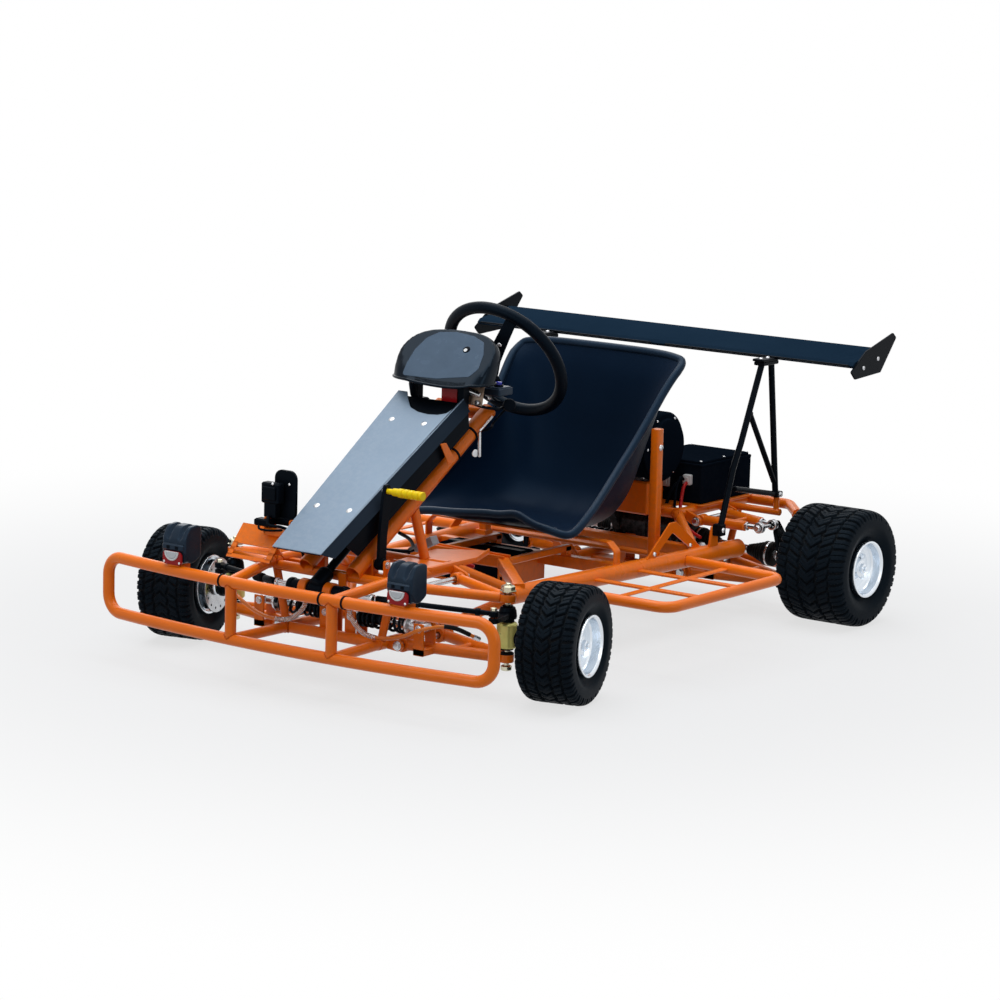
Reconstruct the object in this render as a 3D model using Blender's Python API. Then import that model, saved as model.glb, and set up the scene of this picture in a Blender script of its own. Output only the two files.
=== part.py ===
"""Electric go-kart: tubular frame, four coil-over corners, bucket seat, rear wing.

Left is +X, the nose points to -Y and up is +Z, in metres. Distances along the
kart are measured back from the front axle. The whole model hangs on one empty,
which brings the middle of its length over the origin. It stands as photographed,
with the front wheels steered to the left.
"""
import math

import bmesh
import bpy
from mathutils import Matrix, Quaternion, Vector

# Wheels
WHEELBASE = 1.140
RIM_LIP_RADIUS = 0.068
RIM_SEAT_RADIUS = 0.0637
FRONT_TYRE_RADIUS = 0.129
FRONT_TYRE_WIDTH = 0.130
REAR_TYRE_RADIUS = 0.139
REAR_TYRE_WIDTH = 0.181
REAR_WHEEL_X = 0.5045
TOUCH_GAP = 0.0003
WHEEL_SIDES = 20
RIM_SIDES = 14
WELD = 0.00002

# Steering
STEER_ANGLE = math.radians(12.8)
KINGPIN_X = 0.380
KINGPIN_Y = -0.010
WHEEL_OFFSET = 0.1275
WHEEL_TRAIL = 0.010
STEER_ARM = 0.075
STEER_ARM_Z = 0.179
COLUMN_SLOPE = math.radians(32.5)
COLUMN_TUBE_X = 0.065
COLUMN_TUBE_RADIUS = 0.018
STEERING_WHEEL_RADIUS = 0.1475
STEERING_RIM_RADIUS = 0.0140
STEERING_WHEEL_TURN = math.radians(118.0)
STEERING_DISH = 0.080
STEERING_CENTRE = (0.0, 0.480, 0.641)
SHAFT_RADIUS = 0.0095
RACK_Y = -0.180
RACK_Z = 0.205
RACK_HALF = 0.080
TIE_ROD_SPAN = 0.2455

# Frame
RAIL_RADIUS = 0.021
RAIL_Z = 0.170
RAIL_FRONT = (0.240, 0.190)
RAIL_REAR = (0.305, 1.020)
TUBE_RADIUS = 0.013
THIN_TUBE_RADIUS = 0.009
BUMPER_TUBE_RADIUS = 0.013
BUMPER_Y = -0.3095
BUMPER_HALF = 0.532
BUMPER_SWEEP = 0.0465
BUMPER_TOP_Z = 0.2196
BUMPER_LOW_Z = 0.0947
BUMPER_POST_X = 0.139
BUMPER_CORNER = 0.042
STEP_TUBE_RADIUS = 0.0125
STEP_OUTER_X = 0.580
STEP_FRONT_Y = 0.315
STEP_REAR_Y = 0.770
UPPER_X = 0.165
UPPER_Z = 0.240
LOWER_X = 0.130
LOWER_Z = 0.096

# Suspension arms: pivots run along Y, one set ahead of the other
ARM_TUBE_RADIUS = 0.0125
LOWER_PIVOT_X = 0.165
LOWER_PIVOT_Z = 0.095
LOWER_BALL_Z = 0.085
UPPER_PIVOT_X = 0.205
UPPER_PIVOT_Z = 0.225
UPPER_BALL_Z = 0.215
PIVOT_PIN = 0.0065
PIVOT_BORE = 0.0085
SLEEVE_RADIUS = 0.0165
KINGPIN_RADIUS = 0.0055
BALL_BORE = 0.0088
BALL_RING = 0.0160
ROD_END_BORE = 0.0092
FRONT_SLEEVES = ((-0.098, -0.072), (0.030, 0.056))
REAR_SLEEVES = ((1.000, 1.026), (1.196, 1.222))
CARRIER_X = 0.372
CARRIER_Y = (1.095, 1.185)
CARRIER_PIN_Z = 0.080
CARRIER_TOP_Y = (1.003, 1.061)
CARRIER_TOP_Z = 0.228

# Coil-overs lie across the kart, from a bracket near its middle to the lower arm
SHOCK_INNER_X = 0.035
SHOCK_OUTER_X = 0.222
SHOCK_Z = 0.140
FRONT_SHOCK_Y = -0.092
REAR_SHOCK_Y = 1.045
SHOCK_EYE = 0.0105
SHOCK_EYE_BORE = 0.0065
SHOCK_PIN = 0.004
SHOCK_CAN_RADIUS = 0.0125
SHOCK_CAN_END = 0.128
SPRING_FLANGE = 0.0225
SPRING_RADIUS = 0.0185
SPRING_WIRE = 0.0032
SPRING_CURLS = 5
SPRING_POINTS = 8
SPRING_SEATS = (0.062, 0.178)

# Seat and bodywork
SEAT_WALL = 0.006
SEAT_HALF_WIDTH = 0.205
PANEL_THICKNESS = 0.0025
PANEL_SLOPE = math.atan2(0.5356 - 0.3751, 0.1226 + 0.135)
PANEL_RIVET = (0.0, -0.135, 0.3751)
PANEL_RIVET_X = 0.0448
WING_HALF = 0.545
WING_PLATE_THICKNESS = 0.004
WING_TIP_Y = 1.298
STAY_X = 0.320
STAY_RADIUS = 0.0075
LAMP_X = 0.310
START_BUTTON = (0.098, 0.322, 0.6060)
SEAT_BAR_Y = 0.560
SEAT_BAR_TOP = 0.2415

# Drive
TRAY_TOP = 0.2545
CHAIN_X = -0.085
MOTOR_CENTRE = (0.060, 0.952, 0.400)
GEARBOX_Z = 0.150
DRIVE_INNER_X = 0.1085

BUMPER_FRONT_Y = BUMPER_Y - BUMPER_TUBE_RADIUS
MIDDLE_Y = (BUMPER_FRONT_Y + WING_TIP_Y) / 2

COLOURS = {
    "orange": ((0.83, 0.20, 0.025), 0.38, 0.0),
    "black": ((0.012, 0.013, 0.016), 0.50, 0.0),
    "seat_plastic": ((0.020, 0.032, 0.055), 0.55, 0.0),
    "sheet": ((0.090, 0.120, 0.160), 0.40, 0.3),
    "rubber": ((0.018, 0.019, 0.022), 0.80, 0.0),
    "alloy": ((0.80, 0.82, 0.85), 0.28, 1.0),
    "zinc": ((0.78, 0.66, 0.30), 0.35, 1.0),
    "steel": ((0.62, 0.62, 0.63), 0.32, 1.0),
    "red": ((0.55, 0.02, 0.02), 0.40, 0.4),
    "yellow": ((0.95, 0.72, 0.02), 0.45, 0.0),
    "blue": ((0.04, 0.10, 0.75), 0.35, 0.0),
    "hose": ((0.80, 0.30, 0.06), 0.45, 0.0),
}


def clear_scene():
    for obj in list(bpy.data.objects):
        bpy.data.objects.remove(obj, do_unlink=True)


def material(name):
    """The named finish as one Principled material, made once."""
    found = bpy.data.materials.get(name)
    if found:
        return found
    colour, roughness, metallic = COLOURS[name]
    made = bpy.data.materials.new(name)
    made.use_nodes = True
    shader = made.node_tree.nodes["Principled BSDF"]
    shader.inputs["Base Color"].default_value = (*colour, 1.0)
    shader.inputs["Roughness"].default_value = roughness
    shader.inputs["Metallic"].default_value = metallic
    return made


# Solids: each function gives the corners and faces of one closed shape

def ring_frame(direction):
    """Two unit vectors square to a direction; the first stays as level as it can."""
    along = Vector(direction).normalized()
    up = Vector((0.0, 0.0, 1.0)) if abs(along.z) < 0.95 else Vector((0.0, 1.0, 0.0))
    across = along.cross(up).normalized()
    return across, across.cross(along)


def tube(points, radius, sides=8, end_radius=None):
    """A round bar along a route, mitred at its corners and flat at its ends."""
    route = [Vector(p) for p in points]
    count = len(route)
    across, rise = ring_frame(route[1] - route[0])
    verts = []
    for i, point in enumerate(route):
        before = (point - route[max(i - 1, 0)]) if i else (route[1] - point)
        after = (route[i + 1] - point) if i < count - 1 else before
        before.normalize()
        after = after.normalized()
        mitre = (before + after).normalized()
        size = radius
        if end_radius is not None:
            size = radius + (end_radius - radius) * i / (count - 1)
        for k in range(sides):
            angle = 2 * math.pi * (k + 0.5) / sides
            offset = (across * math.cos(angle) + rise * math.sin(angle)) * size
            slide = -offset.dot(mitre) / before.dot(mitre)
            verts.append(point + offset + before * slide)
        if i < count - 1:
            turn = before.rotation_difference(after)
            across = turn @ across
            rise = turn @ rise
    faces = [tuple(range(sides - 1, -1, -1))]
    for i in range(count - 1):
        for k in range(sides):
            a = i * sides + k
            b = i * sides + (k + 1) % sides
            faces.append((a, b, b + sides, a + sides))
    faces.append(tuple((count - 1) * sides + k for k in range(sides)))
    return verts, faces


def rounded(points, radius, steps=2):
    """The route with each of its inner corners drawn as an arc."""
    route = [Vector(p) for p in points]
    out = [route[0]]
    for before, corner, after in zip(route, route[1:], route[2:]):
        a = (before - corner).normalized()
        b = (after - corner).normalized()
        half = a.angle(b) / 2
        reach = radius / math.tan(half)
        centre = corner + (a + b).normalized() * (radius / math.sin(half))
        start = corner + a * reach - centre
        end = corner + b * reach - centre
        sweep = start.rotation_difference(end)
        for i in range(steps + 1):
            out.append(centre + Quaternion().slerp(sweep, i / steps) @ start)
    out.append(route[-1])
    return out


def ring_tube(points, radius, sides=8):
    """A round bar bent into a closed loop that lies close to a plane across X."""
    route = [Vector(p) for p in points]
    count = len(route)
    verts = []
    for i, point in enumerate(route):
        before = (point - route[i - 1]).normalized()
        after = (route[(i + 1) % count] - point).normalized()
        mitre = (before + after).normalized()
        inward = Vector((0.0, 1.0, 0.0))
        rise = mitre.cross(inward).normalized()
        stretch = 1 / mitre.dot(before)
        for k in range(sides):
            angle = 2 * math.pi * (k + 0.5) / sides
            across = rise * math.cos(angle) * stretch + rise.cross(mitre) * math.sin(angle)
            verts.append(point + across * radius)
    faces = []
    for i in range(count):
        j = (i + 1) % count
        for k in range(sides):
            m = (k + 1) % sides
            faces.append((i * sides + k, i * sides + m, j * sides + m, j * sides + k))
    return verts, faces


def box(low, high):
    """A block between two opposite corners."""
    (x0, y0, z0), (x1, y1, z1) = low, high
    corners = [(x, y, z) for x in (x0, x1) for y in (y0, y1) for z in (z0, z1)]
    faces = [(0, 1, 3, 2), (4, 6, 7, 5), (0, 4, 5, 1), (2, 3, 7, 6), (0, 2, 6, 4), (1, 5, 7, 3)]
    return [Vector(c) for c in corners], faces


def prism(outline, axis, low, high):
    """A flat outline drawn in the two other directions, thickened along an axis."""
    def lift(point, level):
        if axis == "x":
            return Vector((level, point[0], point[1]))
        if axis == "y":
            return Vector((point[0], level, point[1]))
        return Vector((point[0], point[1], level))

    count = len(outline)
    verts = [lift(p, low) for p in outline] + [lift(p, high) for p in outline]
    faces = [tuple(range(count - 1, -1, -1)), tuple(range(count, 2 * count))]
    for i in range(count):
        j = (i + 1) % count
        faces.append((i, j, j + count, i + count))
    return verts, faces


def turned(profile, centre, axis, sides=WHEEL_SIDES, flat_down=False):
    """A closed outline of (radius, distance along the axis) spun round that axis.

    With flat_down a flat of the polygon faces the ground and the radii are those
    of its flats, so a tyre stands on a face and not on a corner.
    """
    along = Vector(axis).normalized()
    across, rise = ring_frame(along)
    shift = 0.5 if flat_down else 0.0
    grow = 1 / math.cos(math.pi / sides) if flat_down else 1.0
    verts = []
    for k in range(sides):
        angle = 2 * math.pi * (k + shift) / sides - math.pi / 2
        out = across * math.cos(angle) + rise * math.sin(angle)
        for radius, distance in profile:
            verts.append(Vector(centre) + out * (radius * grow) + along * distance)
    count = len(profile)
    faces = []
    for k in range(sides):
        nxt = (k + 1) % sides
        for i in range(count):
            j = (i + 1) % count
            faces.append((k * count + i, k * count + j, nxt * count + j, nxt * count + i))
    return verts, faces


def lathe(centre, axis, rings, sides=8):
    """A solid round piece along an axis: rings of (distance, radius), flat at both ends."""
    along = Vector(axis).normalized()
    across, rise = ring_frame(along)
    verts = []
    for distance, radius in rings:
        for k in range(sides):
            angle = 2 * math.pi * (k + 0.5) / sides
            verts.append(Vector(centre) + along * distance
                         + (across * math.cos(angle) + rise * math.sin(angle)) * radius)
    count = len(rings)
    faces = [tuple(range(sides - 1, -1, -1))]
    for i in range(count - 1):
        for k in range(sides):
            a = i * sides + k
            b = i * sides + (k + 1) % sides
            faces.append((a, b, b + sides, a + sides))
    faces.append(tuple((count - 1) * sides + k for k in range(sides)))
    return verts, faces


def disc(centre, axis, radius, low, high, sides=12):
    """A plain round block along an axis, between two distances from its centre."""
    along = Vector(axis).normalized()
    return tube([Vector(centre) + along * low, Vector(centre) + along * high], radius, sides)


def moved(solid, matrix):
    verts, faces = solid
    return [matrix @ Vector(v) for v in verts], faces


def mirror_if(solid, side):
    """The same solid on the other side of the kart when side is -1."""
    if side > 0:
        return solid
    verts, faces = solid
    return [Vector((-v.x, v.y, v.z)) for v in verts], faces


def to_mesh(solid):
    verts, faces = solid
    mesh = bpy.data.meshes.new("solid")
    mesh.from_pydata([tuple(v) for v in verts], [], faces)
    work = bmesh.new()
    work.from_mesh(mesh)
    bmesh.ops.recalc_face_normals(work, faces=work.faces)
    work.to_mesh(mesh)
    work.free()
    return mesh


def fuse(adds, cuts=()):
    """One closed mesh: the first solids joined together, the cuts taken away."""
    base = bpy.data.objects.new("base", to_mesh(adds[0]))
    bpy.context.scene.collection.objects.link(base)
    helpers = [base]
    for operation, solids in (("UNION", adds[1:]), ("DIFFERENCE", cuts)):
        for solid in solids:
            tool = bpy.data.objects.new("tool", to_mesh(solid))
            bpy.context.scene.collection.objects.link(tool)
            helpers.append(tool)
            step = base.modifiers.new("step", "BOOLEAN")
            step.operation = operation
            step.solver = "EXACT"
            step.object = tool
    bpy.context.view_layer.update()
    ready = base.evaluated_get(bpy.context.evaluated_depsgraph_get())
    mesh = bpy.data.meshes.new_from_object(ready)
    for helper in helpers:
        bpy.data.objects.remove(helper, do_unlink=True)
    work = bmesh.new()
    work.from_mesh(mesh)
    bmesh.ops.remove_doubles(work, verts=work.verts, dist=WELD)
    bmesh.ops.dissolve_limit(work, angle_limit=0.002, verts=work.verts, edges=work.edges)
    work.to_mesh(mesh)
    work.free()
    return mesh


def node(name, mesh, finish, parent, pivot=(0.0, 0.0, 0.0)):
    """A named sub-part with its origin on its pivot."""
    obj = bpy.data.objects.new(name, mesh)
    bpy.context.scene.collection.objects.link(obj)
    mesh.transform(Matrix.Translation(-Vector(pivot)))
    mesh.materials.clear()
    mesh.materials.append(material(finish))
    mesh.shade_smooth()
    mesh.set_sharp_from_angle(angle=math.radians(35))
    obj.location = pivot
    obj.parent = parent
    return obj


def empty(name, location, parent=None, turn=0.0):
    obj = bpy.data.objects.new(name, None)
    bpy.context.scene.collection.objects.link(obj)
    obj.location = location
    obj.rotation_euler = (0.0, 0.0, turn)
    obj.parent = parent
    return obj


def side_name(side):
    return "left" if side > 0 else "right"


def rail_x(y):
    """How far out the middle of a main rail is at a distance from the front axle."""
    share = (y - RAIL_FRONT[1]) / (RAIL_REAR[1] - RAIL_FRONT[1])
    return RAIL_FRONT[0] + (RAIL_REAR[0] - RAIL_FRONT[0]) * share


def column_point(distance):
    """A point on the steering axis, measured down from the steering wheel."""
    x, y, z = STEERING_CENTRE
    return Vector((x, y - distance * math.cos(COLUMN_SLOPE), z - distance * math.sin(COLUMN_SLOPE)))


COLUMN_AXIS = (0.0, math.cos(COLUMN_SLOPE), math.sin(COLUMN_SLOPE))


# Frame

def shock_brackets(y):
    """Two upright plates across the kart and the bolts for the inner ends of both coil-overs."""
    fork = [(-0.0225, 0.086), (0.0225, 0.086), (0.0225, 0.153), (0.0185, 0.153), (0.0185, 0.0925), (-0.0185, 0.0925),
            (-0.0185, 0.153), (-0.0225, 0.153)]
    solids = [prism([(y + a, z) for a, z in fork], "x", -0.049, 0.049)]
    for side in (1, -1):
        bolt = [(side * SHOCK_INNER_X, y - 0.0205, SHOCK_Z), (side * SHOCK_INNER_X, y + 0.0205, SHOCK_Z)]
        solids.append(tube(bolt, SHOCK_PIN, 6))
    solids.append(box((-LOWER_X - 0.002, y - 0.0230, 0.0855), (LOWER_X + 0.002, y + 0.0230, 0.0930)))
    return solids


def pivot_hardware(side, pin_x, pin_z, pin_ends, tube_x, tube_z):
    """A long pivot bolt and the two flat lugs that tie it to the frame tube beside it."""
    front, rear = pin_ends
    solids = [tube([(pin_x, front, pin_z), (pin_x, rear, pin_z)], PIVOT_PIN, 6)]
    lug = [(tube_x, tube_z - 0.010), (pin_x + 0.010, pin_z - 0.010), (pin_x + 0.010, pin_z + 0.010),
           (tube_x, tube_z + 0.010)]
    for y in (front, rear):
        solids.append(prism(lug, "y", y - 0.004, y + 0.004))
    return [mirror_if(s, side) for s in solids]


def bay_tubes(side, front, rear, strut_y):
    """The upper and lower long tubes that carry one axle's arms."""
    upper = [(UPPER_X, front, UPPER_Z), (UPPER_X, rear, UPPER_Z)]
    lower = [(LOWER_X, front, LOWER_Z), (LOWER_X, rear, LOWER_Z)]
    strut = [(UPPER_X, strut_y, UPPER_Z), (LOWER_X, strut_y, LOWER_Z)]
    solids = [tube(upper, TUBE_RADIUS, 6), tube(lower, TUBE_RADIUS, 6), tube(strut, THIN_TUBE_RADIUS, 6)]
    return [mirror_if(s, side) for s in solids]


def frame_mesh():
    front_bay = (-0.138, 0.085)
    rear_bay = (0.960, 1.262)
    cross_ys = (0.600, 0.905)
    solids = []
    for y in cross_ys:
        half = rail_x(y)
        solids.append(box((-half, y - 0.014, RAIL_Z - 0.014), (half, y + 0.014, RAIL_Z + 0.014)))
    for side in (1, -1):
        rail = [(RAIL_FRONT[0], RAIL_FRONT[1], RAIL_Z), (RAIL_REAR[0], RAIL_REAR[1], RAIL_Z)]
        solids.append(mirror_if(tube(rail, RAIL_RADIUS, 8), side))
        solids += side_step(side)
        solids += bay_tubes(side, *front_bay, -0.127)
        solids += bay_tubes(side, *rear_bay, 1.246)
        upper_tie = [(UPPER_X, front_bay[1] - 0.006, UPPER_Z), (RAIL_FRONT[0] + 0.002, RAIL_FRONT[1] + 0.03, RAIL_Z)]
        lower_tie = [(LOWER_X, front_bay[1] - 0.006, LOWER_Z), (RAIL_FRONT[0] + 0.002, RAIL_FRONT[1] + 0.06, RAIL_Z)]
        rear_tie = [(UPPER_X, rear_bay[0] + 0.006, UPPER_Z), (rail_x(0.86), 0.86, RAIL_Z)]
        low_tie = [(LOWER_X, rear_bay[0] + 0.006, LOWER_Z), (LOWER_X + 0.01, cross_ys[1], RAIL_Z)]
        for tie in (upper_tie, lower_tie, rear_tie, low_tie):
            solids.append(mirror_if(tube(tie, 0.0122, 6), side))
        solids += pivot_hardware(side, LOWER_PIVOT_X, LOWER_PIVOT_Z, (-0.109, 0.068), LOWER_X, LOWER_Z)
        solids += pivot_hardware(side, UPPER_PIVOT_X, UPPER_PIVOT_Z, (-0.116, 0.066), UPPER_X, UPPER_Z)
        solids += pivot_hardware(side, LOWER_PIVOT_X, LOWER_PIVOT_Z, (0.989, 1.233), LOWER_X, LOWER_Z)
        solids += pivot_hardware(side, UPPER_PIVOT_X, UPPER_PIVOT_Z, (0.988, 1.148), UPPER_X, UPPER_Z)
        solids += column_tubes(side)
        solids += seat_posts(side)
        solids += rear_outriggers(side)
    for y, z, half, radius in (
            (front_bay[0] + 0.012, LOWER_Z, LOWER_X, 0.0125), (front_bay[0] + 0.012, UPPER_Z - 0.010, UPPER_X, 0.0115),
            (front_bay[1] - 0.012, LOWER_Z, LOWER_X, 0.0125), (front_bay[1] - 0.012, UPPER_Z, UPPER_X, 0.0125),
            (rear_bay[0] + 0.010, UPPER_Z, UPPER_X, 0.0125),
            (rear_bay[1] - 0.012, UPPER_Z, UPPER_X, 0.0120)):
        solids.append(tube([(-half, y, z), (half, y, z)], radius, 6))
    solids += shock_brackets(FRONT_SHOCK_Y)
    solids += shock_brackets(REAR_SHOCK_Y)
    solids += front_tray()
    solids += seat_bars()
    solids += rear_loop()
    solids += battery_tray()
    solids += panel_rests()
    solids += brake_stand_solids()
    solids += throttle_stand_solids()
    cuts = [
        tube([column_point(0.735), column_point(0.060)], 0.0125, 10),
        box((CHAIN_X - 0.017, 0.985, 0.225), (CHAIN_X + 0.017, 1.200, 0.270))]
    return fuse(solids, cuts)


def side_step(side):
    """The nerf bar beside the seat: a bent tube outside the rail and flat bars across it."""
    rear = STEP_REAR_Y + 0.030
    loop = rounded([
        (rail_x(STEP_FRONT_Y), STEP_FRONT_Y, RAIL_Z),
        (STEP_OUTER_X - 0.005, STEP_FRONT_Y, RAIL_Z),
        (STEP_OUTER_X, STEP_REAR_Y, RAIL_Z),
        (rail_x(rear), rear, RAIL_Z)], 0.035)
    solids = [tube(loop, STEP_TUBE_RADIUS, 6)]
    for y in (0.465, 0.620):
        solids.append(box((rail_x(y), y - 0.009, RAIL_Z - 0.003), (STEP_OUTER_X - 0.003, y + 0.009, RAIL_Z + 0.003)))
    middle = (rail_x(0.55) + STEP_OUTER_X) / 2
    solids.append(box((middle - 0.009, STEP_FRONT_Y, RAIL_Z - 0.002), (middle + 0.009, STEP_REAR_Y + 0.014, RAIL_Z + 0.002)))
    return [mirror_if(s, side) for s in solids]


def panel_rests():
    """Two bent straps that carry the fairing above the column tubes."""
    place = panel_matrix()
    reach = -0.107
    strap = [(-0.066, reach), (-0.056, -TOUCH_GAP), (0.056, -TOUCH_GAP), (0.066, reach), (0.060, reach),
             (0.050, -0.0040), (-0.050, -0.0040), (-0.060, reach)]
    return [moved(prism(strap, "y", s - 0.010, s + 0.010), place) for s in (0.0, 0.303)]


def column_tubes(side):
    """The two parallel tubes that carry the steering, and what holds their lower ends."""
    across = COLUMN_TUBE_X
    low = column_point(0.7409)
    high = column_point(0.1745)
    tubes = [
        tube([(across, low.y, low.z), (across, high.y, high.z)], COLUMN_TUBE_RADIUS, 6),
        prism([(0.052, 0.226), (UPPER_X, 0.229), (UPPER_X, 0.241), (0.080, 0.241), (0.080, 0.285), (0.052, 0.285)],
              "y", -0.097, -0.083),
        tube([(across, 0.060, column_height(0.060) - 0.004), (across + 0.03, 0.073, UPPER_Z)], 0.011, 6)]
    return [mirror_if(t, side) for t in tubes]


def column_height(y):
    """Height of the middle of the column tubes at a distance from the front axle."""
    low = column_point(0.7409)
    return low.z + (y - low.y) * math.tan(COLUMN_SLOPE)


def front_tray():
    """The folded channel behind the front bay and the two foot plates."""
    solids = [
        box((-0.112, 0.340, 0.190), (0.112, 0.366, 0.212)),
        tube([(-COLUMN_TUBE_X, 0.322, 0.5400), (COLUMN_TUBE_X, 0.322, 0.5400)], 0.0150, 6)]
    for side in (1, -1):
        arm = [(0.100, 0.353, 0.200), (RAIL_FRONT[0] + 0.010, RAIL_FRONT[1] + 0.020, 0.182)]
        solids.append(mirror_if(tube(arm, 0.015, 4), side))
        solids.append(mirror_if(box((0.092, 0.352, 0.193), (0.108, 0.612, 0.208)), side))
        solids.append(mirror_if(box((0.091, 0.590, 0.175), (0.109, 0.610, 0.207)), side))
    left_plate = [(0.060, 0.000), (0.178, -0.030), (0.178, 0.150), (0.140, 0.250), (0.040, 0.180)]
    solids.append(prism(left_plate, "z", 0.246, 0.249))
    slope_plate = [(-0.148, 0.316), (-0.1465, 0.3135), (-0.2035, 0.2475), (-0.2055, 0.2500)]
    solids.append(prism(slope_plate, "x", -0.241, -0.118))
    solids.append(tube([(-0.165, -0.110, 0.240), (-0.168, -0.160, 0.3010)], 0.0080, 6))
    return solids


def seat_bars():
    """Flat bars under the seat: an arch at the front, a straight one at the back."""
    half = rail_x(SEAT_BAR_Y)
    low = RAIL_Z + 0.012
    top = SEAT_BAR_TOP
    arch = [(-half - 0.004, low), (-half + 0.020, top), (half - 0.020, top), (half + 0.004, low),
            (half - 0.003, low), (half - 0.024, top - 0.005), (-half + 0.024, top - 0.005), (-half + 0.003, low)]
    rear_half = rail_x(0.790)
    solids = [
        prism(arch, "y", SEAT_BAR_Y - 0.012, SEAT_BAR_Y + 0.012),
        box((-rear_half, 0.776, 0.1705), (rear_half, 0.804, 0.1785))]
    return solids


def seat_posts(side):
    """The channel post beside the seat, its foot on the rail and the gusset outside."""
    post_x = 0.243
    gusset = [(0.640, 0.175), (0.752, 0.262), (0.778, 0.262), (0.905, 0.175), (0.880, 0.168), (0.768, 0.236),
              (0.760, 0.236), (0.665, 0.168)]
    solids = [
        box((post_x - 0.011, 0.736, 0.172), (post_x + 0.011, 0.762, 0.478)),
        box((post_x - 0.012, 0.734, 0.166), (rail_x(0.749), 0.764, 0.180)),
        prism(gusset, "x", rail_x(0.77) - 0.004, rail_x(0.77))]
    return [mirror_if(s, side) for s in solids]


def rear_outriggers(side):
    """Feet for the wing stays: a plate on the rail and an arm out from the bay."""
    solids = [
        prism([(0.890, 0.176), (0.930, 0.176), (0.922, 0.236), (0.900, 0.236)], "x", 0.300, 0.306),
        tube([(UPPER_X, 1.158, UPPER_Z), (STAY_X + 0.012, 1.158, UPPER_Z)], 0.0085, 6),
        tube([(STAY_X, 1.158, UPPER_Z), (STAY_X, 1.158, 0.2762)], 0.0070, 6)]
    return [mirror_if(s, side) for s in solids]


def rear_loop():
    """The rear bumper loop round the drive unit, and the trays that the drive stands on."""
    half = 0.352
    corner_y = 1.2695
    ends = 1.205
    top = [(half, ends, 0.232), (0.290, corner_y, 0.240), (-0.290, corner_y, 0.240), (-half, ends, 0.232)]
    low = [(half, ends, 0.238), (half, ends, 0.110), (0.270, 1.250, LOWER_Z),
           (-0.270, 1.250, LOWER_Z), (-half, ends, 0.110), (-half, ends, 0.238)]
    solids = [tube(rounded(top, 0.040), STEP_TUBE_RADIUS, 6), tube(rounded(low, 0.030, 1), 0.0122, 6)]
    for side in (1, -1):
        solids.append(mirror_if(tube([(UPPER_X, 1.240, UPPER_Z), (UPPER_X, corner_y, 0.240)], 0.0118, 6), side))
    solids.append(box((-0.112, 1.030, TRAY_TOP - 0.006), (0.190, 1.264, TRAY_TOP)))
    solids.append(box((-0.100, 0.955, TRAY_TOP - 0.0065), (0.130, 1.035, TRAY_TOP - 0.0005)))
    solids.append(box((-0.134, 1.125, LOWER_Z - 0.007), (0.134, 1.155, LOWER_Z + 0.0092)))
    return solids


def battery_tray():
    """A trough under the seat for the battery and the saddle that the motor stands on."""
    trough = [(-0.211, 0.118), (0.031, 0.118), (0.031, 0.175), (0.027, 0.175), (0.027, 0.123), (-0.207, 0.123),
              (-0.207, 0.175), (-0.211, 0.175)]
    return [
        prism(trough, "y", 0.434, 0.614),
        box((-0.150, 0.588, 0.120), (-0.030, 0.612, 0.165)),
        box((0.000, 0.915, 0.235), (0.110, 0.985, 0.3155))]


def bumper_y(x):
    """How far forward the bumper is at a distance from the kart's middle."""
    return BUMPER_Y + BUMPER_SWEEP * (x / BUMPER_HALF) ** 2


def bumper_mesh():
    """Rounded loop of tube, two posts, and stays that end at the front bay."""
    xs = [0.27, 0.44, BUMPER_HALF]
    right = [-x for x in reversed(xs)]
    top = [(x, bumper_y(x), BUMPER_TOP_Z) for x in right + [0.0] + xs]
    low = [(x, bumper_y(x), BUMPER_LOW_Z) for x in reversed(right + [0.0] + xs)]
    left_bend = rounded([top[-2], top[-1], low[0], low[1]], BUMPER_CORNER)
    right_bend = rounded([low[-2], low[-1], top[0], top[1]], BUMPER_CORNER)
    loop = top[3:-2] + left_bend + low[2:-2] + right_bend + top[2:4]
    adds = [ring_tube(loop[:-1], BUMPER_TUBE_RADIUS, 6)]
    for side in (1, -1):
        post_y = bumper_y(BUMPER_POST_X)
        posts = [
            tube([(BUMPER_POST_X, post_y, BUMPER_LOW_Z), (BUMPER_POST_X, post_y, BUMPER_TOP_Z)], 0.0125, 6),
            tube([(BUMPER_POST_X + 0.003, post_y, BUMPER_TOP_Z), (UPPER_X, -0.1384, UPPER_Z)], 0.0118, 6),
            tube([(BUMPER_POST_X, post_y, BUMPER_LOW_Z), (LOWER_X, -0.1384, LOWER_Z)], 0.0118, 6),
            box((LAMP_X - 0.016, -0.300, 0.222), (LAMP_X + 0.016, -0.262, 0.2352))]
        adds += [mirror_if(p, side) for p in posts]
    return fuse(adds, [box((-0.3, -0.1384, 0.0), (0.3, 0.0, 0.4))])


# Wheels

def tyre_mesh(centre, radius, width):
    """A low tyre: flat tread, rounded shoulders, bulging walls, open bore."""
    half = width / 2
    bead = half * 0.80
    profile = [
        (RIM_SEAT_RADIUS + TOUCH_GAP, -bead), (radius * 0.70, -half), (radius * 0.93, -half * 0.97),
        (radius, -half * 0.76), (radius, half * 0.76), (radius * 0.93, half * 0.97), (radius * 0.70, half),
        (RIM_SEAT_RADIUS + TOUCH_GAP, bead)]
    return fuse([turned(profile, centre, (1, 0, 0), WHEEL_SIDES, True)])


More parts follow.
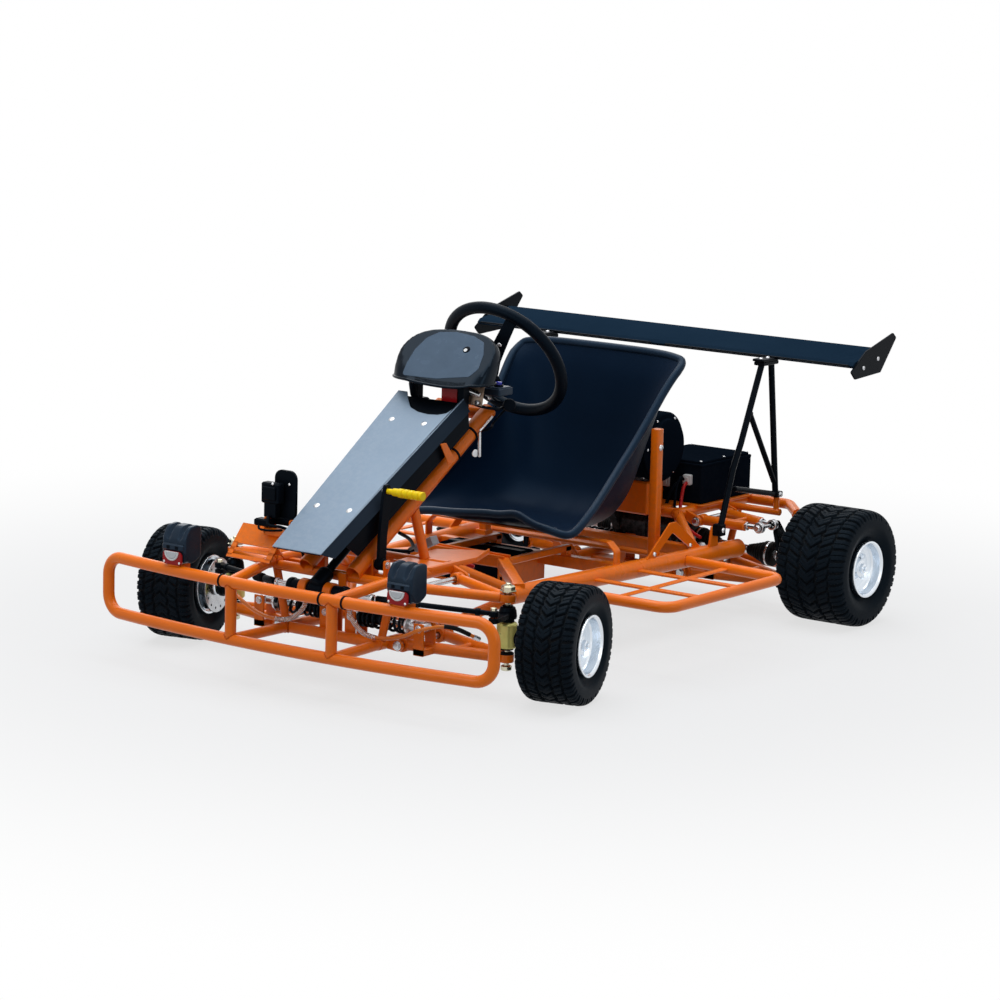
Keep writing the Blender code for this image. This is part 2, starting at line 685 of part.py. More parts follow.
def rim_rings(width):
    """Half section of a dished rim as (distance outwards, radius), from the hub to the outer web."""
    half = width / 2
    edge = half * 0.97
    bead = half * 0.80 + TOUCH_GAP
    wall = RIM_SEAT_RADIUS - 0.004
    web = edge - 0.034
    return [(web - 0.010, 0.024), (web + 0.004, wall), (-bead - 0.007, wall), (-bead - 0.004, RIM_LIP_RADIUS),
            (-bead, RIM_SEAT_RADIUS), (bead, RIM_SEAT_RADIUS), (bead + 0.002, RIM_LIP_RADIUS),
            (edge, RIM_LIP_RADIUS), (edge, wall), (web, 0.026), (web + 0.014, 0.020)]


def hub_disc_rings(hub_in, disc_at, half_thickness, disc_radius, hub_radius):
    """A hub from its inner end outwards with a brake disc standing up from it."""
    return [(hub_in, hub_radius), (disc_at - half_thickness, hub_radius), (disc_at - half_thickness, disc_radius),
            (disc_at + half_thickness, disc_radius), (disc_at + half_thickness, 0.022)]


# Suspension and steering corners

def lower_arm_solids(sleeves, ball, shock_y):
    """Two tubes from the pivot sleeves to the outer joint, a web and the coil-over tab."""
    ball_x, ball_y, ball_z = ball
    adds = []
    cuts = []
    for low, high in sleeves:
        middle = (low + high) / 2
        start = Vector((LOWER_PIVOT_X, middle, LOWER_PIVOT_Z))
        end = Vector((ball_x - 0.006, ball_y + (middle - ball_y) * 0.10, ball_z))
        adds.append(tube([start, end], ARM_TUBE_RADIUS, 6))
        adds.append(disc(start, (0, 1, 0), SLEEVE_RADIUS, low - middle, high - middle, 8))
        cuts.append(disc(start, (0, 1, 0), PIVOT_BORE, low - middle - 0.02, high - middle + 0.02, 6))
    fork = [(-0.0225, 0.081), (0.034, 0.081), (0.034, 0.097), (0.0225, 0.097), (0.0225, 0.151), (0.0185, 0.151),
            (0.0185, 0.097), (-0.0185, 0.097), (-0.0185, 0.151), (-0.0225, 0.151)]
    adds.append(prism([(shock_y + y, z) for y, z in fork], "x", SHOCK_OUTER_X - 0.013, SHOCK_OUTER_X + 0.013))
    pin = [(SHOCK_OUTER_X, shock_y - 0.0205, SHOCK_Z), (SHOCK_OUTER_X, shock_y + 0.0205, SHOCK_Z)]
    adds.append(tube(pin, SHOCK_PIN, 6))
    return adds, cuts


def lower_arm_front(side):
    ball = (KINGPIN_X, KINGPIN_Y, LOWER_BALL_Z)
    adds, cuts = lower_arm_solids(FRONT_SLEEVES, ball, FRONT_SHOCK_Y)
    adds.append(disc(ball, (0, 0, 1), BALL_RING, -0.009, 0.008, 10))
    cuts.append(disc(ball, (0, 0, 1), BALL_BORE, -0.05, 0.05, 8))
    return fuse([mirror_if(s, side) for s in adds], [mirror_if(s, side) for s in cuts])


def lower_arm_rear(side):
    ball = (CARRIER_X, sum(CARRIER_Y) / 2, CARRIER_PIN_Z)
    adds, cuts = lower_arm_solids(REAR_SLEEVES, ball, REAR_SHOCK_Y)
    low, high = CARRIER_Y
    adds.append(disc((CARRIER_X, 0, CARRIER_PIN_Z), (0, 1, 0), 0.014, low + 0.010, high - 0.010, 10))
    cuts.append(disc((CARRIER_X, 0, CARRIER_PIN_Z), (0, 1, 0), PIVOT_BORE, low - 0.02, high + 0.02, 8))
    return fuse([mirror_if(s, side) for s in adds], [mirror_if(s, side) for s in cuts])


def upper_arm_front(side):
    adds = [disc((KINGPIN_X, KINGPIN_Y, UPPER_BALL_Z), (0, 0, 1), BALL_RING, -0.008, 0.008, 10)]
    cuts = [disc((KINGPIN_X, KINGPIN_Y, UPPER_BALL_Z), (0, 0, 1), BALL_BORE, -0.05, 0.05, 8)]
    for low, high in ((-0.105, -0.083), (0.032, 0.054)):
        middle = (low + high) / 2
        start = (UPPER_PIVOT_X, middle, UPPER_PIVOT_Z)
        end = (KINGPIN_X - 0.010, KINGPIN_Y + (middle - KINGPIN_Y) * 0.08, UPPER_BALL_Z)
        adds.append(tube([start, end], 0.0112, 6))
        adds.append(disc(start, (0, 1, 0), 0.0130, low - middle, high - middle, 8))
        cuts.append(disc(start, (0, 1, 0), PIVOT_BORE, low - middle - 0.01, high - middle + 0.01, 6))
    return fuse([mirror_if(s, side) for s in adds], [mirror_if(s, side) for s in cuts])


def upper_arm_rear(side):
    """Two legs from the pivots; a rod end on each holds the top of the hub carrier."""
    adds = []
    cuts = []
    for (low, high), pin_y in zip(((1.000, 1.024), (1.112, 1.136)), CARRIER_TOP_Y):
        middle = (low + high) / 2
        start = Vector((UPPER_PIVOT_X, middle, UPPER_PIVOT_Z))
        end = Vector((CARRIER_X - 0.010, pin_y, CARRIER_TOP_Z))
        along = end - start
        legs = [(0.0, 0.0122), (0.82, 0.0122), (0.82, 0.0062), (1.0, 0.0062)]
        adds.append(lathe(start, along, [(share * along.length, radius) for share, radius in legs], 6))
        adds.append(disc(start, (0, 1, 0), 0.0135, low - middle, high - middle, 8))
        adds.append(disc((CARRIER_X, pin_y, CARRIER_TOP_Z), (0, 1, 0), 0.0130, -0.006, 0.006, 8))
        cuts.append(disc(start, (0, 1, 0), PIVOT_BORE, low - middle - 0.01, high - middle + 0.01, 6))
        cuts.append(disc((CARRIER_X, pin_y, CARRIER_TOP_Z), (0, 1, 0), ROD_END_BORE, -0.02, 0.02, 6))
    adds.append(tube([(0.285, 1.010, 0.2265), (0.285, 1.094, 0.2268)], 0.0070, 4))
    return fuse([mirror_if(s, side) for s in adds], [mirror_if(s, side) for s in cuts])


def kingpin_mesh(side):
    """The steering pin with its lower head and its upper nut."""
    x, y = side * KINGPIN_X, KINGPIN_Y
    rings = [(0.058, 0.012), (0.069, 0.012), (0.069, KINGPIN_RADIUS), (0.2300, KINGPIN_RADIUS), (0.2300, 0.012),
             (0.2425, 0.012), (0.2425, KINGPIN_RADIUS), (0.248, KINGPIN_RADIUS)]
    return fuse([lathe((x, y, 0.0), (0, 0, 1), rings, 6)])


def knuckle_mesh(side):
    """Upright with a bearing barrel, stub axle, axle nut and steering arm.

    Its own frame has the steering pin at the origin and the wheel straight ahead.
    """
    axle_z = FRONT_TYRE_RADIUS
    out = WHEEL_OFFSET
    adds = [
        disc((0, 0, 0), (0, 0, 1), 0.0150, LOWER_BALL_Z + 0.018, UPPER_BALL_Z - 0.019, 8),
        disc((0, WHEEL_TRAIL, axle_z), (1, 0, 0), 0.0210, 0.002, 0.0420, 10),
        disc((0, WHEEL_TRAIL, axle_z), (1, 0, 0), 0.0085, 0.030, out + 0.052, 8),
        disc((0, WHEEL_TRAIL, axle_z), (1, 0, 0), 0.0130, out + 0.0465, out + 0.0545, 6),
        box((-0.009, -STEER_ARM, STEER_ARM_Z - 0.006), (0.009, 0.004, STEER_ARM_Z + 0.006)),
        disc((0, -STEER_ARM, STEER_ARM_Z), (0, 0, 1), 0.0110, -0.0066, 0.0066, 8)]
    cuts = [disc((0, 0, 0), (0, 0, 1), 0.0080, 0.05, 0.25, 6)]
    return fuse([mirror_if(s, side) for s in adds], [mirror_if(s, side) for s in cuts])


def front_rim_mesh(side):
    """Dished rim and bored hub, with the brake disc on the hub's inner end."""
    centre = (side * WHEEL_OFFSET, WHEEL_TRAIL, FRONT_TYRE_RADIUS)
    rings = hub_disc_rings(0.0445 - WHEEL_OFFSET, 0.0500 - WHEEL_OFFSET, 0.002, 0.062, 0.022)
    rings += rim_rings(FRONT_TYRE_WIDTH)
    bore = 0.0108
    profile = [(bore, rings[0][0])] + [(r, a) for a, r in rings] + [(bore, rings[-1][0])]
    return fuse([turned(profile, centre, (side, 0, 0), RIM_SIDES)])


def rear_rim_mesh(side):
    """Dished rim with a solid spindle through the hub carrier and a small disc."""
    centre = (side * REAR_WHEEL_X, WHEELBASE, REAR_TYRE_RADIUS)
    rings = hub_disc_rings(0.3405 - REAR_WHEEL_X, 0.3980 - REAR_WHEEL_X, 0.0025, 0.047, 0.0145)
    rings += rim_rings(REAR_TYRE_WIDTH)
    return fuse([lathe(centre, (side, 0, 0), rings, RIM_SIDES)])


def carrier_mesh(side):
    """Rear hub carrier: bearing barrel in a forked plate, with a pin at the bottom and the top."""
    barrel = (CARRIER_X, WHEELBASE, REAR_TYRE_RADIUS)
    low, high = CARRIER_Y
    plate = [(low, 0.070), (low + 0.007, 0.070), (low + 0.007, 0.101), (high - 0.007, 0.101), (high - 0.007, 0.070),
             (high, 0.070), (high, 0.120), (1.166, 0.178), (1.110, 0.206), (1.083, 0.236), (1.073, 0.236),
             (1.073, 0.206), (low, 0.150)]
    adds = [
        disc(barrel, (1, 0, 0), 0.0340, -0.016, 0.016, 10),
        prism(plate, "x", CARRIER_X - 0.006, CARRIER_X + 0.006),
        tube([(CARRIER_X, low + 0.001, CARRIER_PIN_Z), (CARRIER_X, high - 0.001, CARRIER_PIN_Z)], 0.0055, 6),
        tube([(CARRIER_X, 0.992, CARRIER_TOP_Z), (CARRIER_X, 1.078, CARRIER_TOP_Z)], 0.0050, 6)]
    cuts = [disc(barrel, (1, 0, 0), 0.0172, -0.05, 0.05, 10)]
    return fuse([mirror_if(s, side) for s in adds], [mirror_if(s, side) for s in cuts])


def drive_shaft_mesh(side):
    """Half shaft with a rubber boot at each end."""
    inner = Vector((side * DRIVE_INNER_X, WHEELBASE, GEARBOX_Z))
    outer = Vector((side * 0.3350, WHEELBASE, REAR_TYRE_RADIUS + 0.0008))
    length = (outer - inner).length
    rings = ((0.0, 0.010), (0.02, 0.010), (0.02, 0.029), (0.10, 0.029), (0.29, 0.014), (0.30, 0.010),
             (0.66, 0.010), (0.67, 0.014), (0.88, 0.029), (0.98, 0.029), (0.98, 0.010), (1.0, 0.010))
    rings = [(share * length, radius) for share, radius in rings]
    return fuse([lathe(inner, outer - inner, rings)])


def shock_body_mesh(side, y):
    """Inner eye, damper can and the fixed spring seat."""
    eye = (SHOCK_INNER_X, y, SHOCK_Z)
    line = (0.0, y, SHOCK_Z)
    seat = SPRING_SEATS[0]
    rings = [(SHOCK_INNER_X + 0.0075, SHOCK_CAN_RADIUS), (seat - 0.008, SHOCK_CAN_RADIUS), (seat - 0.008, SPRING_FLANGE),
             (seat - 0.003, SPRING_FLANGE), (seat - 0.003, SHOCK_CAN_RADIUS), (SHOCK_CAN_END, SHOCK_CAN_RADIUS)]
    adds = [
        disc(eye, (0, 1, 0), SHOCK_EYE, -0.013, 0.013, 8),
        lathe(line, (1, 0, 0), rings)]
    cuts = [
        disc(eye, (0, 1, 0), SHOCK_EYE_BORE, -0.05, 0.05, 6),
        disc(line, (1, 0, 0), 0.0072, 0.085, 0.15, 6)]
    return fuse([mirror_if(s, side) for s in adds], [mirror_if(s, side) for s in cuts])


def shock_rod_mesh(side, y):
    """Outer eye, moving spring seat and the rod that slides in the can."""
    eye = (SHOCK_OUTER_X, y, SHOCK_Z)
    line = (0.0, y, SHOCK_Z)
    seat = SPRING_SEATS[1]
    rings = [(0.100, 0.0052), (seat + 0.003, 0.0052), (seat + 0.003, SPRING_FLANGE), (seat + 0.008, SPRING_FLANGE),
             (seat + 0.008, 0.011), (SHOCK_OUTER_X - 0.0075, 0.011)]
    adds = [
        disc(eye, (0, 1, 0), SHOCK_EYE, -0.013, 0.013, 8),
        lathe(line, (1, 0, 0), rings)]
    cuts = [disc(eye, (0, 1, 0), SHOCK_EYE_BORE, -0.05, 0.05, 6)]
    return fuse([mirror_if(s, side) for s in adds], [mirror_if(s, side) for s in cuts])


def spring_points(side, y):
    """A helix round the damper; its first and last turns end on the two seats."""
    start, end = SPRING_SEATS
    start += SPRING_WIRE - 0.0025
    end -= SPRING_WIRE - 0.0025
    total = SPRING_CURLS * SPRING_POINTS
    points = []
    for i in range(total + 1):
        angle = 2 * math.pi * i / SPRING_POINTS
        along = start + (end - start) * i / total
        points.append(Vector((side * along, y + SPRING_RADIUS * math.cos(angle),
                              SHOCK_Z + SPRING_RADIUS * math.sin(angle))))
    return points


def least_gap(points, wire, skip):
    """Smallest clear distance between parts of a wound wire that are not neighbours."""
    best = 1.0
    for i, point in enumerate(points):
        for other in points[i + skip:]:
            best = min(best, (point - other).length - 2 * wire)
    return best


def wire_node(name, points, radius, finish, parent, resolution):
    """A wire or hose: one polyline with a round section and closed ends."""
    data = bpy.data.curves.new(name, "CURVE")
    data.dimensions = "3D"
    data.bevel_depth = radius
    data.bevel_resolution = resolution
    data.use_fill_caps = True
    data.resolution_u = 1
    data.render_resolution_u = 0
    line = data.splines.new("POLY")
    line.points.add(len(points) - 1)
    for spot, point in zip(line.points, points):
        spot.co = (*point, 1.0)
    data.materials.append(material(finish))
    obj = bpy.data.objects.new(name, data)
    bpy.context.scene.collection.objects.link(obj)
    obj.parent = parent
    return obj


def smooth_route(points, per_span=2):
    """Points on a smooth curve through the given ones."""
    route = [Vector(p) for p in points]
    padded = [route[0] * 2 - route[1]] + route + [route[-1] * 2 - route[-2]]
    out = []
    for a, b, c, d in zip(padded, padded[1:], padded[2:], padded[3:]):
        for i in range(per_span):
            t = i / per_span
            out.append(0.5 * (2 * b + (c - a) * t + (2 * a - 5 * b + 4 * c - d) * t * t
                              + (3 * b - a - 3 * c + d) * t ** 3))
    out.append(route[-1])
    return out


BRAKE_HOSE_RADIUS = 0.0042
BRAKE_HOSE_ROUTE = [
    (0.062, -0.150, 0.184), (0.065, -0.150, 0.152), (0.100, -0.153, 0.122), (0.150, -0.155, 0.116),
    (0.205, -0.153, 0.127), (0.258, -0.147, 0.150), (0.310, -0.118, 0.158), (0.350, -0.066, 0.129)]


def tie_rod_points(side):
    """Inner joint on the rack and outer joint over the steering arm, as steered."""
    turn = STEER_ANGLE
    arm_x = STEER_ARM * math.sin(turn)
    arm_y = -STEER_ARM * math.cos(turn)
    outer = Vector((side * KINGPIN_X + arm_x, KINGPIN_Y + arm_y, STEER_ARM_Z + 0.0155))
    inner = Vector((outer.x - side * TIE_ROD_SPAN, RACK_Y, RACK_Z))
    return inner, outer


def tie_rod_mesh(side):
    inner, outer = tie_rod_points(side)
    start = inner + Vector((side * 0.0042, 0, 0))
    return fuse([
        tube([start, outer], 0.0058, 6),
        tube([start, inner.lerp(outer, 0.22)], 0.0085, 6),
        disc(outer, (0, 0, 1), 0.0110, -0.0065, 0.0065, 8)])


def rack_bar_mesh():
    """The toothed bar between the two tie rods, shown as a plain round bar."""
    left, _ = tie_rod_points(1)
    right, _ = tie_rod_points(-1)
    return fuse([
        tube([right + Vector((0.001, 0, 0)), left - Vector((0.001, 0, 0))], 0.0070, 8),
        disc((0, RACK_Y, RACK_Z), (1, 0, 0), 0.0100, left.x - 0.0085, left.x - 0.0006, 8),
        disc((0, RACK_Y, RACK_Z), (1, 0, 0), 0.0100, right.x + 0.0006, right.x + 0.0085, 8)])


def rack_housing_mesh():
    """The steering box: a tube round the rack bar and the pinion tower."""
    tower_low = column_point((STEERING_CENTRE[1] - RACK_Y) / math.cos(COLUMN_SLOPE))
    axis = Vector(COLUMN_AXIS)
    adds = [
        disc((0, RACK_Y, RACK_Z), (1, 0, 0), 0.0170, -RACK_HALF, RACK_HALF, 8),
        tube([tower_low - axis * 0.012, tower_low + axis * 0.036], 0.0180, 8)]
    clamp = [(RACK_Y - 0.006, 0.190), (-0.1388, 0.190), (-0.1388, 0.240), (-0.1438, 0.240), (-0.1438, 0.198),
             (RACK_Y - 0.006, 0.198)]
    for side in (1, -1):
        adds.append(mirror_if(prism(clamp, "x", 0.024, 0.045), side))
    cuts = [
        disc((0, RACK_Y, RACK_Z), (1, 0, 0), 0.0094, -0.12, 0.12, 8),
        tube([tower_low + axis * 0.022, tower_low + axis * 0.08], 0.0125, 8)]
    return fuse(adds, cuts)


def steering_shaft_mesh():
    hub = column_point(STEERING_DISH)
    tower_low = column_point((STEERING_CENTRE[1] - RACK_Y) / math.cos(COLUMN_SLOPE))
    axis = Vector(COLUMN_AXIS)
    return fuse([
        tube([tower_low + axis * 0.030, hub - axis * 0.0130], SHAFT_RADIUS, 8),
        tube([hub - axis * 0.040, hub - axis * 0.0125], 0.0170, 8)])


def steering_wheel_mesh():
    """Round rim, three drilled-plate spokes and a deep-dished hub."""
    axis = Vector(COLUMN_AXIS)
    centre = Vector(STEERING_CENTRE)
    hub = centre - axis * STEERING_DISH
    level = Vector((1.0, 0.0, 0.0))
    rise = axis.cross(level)
    sides = 8
    profile = [(STEERING_WHEEL_RADIUS + STEERING_RIM_RADIUS * math.cos(2 * math.pi * (k + 0.5) / sides),
                STEERING_RIM_RADIUS * math.sin(2 * math.pi * (k + 0.5) / sides)) for k in range(sides)]
    adds = [turned(profile, centre, axis, 20), tube([hub - axis * 0.0120, hub + axis * 0.006], 0.038, 10)]
    for rest_angle in (180.0, 0.0, 90.0):
        angle = math.radians(rest_angle) + STEERING_WHEEL_TURN
        out = level * math.cos(angle) + rise * math.sin(angle)
        across = axis.cross(out)
        inner = hub + out * 0.022
        outer = centre + out * (STEERING_WHEEL_RADIUS - 0.006) - axis * 0.004
        thick = (outer - inner).normalized().cross(across).normalized() * 0.0025
        wide_in = across * 0.019
        wide_out = across * 0.013
        verts = [inner - wide_in - thick, inner + wide_in - thick, outer + wide_out - thick,
                 outer - wide_out - thick, inner - wide_in + thick, inner + wide_in + thick,
                 outer + wide_out + thick, outer - wide_out + thick]
        faces = [(3, 2, 1, 0), (4, 5, 6, 7), (0, 1, 5, 4), (1, 2, 6, 5), (2, 3, 7, 6), (3, 0, 4, 7)]
        adds.append((verts, faces))
    return fuse(adds)


# Pedals

BRAKE_PIVOT = (0.102, -0.095, 0.262)
THROTTLE_PIVOT = (-0.126, -0.142, 0.332)


def brake_pedal_mesh():
    x, y, z = BRAKE_PIVOT
    plate = [(y - 0.013, z - 0.012), (y + 0.013, z - 0.012), (y + 0.016, z + 0.060), (y + 0.029, z + 0.150),
             (y + 0.022, z + 0.172), (y + 0.006, z + 0.172), (y - 0.001, z + 0.140), (y - 0.010, z + 0.060)]
    return fuse(
        [prism(plate, "x", x - 0.004, x + 0.004),
         disc((x, y, z), (1, 0, 0), 0.0130, -0.010, 0.010, 8),
         disc((x, y + 0.014, z + 0.158), (1, 0, 0), 0.0100, 0.0, 0.100, 8)],
        [disc((x, y, z), (1, 0, 0), 0.0068, -0.05, 0.05, 6)])


def brake_stand_solids():
    """Pivot bolt of the brake pedal and the plates that hold it on the frame."""
    x, y, z = BRAKE_PIVOT
    solids = [tube([(x - 0.018, y, z), (x + 0.018, y, z)], 0.0048, 6)]
    for near in (-0.018, 0.014):
        solids.append(box((x + near, y - 0.011, 0.2270), (x + near + 0.004, y + 0.011, z + 0.010)))
    return solids


def throttle_pedal_mesh():
    """Tall foot plate with rounded top, hinged at its lower end."""
    x, y, z = THROTTLE_PIVOT
    face = [(x - 0.030, z + 0.004), (x + 0.030, z + 0.004), (x + 0.030, z + 0.095), (x + 0.020, z + 0.112),
            (x - 0.020, z + 0.112), (x - 0.030, z + 0.095)]
    return fuse(
        [prism(face, "y", y - 0.004, y + 0.004),
         disc((x, y, z), (1, 0, 0), 0.0095, -0.030, 0.030, 8)],
        [disc((x, y, z), (1, 0, 0), 0.0062, -0.05, 0.05, 6)])


def throttle_stand_solids():
    """Hinge bolt and side cheeks of the throttle, and its sensor box in front."""
    x, y, z = THROTTLE_PIVOT
    solids = [tube([(x - 0.037, y, z), (x + 0.037, y, z)], 0.0042, 6)]
    for near in (-0.037, 0.033):
        solids.append(box((x + near, y - 0.030, z - 0.030), (x + near + 0.004, y + 0.010, z + 0.010)))
    solids.append(box((x - 0.037, y - 0.030, z - 0.030), (x + 0.037, y + 0.004, z - 0.014)))
    return solids


# Seat and bodywork

def seat_mesh():
    """A bucket shell between a middle line and a rolled side edge, thickened outwards."""
    middle = [(0.415, 0.286), (0.455, 0.268), (0.520, 0.254), (0.585, 0.249), (0.655, 0.246), (0.720, 0.256),
              (0.768, 0.292), (0.798, 0.352), (0.818, 0.425), (0.832, 0.505), (0.848, 0.580), (0.872, 0.636)]
    edge = [(0.428, 0.262), (0.480, 0.297), (0.545, 0.337), (0.605, 0.377), (0.655, 0.415), (0.697, 0.452),
            (0.733, 0.490), (0.765, 0.528), (0.793, 0.562), (0.817, 0.588), (0.838, 0.606), (0.862, 0.622)]
    width = [0.205, 0.206, 0.207, 0.208, 0.209, 0.210, 0.212, 0.215, 0.219, 0.225, 0.232, 0.238]
    spread = (0.0, 0.42, 0.72, 0.91, 1.0)
    raise_by = (0.0, 0.03, 0.18, 0.55, 1.0)
    sides = [-s for s in reversed(spread[1:])] + list(spread)
    lifts = [r for r in reversed(raise_by[1:])] + list(raise_by)
    verts = []
    for (my, mz), (ey, ez), half in zip(middle, edge, width):
        for share, lift in zip(sides, lifts):
            verts.append((share * half, my + (ey - my) * lift, mz + (ez - mz) * lift))
    across = len(sides)
    faces = []
    for i in range(len(middle) - 1):
        for j in range(across - 1):
            a = i * across + j
            faces.append((a, a + 1, a + across + 1, a + across))
    mesh = bpy.data.meshes.new("seat_shell")
    mesh.from_pydata(verts, [], faces)
    shell = bpy.data.objects.new("shell", mesh)
    bpy.context.scene.collection.objects.link(shell)
    wall = shell.modifiers.new("wall", "SOLIDIFY")
    wall.thickness = SEAT_WALL
    wall.offset = -1.0
    bpy.context.view_layer.update()
    ready = shell.evaluated_get(bpy.context.evaluated_depsgraph_get())
    done = bpy.data.meshes.new_from_object(ready)
    bpy.data.objects.remove(shell, do_unlink=True)
    return done


def panel_matrix():
    """Places a flat drawing (across, up the slope, out of the sheet) on the fairing plane."""
    slope = PANEL_SLOPE
    return Matrix.Translation(Vector(PANEL_RIVET)) @ Matrix.Rotation(slope, 4, "X")


def fairing_mesh():
    """A tapered folded sheet with a notch at its top and a fold down each side."""
    low, high = -0.143, 0.400
    half_low, half_high = 0.066, 0.090
    fold, drop = 0.017, 0.022
    verts = []
    for s, half, tip in ((low, half_low, low + 0.018), (high, half_high, high - 0.012)):
        outer = half + fold
        upper = [(-outer, tip, -drop), (-half, s, 0.0), (half, s, 0.0), (outer, tip, -drop)]
        verts += [Vector((x, y, z + PANEL_THICKNESS)) for x, y, z in upper]
        verts += [Vector((x * 0.985, y, z)) for x, y, z in reversed(upper)]
    faces = [tuple(range(7, -1, -1)), tuple(range(8, 16))]
    for i in range(8):
        j = (i + 1) % 8
        faces.append((i, j, j + 8, i + 8))
    notch = [(0.068, high + 0.02), (0.066, 0.352), (0.050, 0.336), (-0.050, 0.336), (-0.066, 0.352),
             (-0.068, high + 0.02)]
    place = panel_matrix()
    return fuse([moved((verts, faces), place)], [moved(prism(notch, "z", -0.03, 0.03), place)])


def pod_mesh():
    """Instrument cover: a rounded hood on two posts, with the switch box beside it."""
    centre = Vector((0.012, 0.248, 0.650))
    rows = []
    for level, share in ((-0.030, 1.0), (0.000, 1.0), (0.030, 0.93), (0.055, 0.74), (0.072, 0.44)):
        ring = []
        for k in range(12):
            angle = 2 * math.pi * (k + 0.5) / 12
            half_x = 0.130 * share
            half_y = (0.072 if math.sin(angle) < 0 else 0.060) * share
            ring.append(centre + Vector((half_x * math.cos(angle), half_y * math.sin(angle) + level * 0.35, level)))
        rows.append(ring)
    verts = [v for ring in rows for v in ring]
    faces = [tuple(range(11, -1, -1))]
    for r in range(len(rows) - 1):
        for k in range(12):
            a = r * 12 + k
            b = r * 12 + (k + 1) % 12
            faces.append((a, b, b + 12, a + 12))
    faces.append(tuple((len(rows) - 1) * 12 + k for k in range(12)))
    front, rear = 0.222, 0.250
    lift = COLUMN_TUBE_RADIUS / math.cos(COLUMN_SLOPE) + 0.0004
    post = [(front, column_height(front) + lift), (rear, column_height(rear) + lift), (rear, 0.628), (front, 0.628)]
    adds = [(verts, faces)]
    for side in (1, -1):
        adds.append(mirror_if(prism(post, "x", COLUMN_TUBE_X - 0.012, COLUMN_TUBE_X + 0.010), side))
    x, y, z = START_BUTTON
    adds.append(box((x - 0.022, y - 0.026, z - 0.020), (x + 0.022, y + 0.026, z + 0.004)))
    adds.append(box((COLUMN_TUBE_X - 0.006, rear - 0.010, z - 0.018), (COLUMN_TUBE_X + 0.008, y - 0.006, z - 0.005)))
    adds.append(box((COLUMN_TUBE_X - 0.006, y - 0.020, z - 0.018), (x - 0.012, y - 0.006, z - 0.005)))
    return fuse(adds, [disc((x, y, z), (0, 0, 1), 0.0095, -0.006, 0.010, 10)])


def wing_mesh():
    """Upswept aerofoil between two end plates, with the brackets for its stays."""
    section = [(1.105, 0.620), (1.113, 0.6135), (1.150, 0.617), (1.238, 0.646), (1.239, 0.650), (1.180, 0.640),
               (1.115, 0.628)]
    plate = [(1.283, 0.683), (WING_TIP_Y, 0.671), (1.230, 0.594), (1.115, 0.588), (1.095, 0.607), (1.160, 0.650)]
    mount = [(1.052, 0.6128), (1.122, 0.6128), (1.124, 0.6190), (1.052, 0.6190)]
    solids = [prism(section, "x", -WING_HALF, WING_HALF)]
    for side in (1, -1):
        end = prism(plate, "x", WING_HALF - 0.001, WING_HALF + WING_PLATE_THICKNESS)
        solids.append(mirror_if(end, side))
        solids.append(mirror_if(prism(mount, "x", STAY_X - 0.016, STAY_X + 0.016), side))
    return fuse(solids)


def stay_mesh(side):
    """Black tube frame that holds one side of the wing."""
    front = [(1.068, 0.606), (0.989, 0.426), (0.958, 0.368), (0.914, 0.2365)]
    rear = [(1.110, 0.606), (1.152, 0.282)]
    brace = [(1.022, 0.495), (1.143, 0.315)]
    bar = [(0.968, 0.3195), (1.152, 0.284)]
    x = side * STAY_X
    solids = []
    for route in (front, rear, brace, bar):
        solids.append(tube([(x, y, z) for y, z in route], STAY_RADIUS, 6))
    solids.append(box((x - 0.014, 1.056, 0.603), (x + 0.014, 1.120, 0.6124)))
    low_x = STAY_X - 0.0135
    solids.append(mirror_if(box((low_x, 0.901, 0.215), (low_x + 0.022, 0.923, 0.243)), side))
    solids.append(box((x - 0.010, 1.147, 0.2766), (x + 0.010, 1.169, 0.2905)))
    return fuse(solids)


def lamp_mesh(side):
    """Headlamp: notched housing, round lens face and a wide bezel below."""
    x = side * LAMP_X
    side_view = [(-0.290, 0.238), (-0.262, 0.2355), (-0.246, 0.250), (-0.243, 0.308), (-0.254, 0.319),
                 (-0.278, 0.317), (-0.296, 0.290)]
    adds = [
        prism(side_view, "x", x - 0.033, x + 0.033),
        box((x - 0.027, -0.302, 0.2357), (x + 0.027, -0.270, 0.272)),
        box((x - 0.027, -0.3050, 0.2325), (x + 0.027, -0.3004, 0.2600)),
        disc((x, -0.302, 0.262), (0, 1, 0), 0.0195, -0.006, 0.02, 14)]
    cuts = []
    for near in (-0.016, 0.016):
        notch = [(x + near - 0.008, 0.330), (x + near, 0.306), (x + near + 0.008, 0.330)]
        cuts.append(prism(notch, "y", -0.310, -0.262))
    return fuse(adds, cuts)


def battery_mesh():
    """Battery pack with chamfered lid and a socket on its front."""
    section = [(-0.206, 0.1235), (0.026, 0.1235), (0.026, 0.178), (0.016, 0.1885), (-0.196, 0.1885), (-0.206, 0.178)]
    return fuse([
        prism(section, "y", 0.440, 0.584),
        box((-0.150, 0.434, 0.150), (-0.110, 0.446, 0.172))])


def controller_mesh():
    """The black box over the drive unit, with its socket at the front."""
    base = TRAY_TOP + TOUCH_GAP
    return fuse([
        box((0.0, 1.042, base), (0.180, 1.262, 0.350)),
        box((0.004, 1.046, 0.345), (0.176, 1.258, 0.357)),
        box((0.062, 1.034, 0.288), (0.090, 1.046, 0.312))])


